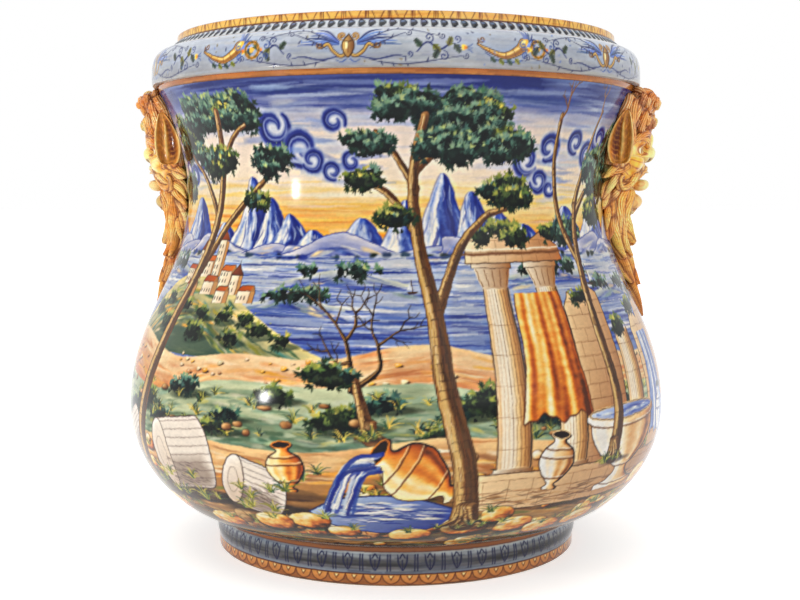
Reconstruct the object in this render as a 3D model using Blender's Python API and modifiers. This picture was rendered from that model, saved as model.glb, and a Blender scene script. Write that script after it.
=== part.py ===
"""Maiolica cachepot with two satyr-mask handles, 40 cm high.

The pot is thrown and turned in four sections, foot ring, bowl, upper wall and rim collar, and luted
together with slip. Two press-moulded masks of a bearded satyr are luted to the upper wall, at +X and
-X, and each has a pair of pointed ears that are pressed apart and set into the sides of the mask.

Metres, +Z up. The foot stands on z = 0 and the axis of the pot is the Z axis.
"""

from math import cos, pi, sin

import bmesh
import bpy
import numpy as np

for obj in list(bpy.data.objects):
    bpy.data.objects.remove(obj, do_unlink=True)

# Slip joint between two luted pieces
JOINT = 0.0003

# Foot ring
FOOT_RADIUS = 0.1434
FOOT_HEIGHT = 0.0293
FOOT_INNER_RADIUS = 0.1215
FOOT_TREAD = 0.0160  # width of the unglazed face that the pot stands on
FOOT_BASE_BAND = 0.0087
FOOT_ROLL_HEIGHT = 0.0161
FOOT_ROLL_BULGE = 0.0016
FOOT_EDGE = 0.0011

# Bowl
WALL = 0.0110
FLOOR = 0.0120
BASE_RADIUS = 0.1420  # where the flat underside turns up into the belly
BASE_REACH = 0.0300  # reach of the curve that leaves the underside
BELLY_DEPTH = 0.0460  # reach of the curve that comes up into the belly
BELLY_RADIUS = 0.2122
BELLY_HEIGHT = 0.1140
FLOOR_RADIUS = 0.1280  # where the flat floor turns up inside
SECTION_HEIGHT = 0.2040  # joint between the bowl and the upper wall

# Upper wall
WAIST_RADIUS = 0.1657
WAIST_HEIGHT = 0.2760
NECK_RADIUS = 0.1863
NECK_HEIGHT = 0.3565
BELLY_FULLNESS = 0.0680  # reach of the curve that leaves the belly
WAIST_REACH = 0.0600  # reach of the curve that comes into the waist

# Rim collar
NECK_BAND = 0.0036
COLLAR_RADIUS = 0.1920
COLLAR_UNDERCUT = 0.0024
COLLAR_STRAIGHT = 0.0050
COLLAR_HEIGHT = 0.0252  # from the widest line of the roll up to the beaded slope
BEAD_RADIUS = 0.1785
LIP_RADIUS = 0.1720
BEAD_SLOPE_HEIGHT = 0.0065
LIP_HEIGHT = 0.0055
LIP_INNER_RADIUS = 0.1605
LIP_EDGE = 0.0012

# Satyr mask. Its forms are laid out on a canon 92 wide, 181 long and 38 proud, which these three sizes stretch.
MASK_WIDTH = 0.0920
MASK_LENGTH = 0.1810
MASK_PROJECTION = 0.0380
MASK_RISE = 0.0045  # how far the hair climbs past the neck joint, in front of the collar
CANON_WIDTH, CANON_LENGTH, CANON_PROJECTION = 92.0, 181.0, 38.0
MASK_CLAY = 0.0022  # finest form that the mould keeps
MASK_FACES = 1650

# Ear
EAR_LENGTH = 0.0400
EAR_WIDTH = 0.0195
EAR_THICKNESS = 0.0042
EAR_DISH = 0.0042
EAR_TOP = 0.0195  # from the top of the mask down to the tip
EAR_OFFSET = 0.0465  # from the middle of the mask, round the wall
EAR_LOBE_OUT = 0.0125  # how far the lobe and the tip stand off the wall, at mid-width
EAR_TIP_OUT = 0.0060
EAR_SOCKET = 0.0160  # depth of clay cleared outside the ear

STEPS = 60

parts = bpy.data.collections.new("majolica_vase")
cutters = bpy.data.collections.new("cutters")
for collection in (parts, cutters):
    bpy.context.scene.collection.children.link(collection)


def glaze(name, colour, roughness):
    material = bpy.data.materials.new(name)
    material.use_nodes = True
    shader = material.node_tree.nodes["Principled BSDF"]
    shader.inputs["Base Color"].default_value = (*colour, 1)
    shader.inputs["Roughness"].default_value = roughness
    shader.inputs["Metallic"].default_value = 0
    material.diffuse_color = (*colour, 1)
    return material


def place(obj, collection, material=None):
    collection.objects.link(obj)
    if material:
        obj.data.materials.append(material)
    if collection is cutters:
        obj.hide_render = True
        obj.display_type = "WIRE"
    return obj


# The turned sections


def bezier(start, leave, arrive, end, count):
    t = np.linspace(0, 1, count)[:, None]
    points = [np.array(p, float) for p in (start, leave, arrive, end)]
    weights = ((1 - t) ** 3, 3 * t * (1 - t) ** 2, 3 * t**2 * (1 - t), t**3)
    return sum(w * p for w, p in zip(weights, points))


def quarter_ellipse(low, high, count):
    """From low, where the curve lies flat, up to high, where it stands upright, as (radius, height)."""
    angle = np.linspace(0, pi / 2, count)
    return np.stack([low[0] + (high[0] - low[0]) * np.sin(angle), high[1] - (high[1] - low[1]) * np.cos(angle)], 1)


def chain(*curves):
    points = [curves[0]]
    for curve in curves[1:]:
        points.append(curve[1:] if np.allclose(curve[0], points[-1][-1]) else curve)
    return np.concatenate(points)


def lengths(curve):
    return np.concatenate([[0], np.cumsum(np.linalg.norm(np.diff(curve, axis=0), axis=1))])


def between(curve, low, high, count):
    """Evenly spaced points on a rising curve between two heights."""
    run = lengths(curve)
    ends = np.interp([low, high], curve[:, 1], run)
    at = np.linspace(*ends, count)
    return np.stack([np.interp(at, run, curve[:, i]) for i in (0, 1)], 1)


def inward(curve, depth):
    """The curve moved towards the axis along its own normals."""
    along = np.gradient(curve, axis=0)
    along /= np.linalg.norm(along, axis=1)[:, None]
    return curve + depth * np.stack([-along[:, 1], along[:, 0]], 1)


BOWL_BASE = FOOT_HEIGHT + JOINT
FLOOR_HEIGHT = BOWL_BASE + FLOOR
FLARE = (NECK_HEIGHT - WAIST_HEIGHT) / 2

belly_curve = bezier(
    (BASE_RADIUS, BOWL_BASE),
    (BASE_RADIUS + BASE_REACH, BOWL_BASE),
    (BELLY_RADIUS, BELLY_HEIGHT - BELLY_DEPTH),
    (BELLY_RADIUS, BELLY_HEIGHT),
    160,
)
waist_curve = bezier(
    (BELLY_RADIUS, BELLY_HEIGHT),
    (BELLY_RADIUS, BELLY_HEIGHT + BELLY_FULLNESS),
    (WAIST_RADIUS, WAIST_HEIGHT - WAIST_REACH),
    (WAIST_RADIUS, WAIST_HEIGHT),
    300,
)
neck_curve = bezier(
    (WAIST_RADIUS, WAIST_HEIGHT),
    (WAIST_RADIUS, WAIST_HEIGHT + FLARE * 2 / 3),
    (WAIST_RADIUS + (NECK_RADIUS - WAIST_RADIUS) / 3, NECK_HEIGHT - FLARE * 2 / 3),
    (NECK_RADIUS, NECK_HEIGHT),
    160,
)
outer_wall = chain(belly_curve, waist_curve, neck_curve)
inner_wall = inward(chain(waist_curve, neck_curve), WALL)
inner_belly = quarter_ellipse((FLOOR_RADIUS, FLOOR_HEIGHT), tuple(inner_wall[0]), 160)
inner_side = chain(inner_belly, inner_wall)


def inside_of(point):
    """The point on the inner wall that lies square behind a point of the outer wall."""
    index = np.abs(np.linalg.norm(outer_wall - point, axis=1)).argmin()
    along = outer_wall[min(index + 1, len(outer_wall) - 1)] - outer_wall[index - 1]
    along /= np.linalg.norm(along)
    return point + WALL * np.array([-along[1], along[0]])


def neck_and_collar():
    """The outside of the rim collar from the neck joint up to the lip."""
    band_top = NECK_HEIGHT + JOINT + NECK_BAND
    widest = band_top + COLLAR_UNDERCUT + COLLAR_STRAIGHT
    shoulder = widest + COLLAR_HEIGHT - COLLAR_STRAIGHT
    slope = (NECK_RADIUS - WAIST_RADIUS) / (NECK_HEIGHT - WAIST_HEIGHT)
    band = [(NECK_RADIUS + slope * JOINT, NECK_HEIGHT + JOINT), (NECK_RADIUS + slope * NECK_BAND, band_top)]
    under = bezier(
        band[1],
        (band[1][0] + (COLLAR_RADIUS - band[1][0]) * 0.7, band_top),
        (COLLAR_RADIUS, band_top + COLLAR_UNDERCUT * 0.4),
        (COLLAR_RADIUS, band_top + COLLAR_UNDERCUT),
        4,
    )
    roll = bezier(
        (COLLAR_RADIUS, widest),
        (COLLAR_RADIUS, widest + (shoulder - widest) * 0.75),
        (COLLAR_RADIUS - (COLLAR_RADIUS - BEAD_RADIUS) * 0.3, shoulder),
        (BEAD_RADIUS, shoulder),
        7,
    )
    lip_base = shoulder + BEAD_SLOPE_HEIGHT
    lip_top = lip_base + LIP_HEIGHT
    lip = [
        (LIP_RADIUS, lip_base),
        (LIP_RADIUS, lip_top - LIP_EDGE),
        (LIP_RADIUS - LIP_EDGE, lip_top),
    ]
    return np.concatenate([band, under[1:], roll, lip]), shoulder, lip_top


collar_outside, SHOULDER_HEIGHT, LIP_TOP = neck_and_collar()


def turned(name, profile, closed, collection, material=None):
    """A solid of revolution. The profile climbs its inner side and comes down its outer side."""
    mesh = bpy.data.meshes.new(name)
    count = len(profile)
    edges = [(i, i + 1) for i in range(count - 1)] + ([(count - 1, 0)] if closed else [])
    mesh.from_pydata([(r, 0, z) for r, z in profile], edges, [])
    obj = bpy.data.objects.new(name, mesh)
    place(obj, collection, material)
    screw = obj.modifiers.new("Screw", "SCREW")
    screw.axis = "Z"
    screw.angle = 2 * pi
    screw.steps = screw.render_steps = STEPS
    screw.use_merge_vertices = True
    screw.merge_threshold = 0.00001
    screw.use_smooth_shade = True
    return obj


def foot_ring():
    roll_top = FOOT_BASE_BAND + FOOT_ROLL_HEIGHT
    roll = [
        (FOOT_RADIUS + FOOT_ROLL_BULGE * sin(pi * i / 4), roll_top - FOOT_ROLL_HEIGHT * i / 4) for i in range(5)
    ]
    inner_base = FOOT_RADIUS - FOOT_EDGE - FOOT_TREAD
    inner = [(inner_base, 0), (inner_base - FOOT_EDGE, FOOT_EDGE), (FOOT_INNER_RADIUS, FOOT_HEIGHT)]
    outer = [(FOOT_RADIUS, FOOT_HEIGHT), *roll, (FOOT_RADIUS, FOOT_EDGE), (FOOT_RADIUS - FOOT_EDGE, 0)]
    return turned("foot_ring", inner + outer, True, parts, glaze("foot_glaze", (0.62, 0.58, 0.50), 0.18))


def bowl():
    top = between(outer_wall, BOWL_BASE, SECTION_HEIGHT - JOINT / 2, 19)
    underside = [(0, BOWL_BASE)]
    inside_top = inside_of(top[-1])
    inside = between(inner_side, FLOOR_HEIGHT, inside_top[1], 11)
    inside[-1] = inside_top
    profile = [(0, FLOOR_HEIGHT), *map(tuple, inside), *map(tuple, top[::-1]), *underside]
    return turned("lower_bowl", profile, False, parts, glaze("bowl_glaze", (0.30, 0.37, 0.47), 0.14))


def upper_wall():
    outside = between(outer_wall, SECTION_HEIGHT + JOINT / 2, NECK_HEIGHT, 11)
    ends = inside_of(outside[0]), inside_of(outside[-1])
    inside = between(inner_side, ends[0][1], ends[1][1], 7)
    inside[0], inside[-1] = ends
    profile = [*map(tuple, inside), *map(tuple, outside[::-1])]
    return turned("upper_wall", profile, True, parts, glaze("wall_glaze", (0.55, 0.56, 0.52), 0.14))


def rim_collar():
    joint_inside = inside_of(outer_wall[-1]) + collar_outside[0] - outer_wall[-1]
    mouth = bezier(
        joint_inside,
        (joint_inside[0] + LIP_EDGE, joint_inside[1] + COLLAR_HEIGHT / 2),
        (LIP_INNER_RADIUS, SHOULDER_HEIGHT - COLLAR_HEIGHT / 2),
        (LIP_INNER_RADIUS, LIP_TOP - LIP_EDGE),
        6,
    )
    profile = [*map(tuple, mouth), (LIP_INNER_RADIUS + LIP_EDGE, LIP_TOP), *map(tuple, collar_outside[::-1])]
    return turned("rim_collar", profile, True, parts, glaze("rim_glaze", (0.72, 0.76, 0.78), 0.14))


def body_cutter():
    """The outside of the whole pot, grown by the slip joint, which trims whatever is luted to it."""
    outline = chain(between(outer_wall, BOWL_BASE, NECK_HEIGHT, 33), collar_outside)
    grown = inward(outline, -JOINT)
    profile = [(0, outline[-1][1] + JOINT), *map(tuple, grown[::-1]), (0, outline[0][1] - JOINT)]
    return turned("body_cutter", profile, False, cutters)


# The satyr mask


def wall_radius(height):
    return float(np.interp(height, outer_wall[:, 1], outer_wall[:, 0]))


MASK_TOP = NECK_HEIGHT + MASK_RISE


def on_wall(across, drop, out):
    """A point by its way round the wall, its drop from the top of the mask and how far it stands off the wall."""
    height = MASK_TOP - drop
    angle = across / WAIST_RADIUS
    reach = wall_radius(height) + out
    return reach * cos(angle), reach * sin(angle), height


def canon(across, drop, out):
    return on_wall(
        across / CANON_WIDTH * MASK_WIDTH,
        drop / CANON_LENGTH * MASK_LENGTH,
        out / CANON_PROJECTION * MASK_PROJECTION,
    )


def smooth_path(knots, count):
    """A Catmull-Rom curve through knots of (across, drop, out, thickness)."""
    knots = np.array(knots, float)
    padded = np.concatenate([[2 * knots[0] - knots[1]], knots, [2 * knots[-1] - knots[-2]]])
    path = []
    for s in np.linspace(0, len(knots) - 1, count):
        i = min(int(s), len(knots) - 2)
        t, (a, b, c, d) = s - i, padded[i : i + 4]
        path.append(
            0.5 * (2 * b + (c - a) * t + (2 * a - 5 * b + 4 * c - d) * t**2 + (3 * b - a - 3 * c + d) * t**3)
        )
    return path


def locks():
    """Every lock, brow and bar of the mask as knots of (across, drop, out, thickness) on the canon."""
    found = [
        # bridge and tip of the snub nose
        [(0, 38, 24, 4.5), (0, 46, 28.5, 5), (0, 51, 31.5, 6)],
        # middle lock of the beard, whose tip flicks out, and the tail below it
        [(0, 84, 13, 11), (0, 99, 9.5, 10.5), (0, 111, 11.5, 10), (0, 119, 15.5, 4.5)],
        [(0, 100, 2, 13), (0, 120, 3.5, 11), (0, 137, 3.5, 8.5), (0, 151, 2.5, 6.5), (0, 166, 1.5, 4.8), (0, 179, 0.5, 2.4)],
    ]
    # forelocks roll over the brow, the middle one proudest
    for i in range(-2, 3):
        back = 3.2 * i * i
        lean = 15.5 * i
        found.append(
            [(lean * 0.9, 9, 8 - back / 2, 8), (lean, 13, 17 - back, 9), (lean, 24, 23 - back, 10), (lean * 1.04, 33, 21 - back, 7)]
        )
    for side in (-1, 1):
        s = side
        found += [
            # brow, drawn down over the nose
            [(30 * s, 43, 12, 4.5), (20 * s, 38, 20, 5.5), (9 * s, 39, 25, 5.5), (1 * s, 43, 27, 4.5)],
            # hair in front of the ear
            [(35 * s, 12, 5, 9), (39 * s, 26, 7, 8.5), (39 * s, 42, 8, 8), (36 * s, 57, 9, 7.5)],
            # moustache
            [(2 * s, 60, 26.5, 5), (12 * s, 62.5, 25.5, 6), (22 * s, 69, 20.5, 6), (30 * s, 74, 16, 4.5), (34 * s, 70, 14, 3)],
            # beard: an inner and an outer lock that run down into the tail
            [(13 * s, 80, 15, 8.5), (17 * s, 96, 10, 8), (12 * s, 112, 7.5, 7.5), (8 * s, 128, 5, 6), (4 * s, 146, 3, 4)],
            [(26 * s, 76, 10, 9), (31 * s, 92, 5, 8.5), (25 * s, 108, 4, 7.5), (17 * s, 123, 3, 6), (10 * s, 139, 1.5, 4.5)],
        ]
        # whiskers sweep back from the cheek and lie on the wall
        for i in range(3):
            found.append(
                [
                    (29 * s, 62 + 11 * i, 13 - 3 * i, 7.5),
                    (40 * s, 66 + 14 * i, 5 - 1.5 * i, 6.5),
                    ((48 - 2.5 * i) * s, 71 + 18 * i, 0.5 - 0.5 * i, 4.5),
                ]
            )
    return found


def lumps():
    """Rounded masses as (across, drop, out) and their half sizes on the canon."""
    found = [
        ((0, 56, 4), (38, 37, 24)),
        ((0, 75.5, 26), (10, 5, 11.5)),
    ]
    for side in (-1, 1):
        found += [
            ((6.5 * side, 53.5, 27), (5, 4.5, 5)),
            ((15 * side, 46, 20), (7.5, 5, 6)),
            ((21 * side, 58, 17), (11, 10, 11)),
            ((6 * side, 88, 21), (7.5, 8, 9)),
        ]
    return found


def as_mesh(obj):
    """The object as the viewport shows it, with curve caps welded to their sides."""
    bpy.context.view_layer.update()
    mesh = bpy.data.meshes.new_from_object(obj.evaluated_get(bpy.context.evaluated_depsgraph_get()))
    bm = bmesh.new()
    bm.from_mesh(mesh)
    bmesh.ops.remove_doubles(bm, verts=bm.verts, dist=1e-7)
    bm.to_mesh(mesh)
    bm.free()
    return mesh


def mask_form(name):
    """The pressed mask before it is trimmed to the wall: locks and lumps run together, then thinned to MASK_FACES."""
    curve = bpy.data.curves.new(name, "CURVE")
    curve.dimensions = "3D"
    curve.bevel_depth = MASK_PROJECTION / CANON_PROJECTION
    curve.bevel_resolution = 3
    curve.use_fill_caps = True
    for knots in locks():
        path = smooth_path(knots, 4 * len(knots))
        spline = curve.splines.new("POLY")
        spline.points.add(len(path) - 1)
        for point, (across, drop, out, thickness) in zip(spline.points, path):
            point.co = (*canon(across, drop, out), 1)
            point.radius = thickness
    hair = bpy.data.objects.new(name + "_locks", curve)
    place(hair, cutters)
    bm = bmesh.new()
    bm.from_mesh(as_mesh(hair))
    bpy.data.objects.remove(hair)
    for centre, half in lumps():
        ball = bmesh.ops.create_uvsphere(bm, u_segments=24, v_segments=16, radius=1)["verts"]
        for vert in ball:
            along = [c + h * v for c, h, v in zip(centre, (half[0], half[1], half[2]), (vert.co.y, -vert.co.z, vert.co.x))]
            vert.co = canon(*along)
    bmesh.ops.recalc_face_normals(bm, faces=bm.faces)
    mesh = bpy.data.meshes.new(name)
    bm.to_mesh(mesh)
    bm.free()
    rough = bpy.data.objects.new(name, mesh)
    place(rough, cutters)
    merge = rough.modifiers.new("Press", "REMESH")
    merge.mode = "VOXEL"
    merge.voxel_size = MASK_CLAY
    merge.use_smooth_shade = True
    settle = rough.modifiers.new("Settle", "SMOOTH")
    settle.factor = 0.5
    settle.iterations = 2
    count = len(as_mesh(rough).polygons) * 2
    thin = rough.modifiers.new("Thin", "DECIMATE")
    thin.ratio = min(1, MASK_FACES / count)
    form = as_mesh(rough)
    form.name = name
    bpy.data.objects.remove(rough)
    return form


def ear_leaf(name, side, grow=0, reach=0):
    """The pointed ear as an open dished leaf, from lobe to tip, hollow on the side away from the mask.

    With a reach it is instead the closed block of clay between that leaf and the same leaf moved out by the reach.
    """
    rows, columns = 9, 5
    bm = bmesh.new()
    sheets = []
    for shift in (0, reach) if reach else (0,):
        grid = []
        for i in range(rows):
            s = i / (rows - 1)
            fullness = 0.13 + 0.87 * sin(pi * min(1, 0.16 + 0.84 * s**0.85)) ** 0.75
            half = fullness * EAR_WIDTH / 2 + grow
            middle = EAR_LOBE_OUT + (EAR_TIP_OUT - EAR_LOBE_OUT) * s
            drop = EAR_TOP + (EAR_LENGTH + grow) - (EAR_LENGTH + 2 * grow) * s
            places = [2 * j / (columns - 1) - 1 for j in range(columns)]
            grid.append(
                [
                    bm.verts.new(
                        on_wall(
                            side * (EAR_OFFSET + EAR_DISH * fullness**2 * (c * c - 0.5) + shift),
                            drop,
                            middle + c * half,
                        )
                    )
                    for c in places
                ]
            )
        sheets.append(grid)
        for low, high in zip(grid, grid[1:]):
            for j in range(columns - 1):
                bm.faces.new((low[j], low[j + 1], high[j + 1], high[j]))
    if reach:
        rims = [g[0] + [row[-1] for row in g[1:-1]] + g[-1][::-1] + [row[0] for row in g[-2:0:-1]] for g in sheets]
        for i in range(len(rims[0])):
            near, far = rims
            bm.faces.new((near[i - 1], near[i], far[i], far[i - 1]))
        bmesh.ops.recalc_face_normals(bm, faces=bm.faces)
    elif side > 0:
        bmesh.ops.reverse_faces(bm, faces=bm.faces)
    mesh = bpy.data.meshes.new(name)
    bm.to_mesh(mesh)
    bm.free()
    return mesh


def thicken(obj, thickness):
    shell = obj.modifiers.new("Thickness", "SOLIDIFY")
    shell.thickness = thickness
    shell.offset = 0
    shell.use_even_offset = True


def cut(obj, cutter):
    boolean = obj.modifiers.new("Trim " + cutter.name, "BOOLEAN")
    boolean.operation = "DIFFERENCE"
    boolean.object = cutter
    return boolean


foot_ring()
bowl()
upper_wall()
rim_collar()
trim = body_cutter()

mask_mesh = mask_form("satyr_mask")
mask_mesh.shade_smooth()
mask_mesh.materials.append(glaze("mask_glaze", (0.72, 0.34, 0.08), 0.2))
ear_glaze = glaze("ear_glaze", (0.60, 0.22, 0.07), 0.2)

for mask_side, turn in (("right", 0), ("left", pi)):
    mask = bpy.data.objects.new(mask_side + "_mask", mask_mesh)
    parts.objects.link(mask)
    mask.rotation_euler.z = turn
    cut(mask, trim)
    for ear_side, sign in (("front", -1), ("back", 1)):
        side = sign if mask_side == "right" else -sign
        name = f"{mask_side}_mask_{ear_side}_ear"
        ear = bpy.data.objects.new(name, ear_leaf(name, side))
        place(ear, parts, ear_glaze)
        ear.rotation_euler.z = turn
        thicken(ear, EAR_THICKNESS)
        cut(ear, trim)
        socket = bpy.data.objects.new(name + "_socket", ear_leaf(name + "_socket", side, JOINT))
        thicken(socket, EAR_THICKNESS + 2 * JOINT)
        cleared = bpy.data.objects.new(name + "_clearance", ear_leaf(name + "_clearance", side, JOINT, EAR_SOCKET))
        for cutter in (socket, cleared):
            place(cutter, cutters)
            cutter.rotation_euler.z = turn
            cut(mask, cutter)
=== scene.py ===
"""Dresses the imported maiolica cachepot: painted tin glaze, relief satyr masks, a plain studio.

Metres, +Z up, in the frame of the CAD model. The front of the pot faces -Y, and the masks stand at +X and -X.
"""

from math import atan2, cos, pi, radians, sin

import bmesh
import bpy
import numpy as np
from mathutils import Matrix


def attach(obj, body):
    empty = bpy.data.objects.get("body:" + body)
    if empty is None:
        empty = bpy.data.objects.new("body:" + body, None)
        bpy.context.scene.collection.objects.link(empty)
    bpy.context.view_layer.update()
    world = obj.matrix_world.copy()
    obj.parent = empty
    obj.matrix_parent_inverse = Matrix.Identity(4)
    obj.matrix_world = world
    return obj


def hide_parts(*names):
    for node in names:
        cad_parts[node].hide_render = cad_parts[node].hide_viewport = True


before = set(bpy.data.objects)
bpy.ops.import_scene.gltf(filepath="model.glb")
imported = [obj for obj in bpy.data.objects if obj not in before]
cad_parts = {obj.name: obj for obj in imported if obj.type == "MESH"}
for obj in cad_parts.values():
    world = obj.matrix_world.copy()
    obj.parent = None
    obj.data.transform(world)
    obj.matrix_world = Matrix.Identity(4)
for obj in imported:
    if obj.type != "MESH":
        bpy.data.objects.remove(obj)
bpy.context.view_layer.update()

# The photograph's view

VIEW_TURN = radians(4)
VIEW_DISTANCE = 1.028
VIEW_HEIGHT = 0.2744
VIEW_PITCH = radians(4.52)
LENS = 57.2

camera = bpy.data.cameras.new("view")
camera.lens = LENS
camera.sensor_width = 36
camera.shift_x = 0.005
camera.clip_start, camera.clip_end = 0.05, 100
viewer = bpy.data.objects.new("view", camera)
viewer.location = (VIEW_DISTANCE * sin(VIEW_TURN), -VIEW_DISTANCE * cos(VIEW_TURN), VIEW_HEIGHT)
viewer.rotation_euler = (pi / 2 - VIEW_PITCH, 0, VIEW_TURN)
bpy.context.scene.collection.objects.link(viewer)
bpy.context.scene.camera = viewer

# The canvas and the brush, in mm: the side of a cell, and the radius at which the wall is laid out

RES = 0.45
REF = 200.0
GIRTH = 2 * pi * REF


class Canvas:
    """A painted band round the pot: x in mm round the pot from the front, y in mm up the wall."""

    def __init__(self, height, girth, res, ground):
        self.girth, self.res = girth, res
        self.columns = int(round(girth / res))
        self.rows = int(round(height / res)) + 1
        self.img = np.empty((self.rows, self.columns, 3), np.float32)
        self.img[:] = np.array(ground, np.float32) / 255
        self.x = (np.arange(self.columns) + 0.5) * res - girth / 2
        self.y = np.arange(self.rows) * res

    def noise(self, cell_x, cell_y, seed, octaves=1):
        """Smooth noise in -1..1, periodic round the pot, with cells of the given size in mm."""
        total = np.zeros((self.rows, self.columns), np.float32)
        weight, norm = 1.0, 0.0
        for k in range(octaves):
            r = np.random.default_rng(seed * 31 + k)
            nx = max(2, int(round(self.girth / cell_x)))
            ny = int(self.rows * self.res / cell_y) + 3
            g = r.uniform(-1, 1, (ny, nx)).astype(np.float32)
            fx = (np.arange(self.columns) / self.columns * nx) % nx
            fy = self.y / cell_y
            ix, iy = fx.astype(int), fy.astype(int)
            tx, ty = fx - ix, fy - iy
            tx, ty = ((t * t * (3 - 2 * t)).astype(np.float32) for t in (tx, ty))
            rows = g[:, ix] * (1 - tx) + g[:, (ix + 1) % nx] * tx
            total += weight * (rows[iy] * (1 - ty)[:, None] + rows[iy + 1] * ty[:, None])
            norm += weight
            weight *= 0.55
            cell_x, cell_y = cell_x / 2, cell_y / 2
        return total / norm

    def mix(self, mask, colour):
        """Blends a colour over the whole canvas by a mask in 0..1."""
        c = np.asarray(colour, np.float32)
        if c.max() > 1.5:
            c = c / 255
        self.img += (c - self.img) * np.clip(mask, 0, 1)[..., None].astype(np.float32)

    def _window(self, xs, ys, pad):
        """The cells round some points: their columns, first and last row, and their places in mm."""
        res = self.res
        x0 = int(np.floor((np.min(xs) - pad + self.girth / 2) / res))
        x1 = int(np.ceil((np.max(xs) + pad + self.girth / 2) / res)) + 1
        y0 = max(0, int(np.floor((np.min(ys) - pad) / res)))
        y1 = min(self.rows, int(np.ceil((np.max(ys) + pad) / res)) + 1)
        if y1 <= y0:
            return None
        ix = np.arange(x0, x1)
        x, y = (ix + 0.5) * res - self.girth / 2, np.arange(y0, y1) * res
        return ix % self.columns, y0, y1, x[None, :], y[:, None]

    def _lay(self, win, cover, colour, alpha):
        """Lays a colour over a window's cells by how far each is covered."""
        ix, y0, y1 = win[:3]
        c = np.array(colour, np.float32) / 255
        a = (np.clip(cover, 0, 1) * alpha).astype(np.float32)[..., None]
        sub = self.img[y0:y1][:, ix]
        sub += (c - sub) * a
        self.img[y0:y1, ix] = sub

    def stroke(self, path, width, colour, alpha=1.0, soft=0.0):
        """A brush stroke along points (x, y), with a width for each point or for all."""
        p = np.asarray(path, float)
        w = np.atleast_1d(np.asarray(width, float)) / 2
        w = np.interp(np.linspace(0, 1, len(p)), np.linspace(0, 1, len(w)), w)
        win = self._window(p[:, 0], p[:, 1], w.max() + self.res + soft)
        if win is None:
            return
        X, Y = win[3], win[4]
        best = np.full(np.broadcast(X, Y).shape, 1e9)
        for (ax, ay), (bx, by), wa, wb in zip(p[:-1], p[1:], w[:-1], w[1:]):
            dx, dy = bx - ax, by - ay
            l2 = dx * dx + dy * dy + 1e-9
            t = np.clip(((X - ax) * dx + (Y - ay) * dy) / l2, 0, 1)
            d = np.hypot(X - ax - t * dx, Y - ay - t * dy) - (wa + (wb - wa) * t)
            np.minimum(best, d, out=best)
        edge = self.res + soft
        self._lay(win, 0.5 - best / edge, colour, alpha)

    def fill(self, path, colour, alpha=1.0, shade=None, soft=0.0):
        """A filled outline. shade is (direction in degrees, colour): the fill runs on into that colour."""
        p = np.asarray(path, float)
        win = self._window(p[:, 0], p[:, 1], self.res + soft)
        if win is None:
            return
        X, Y = win[3], win[4]
        inside = np.zeros(np.broadcast(X, Y).shape, bool)
        best = np.full(inside.shape, 1e9)
        q = np.roll(p, -1, axis=0)
        for (ax, ay), (bx, by) in zip(p, q):
            dx, dy = bx - ax, by - ay
            t = np.clip(((X - ax) * dx + (Y - ay) * dy) / (dx * dx + dy * dy + 1e-9), 0, 1)
            np.minimum(best, np.hypot(X - ax - t * dx, Y - ay - t * dy), out=best)
            if ay != by:
                inside ^= ((Y < ay) != (Y < by)) & (X < (bx - ax) * (Y - ay) / (by - ay) + ax)
        d = np.where(inside, -best, best)
        cover = np.clip(0.5 - d / (self.res + soft), 0, 1) * alpha
        if shade:
            a, second = shade
            u = X * cos(np.radians(a)) + Y * sin(np.radians(a))
            pu = p[:, 0] * cos(np.radians(a)) + p[:, 1] * sin(np.radians(a))
            t = np.clip((u - pu.min()) / (np.ptp(pu) + 1e-9), 0, 1)[..., None]
            c = np.array(colour, np.float32) * (1 - t) + np.array(second, np.float32) * t
            ix, y0, y1 = win[:3]
            sub = self.img[y0:y1][:, ix]
            sub += (c / 255 - sub) * cover[..., None].astype(np.float32)
            self.img[y0:y1, ix] = sub
        else:
            self._lay(win, cover, colour, 1.0)

    def dab(self, x, y, rx, ry, angle, colour, alpha=1.0, soft=0.0):
        """One touch of the brush: an ellipse, pointed at its far end."""
        win = self._window(np.array([x]), np.array([y]), max(rx, ry) + self.res + soft)
        if win is None:
            return
        ca, sa = cos(angle), sin(angle)
        U = ((win[3] - x) * ca + (win[4] - y) * sa) / rx
        V = (-(win[3] - x) * sa + (win[4] - y) * ca) / ry * (1 + 0.45 * U)
        d = (np.sqrt(U * U + V * V) - 1) * min(rx, ry)
        self._lay(win, 0.5 - d / (self.res + soft), colour, alpha)


def through(a, b, c, d, t):
    """Points a share t of the way from b to c, on a smooth line through all four."""
    return 0.5 * (2 * b + (c - a) * t + (2 * a - 5 * b + 4 * c - d) * t**2 + (3 * b - a - 3 * c + d) * t**3)


def curve(points, n=8):
    """A smooth line through points."""
    p = np.asarray(points, float)
    if len(p) == 2:
        return np.linspace(p[0], p[1], max(2, n // 2))
    e = np.concatenate([[2 * p[0] - p[1]], p, [2 * p[-1] - p[-2]]])
    out = []
    for i in range(len(p) - 1):
        out.append(through(*e[i : i + 4], np.linspace(0, 1, n, endpoint=i == len(p) - 2)[:, None]))
    return np.concatenate(out)


def ramp(values, stops):
    """Colours for values, from stops (value, (r, g, b))."""
    at = [s[0] for s in stops]
    cols = np.array([s[1] for s in stops], np.float32) / 255
    return np.stack([np.interp(values, at, cols[:, i]) for i in range(3)], -1).astype(np.float32)


def smooth(a, b, x):
    """A soft step from 0 at a to 1 at b."""
    t = np.clip((x - a) / (b - a), 0, 1)
    return t * t * (3 - 2 * t)


def bell(offset, width):
    """1 where an offset is 0, falling off softly over a width."""
    return np.exp(-((offset / width) ** 2))


def vary(rng, colour, amount):
    """A colour moved a little at random."""
    c = np.array(colour, float) * (1 + rng.uniform(-amount, amount)) + rng.uniform(-amount, amount, 3) * 60
    return np.clip(c, 0, 255)


# Pigments and small motifs

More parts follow.
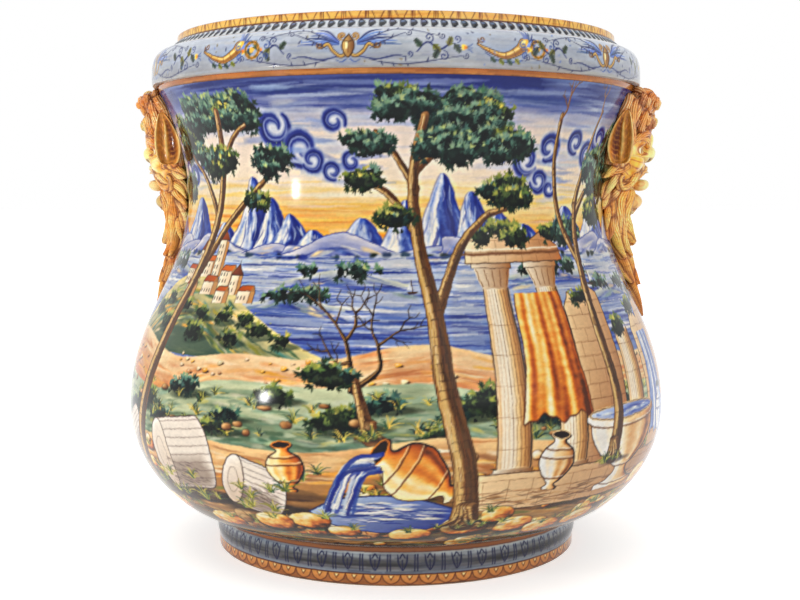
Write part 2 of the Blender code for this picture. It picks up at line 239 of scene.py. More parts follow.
DEEP, COBALT, MID, PALE = (36, 52, 138), (58, 82, 166), (98, 126, 194), (188, 202, 226)
WHITE, CREAM, SAND = (238, 238, 232), (246, 236, 212), (244, 218, 166)
YELLOW, AMBER, ORANGE, RUST = (247, 208, 96), (240, 176, 66), (226, 132, 44), (178, 84, 34)
BROWN, UMBER, INK = (118, 72, 38), (70, 46, 30), (38, 30, 30)
PINE, LEAF, TEAL, OLIVE, LIME = (24, 38, 34), (58, 92, 66), (92, 142, 128), (134, 134, 48), (196, 190, 96)
BRICK, PLASTER, PLASTER_SHADE = (150, 80, 50), (252, 240, 212), (196, 146, 92)
MOSS = (96, 118, 70)


def mixed(a, b, t):
    """A colour a share t of the way from a to b."""
    return tuple(np.array(a, float) * (1 - t) + np.array(b, float) * t)


def pick(rng, *colours):
    """A colour near one of these."""
    return vary(rng, colours[rng.integers(len(colours))], 0.07)


def hatch(c, rng, x, y, wide, high, count, angle, length, width, colours):
    """Loose parallel strokes over an area."""
    for _ in range(count):
        a = angle + rng.normal(0, 0.08)
        reach = length * rng.uniform(0.45, 1.2)
        px, py = x + rng.uniform(-0.5, 0.5) * wide, y + rng.uniform(-0.5, 0.5) * high
        dx, dy = cos(a) * reach / 2, sin(a) * reach / 2
        b = rng.normal(0, 0.15) * reach
        path = curve(
            [(px - dx, py - dy), (px - dy / reach * b, py + dx / reach * b), (px + dx, py + dy)], 5
        )
        w = width * rng.uniform(0.6, 1.3) * np.sin(np.linspace(0.25, pi - 0.1, len(path)))
        c.stroke(path, w, pick(rng, *colours), 0.6 * rng.uniform(0.6, 1))


def water(c, rng, x, y, wide, high, count, deep=0.4):
    """Long level strokes of cobalt and white."""
    for _ in range(count):
        px, py = x + rng.uniform(-0.5, 0.5) * wide, y + rng.uniform(-0.5, 0.5) * high
        shade = COBALT if rng.uniform() < deep else (
            MID if rng.uniform() < 0.5 else mixed(PALE, WHITE, 0.6)
        )
        c.dab(
            px, py, rng.uniform(5, 23), rng.uniform(0.2, 0.6), rng.normal(0, 0.012), vary(rng, shade, 0.06),
            rng.uniform(0.4, 0.9),
        )


def leaves(c, rng, x, y, direction, count, size, colour, alpha=1.0, spread=1.15):
    """A fan of leaves from one twig."""
    for k in range(count):
        a = direction + spread * (2 * (k + rng.uniform(0.2, 0.8)) / count - 1)
        reach = size * rng.uniform(0.7, 1.2)
        d = rng.uniform(0.4, 0.75) * reach
        c.dab(x + cos(a) * d, y + sin(a) * d, reach * 0.62, reach * 0.2, a, vary(rng, colour, 0.1), alpha)


BARK, BARK_LIGHT = (142, 100, 58), (214, 178, 110)


def sideways(path):
    """A unit step to the side at each point of a path."""
    n = np.gradient(path, axis=0)
    return np.stack([-n[:, 1], n[:, 0]], 1) / (np.linalg.norm(n, axis=1)[:, None] + 1e-9)


def limb(c, rng, points, wide, thin):
    """A trunk or branch, lit from the left and hatched along the bark."""
    p = curve(points, 9)
    w = np.interp(np.linspace(0, 1, len(p)), [0, 0.08, 1], [wide * 1.3, wide, thin])
    n = sideways(p)
    if n[:, 0].mean() > 0:
        n = -n
    c.stroke(p, w + 1.0, UMBER, 0.95)
    c.stroke(p, w, BARK, 1.0)
    c.stroke(p - n * (w * 0.26)[:, None], w * 0.5, mixed(UMBER, BARK, 0.25), 0.85, soft=wide * 0.12)
    c.stroke(p + n * (w * 0.26)[:, None], w * 0.36, BARK_LIGHT, 0.9, soft=wide * 0.1)
    for _ in range(int(len(p) * max(1.0, wide * 0.4))):
        i = rng.integers(0, len(p) - 2)
        j = min(len(p) - 1, i + rng.integers(1, 4))
        o = rng.uniform(-0.46, 0.46)
        shaded, lit = (UMBER, UMBER, BROWN), (BARK_LIGHT, BROWN, mixed(BARK_LIGHT, WHITE, 0.4))
        tone = pick(rng, *(shaded if o < 0.1 else lit))
        seg = p[i : j + 1] + n[i : j + 1] * (o * w[i : j + 1])[:, None] + rng.normal(0, 0.2, 2)
        c.stroke(seg, rng.uniform(0.3, 0.7), tone, 0.75)
    if wide > 5:
        for _ in range(int(len(p) * 1.4)):
            i = rng.integers(1, len(p) - 2)
            o = rng.uniform(-0.45, 0.3)
            q = p[i] + n[i] * o * w[i]
            d = n[i] * w[i] * 0.13
            c.stroke([q - d, q + d * 0.2 + (0, 0.5), q + d], rng.uniform(0.3, 0.55), UMBER, 0.7)


def twigs(c, rng, x, y, direction, length, depth, colour=UMBER, wide=1.6):
    """A bare branch that forks."""
    if depth == 0 or length < 3:
        return
    bend = rng.normal(0, 0.25)
    mx, my = x + cos(direction + bend) * length * 0.55, y + sin(direction + bend) * length * 0.55
    ex, ey = x + cos(direction) * length, y + sin(direction) * length
    p = curve([(x, y), (mx, my), (ex, ey)], 6)
    c.stroke(p, np.linspace(wide, wide * 0.5, len(p)), colour, 0.95)
    if wide > 1.2:
        c.stroke(p + (-0.25 * wide, 0.1), np.linspace(wide, wide * 0.5, len(p)) * 0.3, (196, 150, 88), 0.8)
    for s in (-1, 1):
        turn, reach = direction + s * rng.uniform(0.25, 0.6), length * rng.uniform(0.55, 0.8)
        twigs(c, rng, ex, ey, turn, reach, depth - 1, colour, wide * 0.55)
    if rng.uniform() < 0.7:
        turn = direction + rng.choice([-1, 1]) * rng.uniform(0.6, 1.0)
        twigs(c, rng, mx, my, turn, length * 0.5, depth - 1, colour, wide * 0.5)


def tuft(c, rng, x, y, size, colours=(OLIVE, LEAF, LIME), count=13):
    """A clump of grass."""
    for k in range(count):
        a = pi / 2 + (k / (count - 1) - 0.5) * 2.3 + rng.normal(0, 0.1)
        reach = size * rng.uniform(0.6, 1.1)
        path = curve(
            [
                (x + rng.normal(0, size * 0.12), y), (x + cos(a) * reach * 0.55, y + sin(a) * reach * 0.7),
                (x + cos(a) * reach * 1.05, y + sin(a) * reach * 0.85),
            ],
            5,
        )
        c.stroke(path, np.linspace(0.9, 0.25, len(path)) * size / 9, pick(rng, *colours), 0.9)


def pebble(c, rng, x, y, r):
    """A small stone with its shadow and a light."""
    c.dab(x + 0.35 * r, y - 0.3 * r, 1.25 * r, 0.6 * r, 0, UMBER, 0.85)
    c.dab(x, y, r, 0.62 * r, 0.2, pick(rng, SAND, AMBER, (206, 150, 92)), 1.0)
    c.dab(x - 0.2 * r, y + 0.2 * r, 0.45 * r, 0.22 * r, 0.2, CREAM, 0.8)


def box(x0, y0, x1, y1):
    """The corners of a rectangle."""
    return [(x0, y0), (x1, y0), (x1, y1), (x0, y1)]


def house(c, x, y, w, h, roof, tower):
    """A small building: lit front, shaded end, roof and windows."""
    e = w * 0.42
    c.fill(box(x, y, x + w, y + h), PLASTER, 1.0, shade=(0, mixed(PLASTER, PLASTER_SHADE, 0.35)))
    end = [(x + w, y), (x + w + e, y + h * 0.05), (x + w + e, y + h * 0.96), (x + w, y + h)]
    c.fill(end, PLASTER_SHADE, 1.0)
    if tower:
        tip = (x + (w + e) / 2, y + h + w * 0.95)
        left, right = (x - 0.08 * w, y + h), (x + w + e * 1.1, y + h)
        c.fill([left, right, tip], roof, 1.0, shade=(0, mixed(roof, INK, 0.4)))
        c.stroke([left, tip, right, left], 0.5, INK, 0.8)
        c.stroke([tip, (tip[0], tip[1] + w * 0.3)], 0.4, INK, 0.8)
    else:
        g = (x + w + e / 2, y + h + w * 0.34)
        f = (x + e / 2, y + h + w * 0.34)
        c.fill(
            [(x - 0.06 * w, y + h), (x + w, y + h), g, f], roof, 1.0, shade=(0, mixed(roof, ORANGE, 0.4))
        )
        c.fill([(x + w, y + h), (x + w + e, y + h * 0.96), g], mixed(PLASTER_SHADE, BROWN, 0.3), 1.0)
        c.stroke([(x - 0.06 * w, y + h), f, g, (x + w + e, y + h * 0.96)], 0.5, INK, 0.8)
    c.stroke([(x, y), (x, y + h), (x + w, y + h), (x + w, y)], 0.45, UMBER, 0.85)
    c.stroke([(x + w + e, y), (x + w + e, y + h * 0.96)], 0.5, INK, 0.8)
    for i in range(max(1, int(w / 3.4))):
        for j in range(max(1, int(h / 5.5))):
            pane, sill = x + 1.7 + 3.2 * i, y + 2.6 + 5 * j
            c.stroke([(pane, sill), (pane, y + 4.4 + 5 * j)], 0.9, INK, 0.85)


def column(c, x, base, top, r, broken):
    """A fluted column in warm stone, lit from the left."""
    head = ((-0.84, 0), (0.84, 0))
    if broken:
        head = ((-0.86, -0.4), (-0.3, 0.5), (0.2, -0.2), (0.84, 0.2))
    p = [(x - r, base)] + [(x + r * u, top + r * v) for u, v in head] + [(x + r, base)]
    c.fill(p, CREAM, 1.0)
    for lo, tone, alpha in (
        (0.1, (240, 200, 130), 0.75), (0.42, (206, 144, 74), 0.75), (0.72, (136, 88, 48), 0.7)
    ):
        side = [(x + r * lo, base), (x + r * lo * 0.84, top), (x + r * 0.84, top), (x + r, base)]
        c.fill(side, tone, alpha, soft=r * 0.28)
    edge = [(x - r, base), (x - r * 0.84, top), (x - r * 0.62, top), (x - r * 0.74, base)]
    c.fill(edge, (226, 180, 116), 0.6, soft=r * 0.2)
    for k in np.linspace(-0.78, 0.86, 8):
        tone = BROWN if k > -0.2 else (190, 140, 86)
        c.stroke([(x + r * k, base + 1), (x + r * k * 0.84, top - 1)], 0.42 + 0.3 * (k > 0.2), tone, 0.6)
    for yy in np.arange(base + 14, top - 8, 21):
        c.stroke([(x - r, yy), (x, yy - 0.6), (x + r, yy + 0.2)], 0.4, BROWN, 0.5)
    c.stroke([p[0], p[1]], 0.7, UMBER, 0.9)
    c.stroke([p[-1], p[-2]], 1.0, INK, 0.9)
    for k, h, o in ((1.18, 2.4, 0), (1.32, 2.2, 2.2), (1.5, 3.6, 5.4)):
        step = box(x - r * k, base - o, x + r * k, base - o - h)
        c.fill(step, CREAM, 1.0, shade=(0, (150, 98, 52)))
        c.stroke(step[:1] + step[:0:-1], 0.55, UMBER, 0.9)
    if not broken:
        high = top + r * 1.25
        capital = [(x - r * 0.84, top), (x + r * 0.84, top), (x + r * 1.3, high), (x - r * 1.3, high)]
        c.fill(capital, CREAM, 1.0, shade=(0, (160, 104, 54)))
        for k in (-0.9, -0.45, 0.0, 0.45, 0.9):
            for yy, s in ((0.15, 0.42), (0.62, 0.5)):
                qx, qy = x + r * k * (0.84 + yy * 0.4), top + r * yy
                leaf = curve([(qx, qy), (qx + k * 0.8, qy + r * s * 0.7), (qx + k * 2.2, qy + r * s)], 5)
                c.stroke(leaf, 0.6, BROWN, 0.85)
        slab = box(x - r * 1.42, top + r * 1.25, x + r * 1.42, top + r * 1.6)
        c.fill(slab, CREAM, 1.0, shade=(0, (170, 112, 60)))
        c.stroke(slab[:1] + slab[::-1], 0.5, UMBER, 0.9)


def masonry(c, rng, outline, course=8.0, light=CREAM, dark=(190, 132, 74)):
    """Coursed stone filling an outline."""
    p = np.array(outline, float)
    c.fill(p, light, 1.0, shade=(-25, dark))
    lo, hi = p.min(0), p.max(0)
    for j, yy in enumerate(np.arange(lo[1] + course, hi[1], course)):
        xs = []
        q = np.roll(p, -1, axis=0)
        for (ax, ay), (bx, by) in zip(p, q):
            if (ay < yy) != (by < yy):
                xs.append(ax + (bx - ax) * (yy - ay) / (by - ay))
        xs.sort()
        for a, b in zip(xs[::2], xs[1::2]):
            c.stroke([(a, yy), (b, yy + rng.normal(0, 0.2))], 0.45, BROWN, 0.6)
            for xx in np.arange(a + course * (0.6 + 0.9 * (j % 2)), b, course * 1.9):
                xj = xx + rng.normal(0, 0.6)
                c.stroke([(xj, yy), (xj, max(lo[1], yy - course))], 0.4, BROWN, 0.55)
    c.stroke(np.concatenate([p, p[:1]]), 0.7, UMBER, 0.9)


def placer(x, y, angle):
    """A function that turns points by the angle and moves them to (x, y)."""
    ca, sa = cos(angle), sin(angle)

    def put(q):
        q = np.asarray(q, float)
        return np.stack([x + q[..., 0] * ca - q[..., 1] * sa, y + q[..., 0] * sa + q[..., 1] * ca], -1)

    return put


def drum(c, rng, x, y, r, length, angle):
    """A fallen column drum in grey marble, seen from its end."""
    put = placer(x, y, angle)
    t = np.linspace(pi / 2, 3 * pi / 2, 14)
    far = np.stack([length + r * 0.42 * np.cos(t + pi), r * np.sin(t + pi)], 1)
    body = np.concatenate([[(0, r)], far[::-1], [(0, -r)]])
    c.fill(put(body), (232, 224, 212), 1.0)
    shaded = put([(0, -0.1 * r), (length, -0.1 * r), (length + 0.3 * r, -r * 0.6), (length, -r), (0, -r)])
    c.fill(shaded, (150, 132, 118), 0.8, soft=r * 0.35)
    for k in np.linspace(-0.9, 0.9, 9):
        bow = (1 - k * k) ** 0.5
        c.stroke(put([(0.3 * r * bow, k * r), (length + 0.4 * r * bow, k * r)]), 0.6, (110, 92, 84), 0.6)
    lines = (96, 78, 70), (140, 122, 110)
    hatch(
        c, rng, x + length / 2 * cos(angle), y - r * 0.5, length * 0.9, r * 0.7, int(length * r * 0.08),
        angle - 0.5, 5, 0.5, lines,
    )
    t = np.linspace(0, 2 * pi, 26)
    face = np.stack([r * 0.42 * np.cos(t), r * np.sin(t)], 1)
    c.fill(put(face), (246, 240, 228), 1.0, shade=(-60, (206, 186, 164)))
    c.stroke(put(face), 0.7, (72, 56, 50), 0.9)
    c.stroke(put(face * 0.5), 0.45, (130, 110, 98), 0.7)
    c.stroke(put(body), 0.8, (62, 48, 44), 0.9)


# Land and trees


def under(c, points, lit, dark, depth, low=None, texture=0.0, seed=0):
    """Land: all below a line of (x, y) points, from lit at the line to dark at a depth in mm below it."""
    p = curve(points, 10)
    x0, x1 = p[0, 0], p[-1, 0]
    whole = x1 - x0 >= c.girth
    if whole:
        ix = np.arange(c.columns)
        x = c.x
    else:
        ix = np.arange(int(np.floor((x0 + c.girth / 2) / c.res)), int(np.ceil((x1 + c.girth / 2) / c.res)))
        x = (ix + 0.5) * c.res - c.girth / 2
    line = np.interp(x, p[:, 0], p[:, 1])
    floor = c.y[0] if low is None else low
    y0 = max(0, int(floor / c.res))
    y1 = min(c.rows, int(line.max() / c.res) + 4)
    if y1 <= y0:
        return
    y = c.y[y0:y1, None]
    deep = line[None, :] - y
    cover = np.clip(0.5 + deep, 0, 1)
    t = np.clip(deep / depth, 0, 1)
    if texture:
        rough = c.noise(26, 5, seed, 3)[y0:y1][:, ix % c.columns]
        t = np.clip(t + texture * rough, 0, 1)
    t = t[..., None]
    tone = (np.array(lit, np.float32) * (1 - t) + np.array(dark, np.float32) * t) / 255
    sub = c.img[y0:y1][:, ix % c.columns]
    sub += (tone - sub) * cover[..., None].astype(np.float32)
    c.img[y0:y1, ix % c.columns] = sub


def follow(c, rng, points, deep, count, length, width, colours, alpha):
    """Strokes that follow a line of land, thinning out below it."""
    p = curve(points, 10)
    span = p[-1, 0] - p[0, 0]
    for _ in range(count):
        x = p[0, 0] + rng.uniform() * span
        y = np.interp(x, p[:, 0], p[:, 1]) - deep * rng.uniform() ** 0.5
        slope = (np.interp(x + 5, p[:, 0], p[:, 1]) - np.interp(x - 5, p[:, 0], p[:, 1])) / 10
        turn = atan2(slope, 1) + rng.normal(0, 0.08)
        rx, ry = length * rng.uniform(0.3, 0.8), width * rng.uniform(0.25, 0.7)
        c.dab(x, y, rx, ry, turn, pick(rng, *colours), alpha * rng.uniform(0.5, 1.1), 0.3)


def roots(c, rng, x, y, w):
    """The spread foot of a tree with grass round it."""
    for k in (-1, -0.4, 0.3, 1):
        end = x + k * w * 1.15, y - w * 0.35
        path = [(x + k * w * 0.2, y + w * 0.9), (x + k * w * 0.45, y + w * 0.1), end]
        limb(c, rng, path, w * 0.42, w * 0.12)
    c.dab(x + w * 0.5, y - w * 0.45, w * 1.5, w * 0.22, 0, INK, 0.55, soft=1.5)
    for _ in range(5):
        px, py = x + rng.uniform(-1.2, 1.2) * w, y - w * rng.uniform(0.2, 0.6)
        tuft(c, rng, px, py, rng.uniform(6, 10), (OLIVE, LIME, LEAF, PINE), 11)


# The turned form, as in the CAD model, in metres

JOINT = 0.0003
FOOT_RADIUS, FOOT_HEIGHT, FOOT_INNER_RADIUS = 0.1434, 0.0293, 0.1215
FOOT_TREAD, FOOT_BASE_BAND, FOOT_EDGE = 0.0160, 0.0087, 0.0011
FOOT_ROLL_HEIGHT, FOOT_ROLL_BULGE = 0.0161, 0.0016
WALL, FLOOR = 0.0110, 0.0120
BASE_RADIUS, BASE_REACH, BELLY_DEPTH, BELLY_RADIUS, BELLY_HEIGHT = 0.1420, 0.0300, 0.0460, 0.2122, 0.1140
FLOOR_RADIUS, SECTION_HEIGHT = 0.1280, 0.2040
WAIST_RADIUS, WAIST_HEIGHT, NECK_RADIUS, NECK_HEIGHT = 0.1657, 0.2760, 0.1863, 0.3565
BELLY_FULLNESS, WAIST_REACH = 0.0680, 0.0600
NECK_BAND, COLLAR_RADIUS, COLLAR_UNDERCUT = 0.0036, 0.1920, 0.0024
COLLAR_STRAIGHT, COLLAR_HEIGHT = 0.0050, 0.0252
BEAD_RADIUS, BEAD_SLOPE_HEIGHT = 0.1785, 0.0065
LIP_RADIUS, LIP_HEIGHT, LIP_INNER_RADIUS, LIP_EDGE = 0.1720, 0.0055, 0.1605, 0.0012


def bezier(start, leave, arrive, end, count):
    """Points along a cubic Bezier curve."""
    t = np.linspace(0, 1, count)[:, None]
    points = [np.array(p, float) for p in (start, leave, arrive, end)]
    weights = ((1 - t) ** 3, 3 * t * (1 - t) ** 2, 3 * t**2 * (1 - t), t**3)
    return sum(w * p for w, p in zip(weights, points))


def quarter_ellipse(low, high, count):
    """A quarter of an ellipse that leaves low level and reaches high upright."""
    angle = np.linspace(0, pi / 2, count)
    across, rise = high[0] - low[0], high[1] - low[1]
    return np.stack([low[0] + across * np.sin(angle), high[1] - rise * np.cos(angle)], 1)


def chain(*curves):
    """Lines joined end to end, without doubled points."""
    points = [np.asarray(curves[0], float)]
    for piece in curves[1:]:
        piece = np.asarray(piece, float)
        points.append(piece[1:] if np.allclose(piece[0], points[-1][-1]) else piece)
    return np.concatenate(points)


def lengths(line):
    """How far along a line each of its points lies."""
    return np.concatenate([[0], np.cumsum(np.linalg.norm(np.diff(line, axis=0), axis=1))])


def resampled(line, step):
    """The same line with evenly spaced points about a step apart."""
    run = lengths(np.asarray(line, float))
    at = np.linspace(0, run[-1], max(2, int(round(run[-1] / step)) + 1))
    return np.stack([np.interp(at, run, np.asarray(line)[:, i]) for i in (0, 1)], 1)


def between(line, low, high, step):
    """The part of a rising line between two heights, resampled."""
    run = lengths(line)
    ends = np.interp([low, high], line[:, 1], run)
    at = np.linspace(*ends, max(2, int(round((ends[1] - ends[0]) / step)) + 1))
    return np.stack([np.interp(at, run, line[:, i]) for i in (0, 1)], 1)


def inward(line, depth):
    """The line moved to its left, which is into the wall for a rising outside."""
    along = np.gradient(line, axis=0)
    along /= np.linalg.norm(along, axis=1)[:, None]
    return line + depth * np.stack([-along[:, 1], along[:, 0]], 1)


BOWL_BASE = FOOT_HEIGHT + JOINT
FLOOR_HEIGHT = BOWL_BASE + FLOOR
FLARE = (NECK_HEIGHT - WAIST_HEIGHT) / 2
belly_curve = bezier(
    (BASE_RADIUS, BOWL_BASE),
    (BASE_RADIUS + BASE_REACH, BOWL_BASE),
    (BELLY_RADIUS, BELLY_HEIGHT - BELLY_DEPTH),
    (BELLY_RADIUS, BELLY_HEIGHT),
    400,
)
waist_curve = bezier(
    (BELLY_RADIUS, BELLY_HEIGHT),
    (BELLY_RADIUS, BELLY_HEIGHT + BELLY_FULLNESS),
    (WAIST_RADIUS, WAIST_HEIGHT - WAIST_REACH),
    (WAIST_RADIUS, WAIST_HEIGHT),
    600,
)
neck_curve = bezier(
    (WAIST_RADIUS, WAIST_HEIGHT),
    (WAIST_RADIUS, WAIST_HEIGHT + FLARE * 2 / 3),
    (WAIST_RADIUS + (NECK_RADIUS - WAIST_RADIUS) / 3, NECK_HEIGHT - FLARE * 2 / 3),
    (NECK_RADIUS, NECK_HEIGHT),
    400,
)
outer_wall = chain(belly_curve, waist_curve, neck_curve)
inner_wall = inward(chain(waist_curve, neck_curve), WALL)
inner_side = chain(quarter_ellipse((FLOOR_RADIUS, FLOOR_HEIGHT), tuple(inner_wall[0]), 400), inner_wall)
wall_run = lengths(outer_wall) * 1000


def inside_of(point):
    """The place on the wall's inner face behind a point of its outer face."""
    index = np.abs(np.linalg.norm(outer_wall - point, axis=1)).argmin()
    along = outer_wall[min(index + 1, len(outer_wall) - 1)] - outer_wall[index - 1]
    along /= np.linalg.norm(along)
    return point + WALL * np.array([-along[1], along[0]])


def wall_radius(height):
    """The wall's outside radius at a height, both in metres."""
    return np.interp(height, outer_wall[:, 1], outer_wall[:, 0])


def collar_sections():
    """The outside of the rim collar from the neck joint to the lip, as its smooth stretches."""
    band_top = NECK_HEIGHT + JOINT + NECK_BAND
    widest = band_top + COLLAR_UNDERCUT + COLLAR_STRAIGHT
    shoulder = widest + COLLAR_HEIGHT - COLLAR_STRAIGHT
    slope = (NECK_RADIUS - WAIST_RADIUS) / (NECK_HEIGHT - WAIST_HEIGHT)
    band_low = (NECK_RADIUS, NECK_HEIGHT)
    band_high = (NECK_RADIUS + slope * NECK_BAND, band_top)
    underside = bezier(
        band_high,
        (band_high[0] + (COLLAR_RADIUS - band_high[0]) * 0.7, band_top),
        (COLLAR_RADIUS, band_top + COLLAR_UNDERCUT * 0.4),
        (COLLAR_RADIUS, band_top + COLLAR_UNDERCUT),
        20,
    )
    roll = bezier(
        (COLLAR_RADIUS, widest),
        (COLLAR_RADIUS, widest + (shoulder - widest) * 0.75),
        (COLLAR_RADIUS - (COLLAR_RADIUS - BEAD_RADIUS) * 0.3, shoulder),
        (BEAD_RADIUS, shoulder),
        80,
    )
    lip_base = shoulder + BEAD_SLOPE_HEIGHT
    lip_top = lip_base + LIP_HEIGHT
    turn = np.linspace(0, pi / 2, 7)
    lip = np.stack([LIP_RADIUS - LIP_EDGE * (1 - np.cos(turn)), lip_top - LIP_EDGE * (1 - np.sin(turn))], 1)
    inner = [LIP_INNER_RADIUS + LIP_EDGE * (1 - np.sin(turn)), lip_top - LIP_EDGE * (1 - np.cos(turn))]
    inner = np.stack(inner, 1)
    sections = {
        "band": [band_low, band_high],
        "roll": chain(underside, [underside[-1], (COLLAR_RADIUS, widest)], roll),
        "beads": [roll[-1], (LIP_RADIUS, lip_base)],
        "lip": chain([(LIP_RADIUS, lip_base), (LIP_RADIUS, lip_top - LIP_EDGE)], lip, inner),
    }
    return sections, shoulder, lip_top


collar, SHOULDER_HEIGHT, LIP_TOP = collar_sections()


def up(height):
    """How far up the wall a height in mm lies, in mm along it."""
    return float(np.interp(height, outer_wall[:, 1] * 1000, wall_run))


# The picture on the wall: a made-up landscape in the Urbino manner

GLAZE_TINT = (0.955, 0.925, 0.895)
HALF_ROUND = 628
GRASS = (OLIVE, LIME, LEAF)
CUT_STONE = (248, 220, 172), (150, 90, 48)


def level(points):
    """Picture points of (round the pot, height) pairs, both in mm."""
    return [(x, up(z)) for x, z in points]


def scattered(rng, count, low, high):
    """Random places right round the pot between two heights, as picture points."""
    for _ in range(count):
        yield rng.uniform(-HALF_ROUND, HALF_ROUND), up(rng.uniform(low, high))


def local(field, win):
    """The part of a whole-canvas field that a window covers."""
    return field[win[1] : win[2]][:, win[0]]


def paint_tones(c, win, cover, t, stops):
    """Lays tones picked from stops by t, where the window is covered."""
    tone = ramp(np.clip(t, 0, 1), stops)
    ix, y0, y1 = win[:3]
    sub = c.img[y0:y1][:, ix]
    sub += (tone - sub) * np.clip(cover, 0, 1)[..., None].astype(np.float32)
    c.img[y0:y1, ix] = sub


def tones(*colours):
    """Colours from light to dark as evenly spaced stops of 0..1."""
    return [(i / (len(colours) - 1), colour) for i, colour in enumerate(colours)]


STONE_TONES = tones(WHITE, (250, 236, 204), (244, 214, 160), (226, 174, 108), (176, 112, 60), (104, 62, 36))
ROCK_TONES = tones(
    (252, 238, 196), (248, 212, 124), (236, 164, 70), (196, 106, 42), (110, 62, 34), (52, 36, 28)
)
EARTH_TONES = tones((214, 178, 120), (176, 132, 80), (132, 92, 54), (88, 60, 38), (50, 38, 28))
MOUNT_TONES = tones(
    (246, 242, 232), (214, 222, 238), (146, 168, 218), (74, 100, 182), (42, 60, 148), (34, 46, 126)
)
CLAY_TONES = tones((255, 240, 190), (250, 200, 100), (232, 140, 48), (184, 88, 32), (96, 48, 26))
BLUE_TONES = tones((246, 248, 250), (196, 210, 236), (112, 142, 206), (58, 82, 170), (34, 48, 128))


def dome(c, x, y, rx, ry, stops, power=2.2, rough=0.25, turn=0.0, flat=0.0):
    """A rounded form modelled in tones from the lit side to the shaded one: a rock, a step, a bushy mass."""
    win = c._window(np.array([x]), np.array([y]), max(rx, ry) * 1.15 + 2)
    if win is None:
        return
    ca, sa = cos(turn), sin(turn)
    U = ((win[3] - x) * ca + (win[4] - y) * sa) / rx
    V = (-(win[3] - x) * sa + (win[4] - y) * ca) / ry
    r = (np.abs(U) ** power + np.abs(V) ** power) ** (1 / power) + 1e-6
    steep = np.hypot((np.abs(U) / r) ** (power - 1) / rx, (np.abs(V) / r) ** (power - 1) / ry)
    inside = (1 - r * (1 + 0.4 * rough * local(c.lump, win))) / steep
    lift = np.sqrt(np.clip(1 - np.clip(r, 0, 1) ** 2, 0, 1))
    shade = 0.52 - 0.5 * (0.62 * V - 0.55 * U) - 0.22 * lift + rough * local(c.grain, win) + flat
    paint_tones(c, win, inside / 0.7 + 0.5, shade, stops)
    line = bell(inside, 0.55) * np.clip(0.45 + 0.8 * (shade - 0.3), 0.25, 1)
    c._lay(win, line, UMBER, 0.9)


def mountain_side(s):
    """How far a mountain reaches sideways, from 0 at its head to 1 at its base: round above, flared below."""
    return 0.40 * np.sqrt(np.clip(s * (2 - np.minimum(s, 1)), 0, None)) + 0.60 * np.clip(s, 0, None) ** 2.1


def massif(c, rng, x, base, top, left, right, haze):
    """A blue mountain with a rounded head, lit from the left and fluted down its sides."""
    win = c._window(np.array([x - left, x + right]), np.array([base, top]), 3)
    if win is None:
        return
    X, Y = win[3], win[4]
    s = np.clip((top - Y) / (top - base), 0, 1.02)
    p = rng.uniform(0, 6.28, 5)
    flare = mountain_side(s)
    wide_l = left * flare * (1 + 0.10 * np.sin(8 * s + p[0]) * s) + 0.05
    wide_r = right * flare * (1 + 0.10 * np.sin(7 * s + p[1]) * s) + 0.05
    middle = x + 0.08 * right * np.sin(4 * s + p[2]) * s
    at_left = X < middle
    reach = np.where(at_left, wide_l, wide_r)
    U = (X - middle) / reach * (1 + 0.05 * local(c.grain, win))
    inside = (1 - np.abs(U)) * reach
    U = U + 0.22 * local(c.lump, win) * np.clip(1 - np.abs(U), 0, 1)
    flutes = (
        0.20 * np.sin(5.5 * U + 3.0 * s + p[3])
        + 0.20 * np.sin(11 * U - 4 * s + p[4]) * np.clip(2 * s, 0, 1)
    )
    t = (
        0.46 + 0.44 * np.tanh(2.4 * (U - 0.02)) + flutes + 0.20 * local(c.grain, win)
        - 0.2 * np.clip(U - 0.6, 0, 1)
    )
    t = t * (1 - haze) + 0.25 * haze + 0.1 * (1 - s)
    body = (Y >= base) & (Y <= top)
    paint_tones(c, win, (inside + 0.5) * body, t, MOUNT_TONES)
    line = bell(inside, 0.8) * body * np.where(at_left, 0.5, 0.95)
    c._lay(win, line, mixed(COBALT, DEEP, 0.5), 0.9)
    # crags: brush lines that run down the flanks, light on the left and dark on the right
    own = np.random.default_rng(int(abs(x) * 10 + top))
    for _ in range(int((left + right) * 0.42)):
        begin = own.uniform(0.03, 0.7)
        s = np.linspace(begin, min(0.97, begin + own.uniform(0.12, 0.34)), 6)
        u = own.uniform(-0.86, 0.86)
        run = (
            x + u * (right if u > 0 else left) * mountain_side(s) + 1.2 * np.sin(17 * s + own.uniform(0, 6))
        )
        dark = own.uniform() < 0.5 + 0.5 * u
        tone = pick(own, DEEP, COBALT, (52, 72, 160)) if dark else pick(own, WHITE, PALE, (176, 194, 230))
        width = np.array([0.3, 1.0, 1.3, 0.8, 0.3]) * own.uniform(0.8, 1.7)
        c.stroke(
            np.stack([run, top - s * (top - base)], 1), width, tone, own.uniform(0.45, 0.85) * (1 - haze),
            soft=0.5,
        )


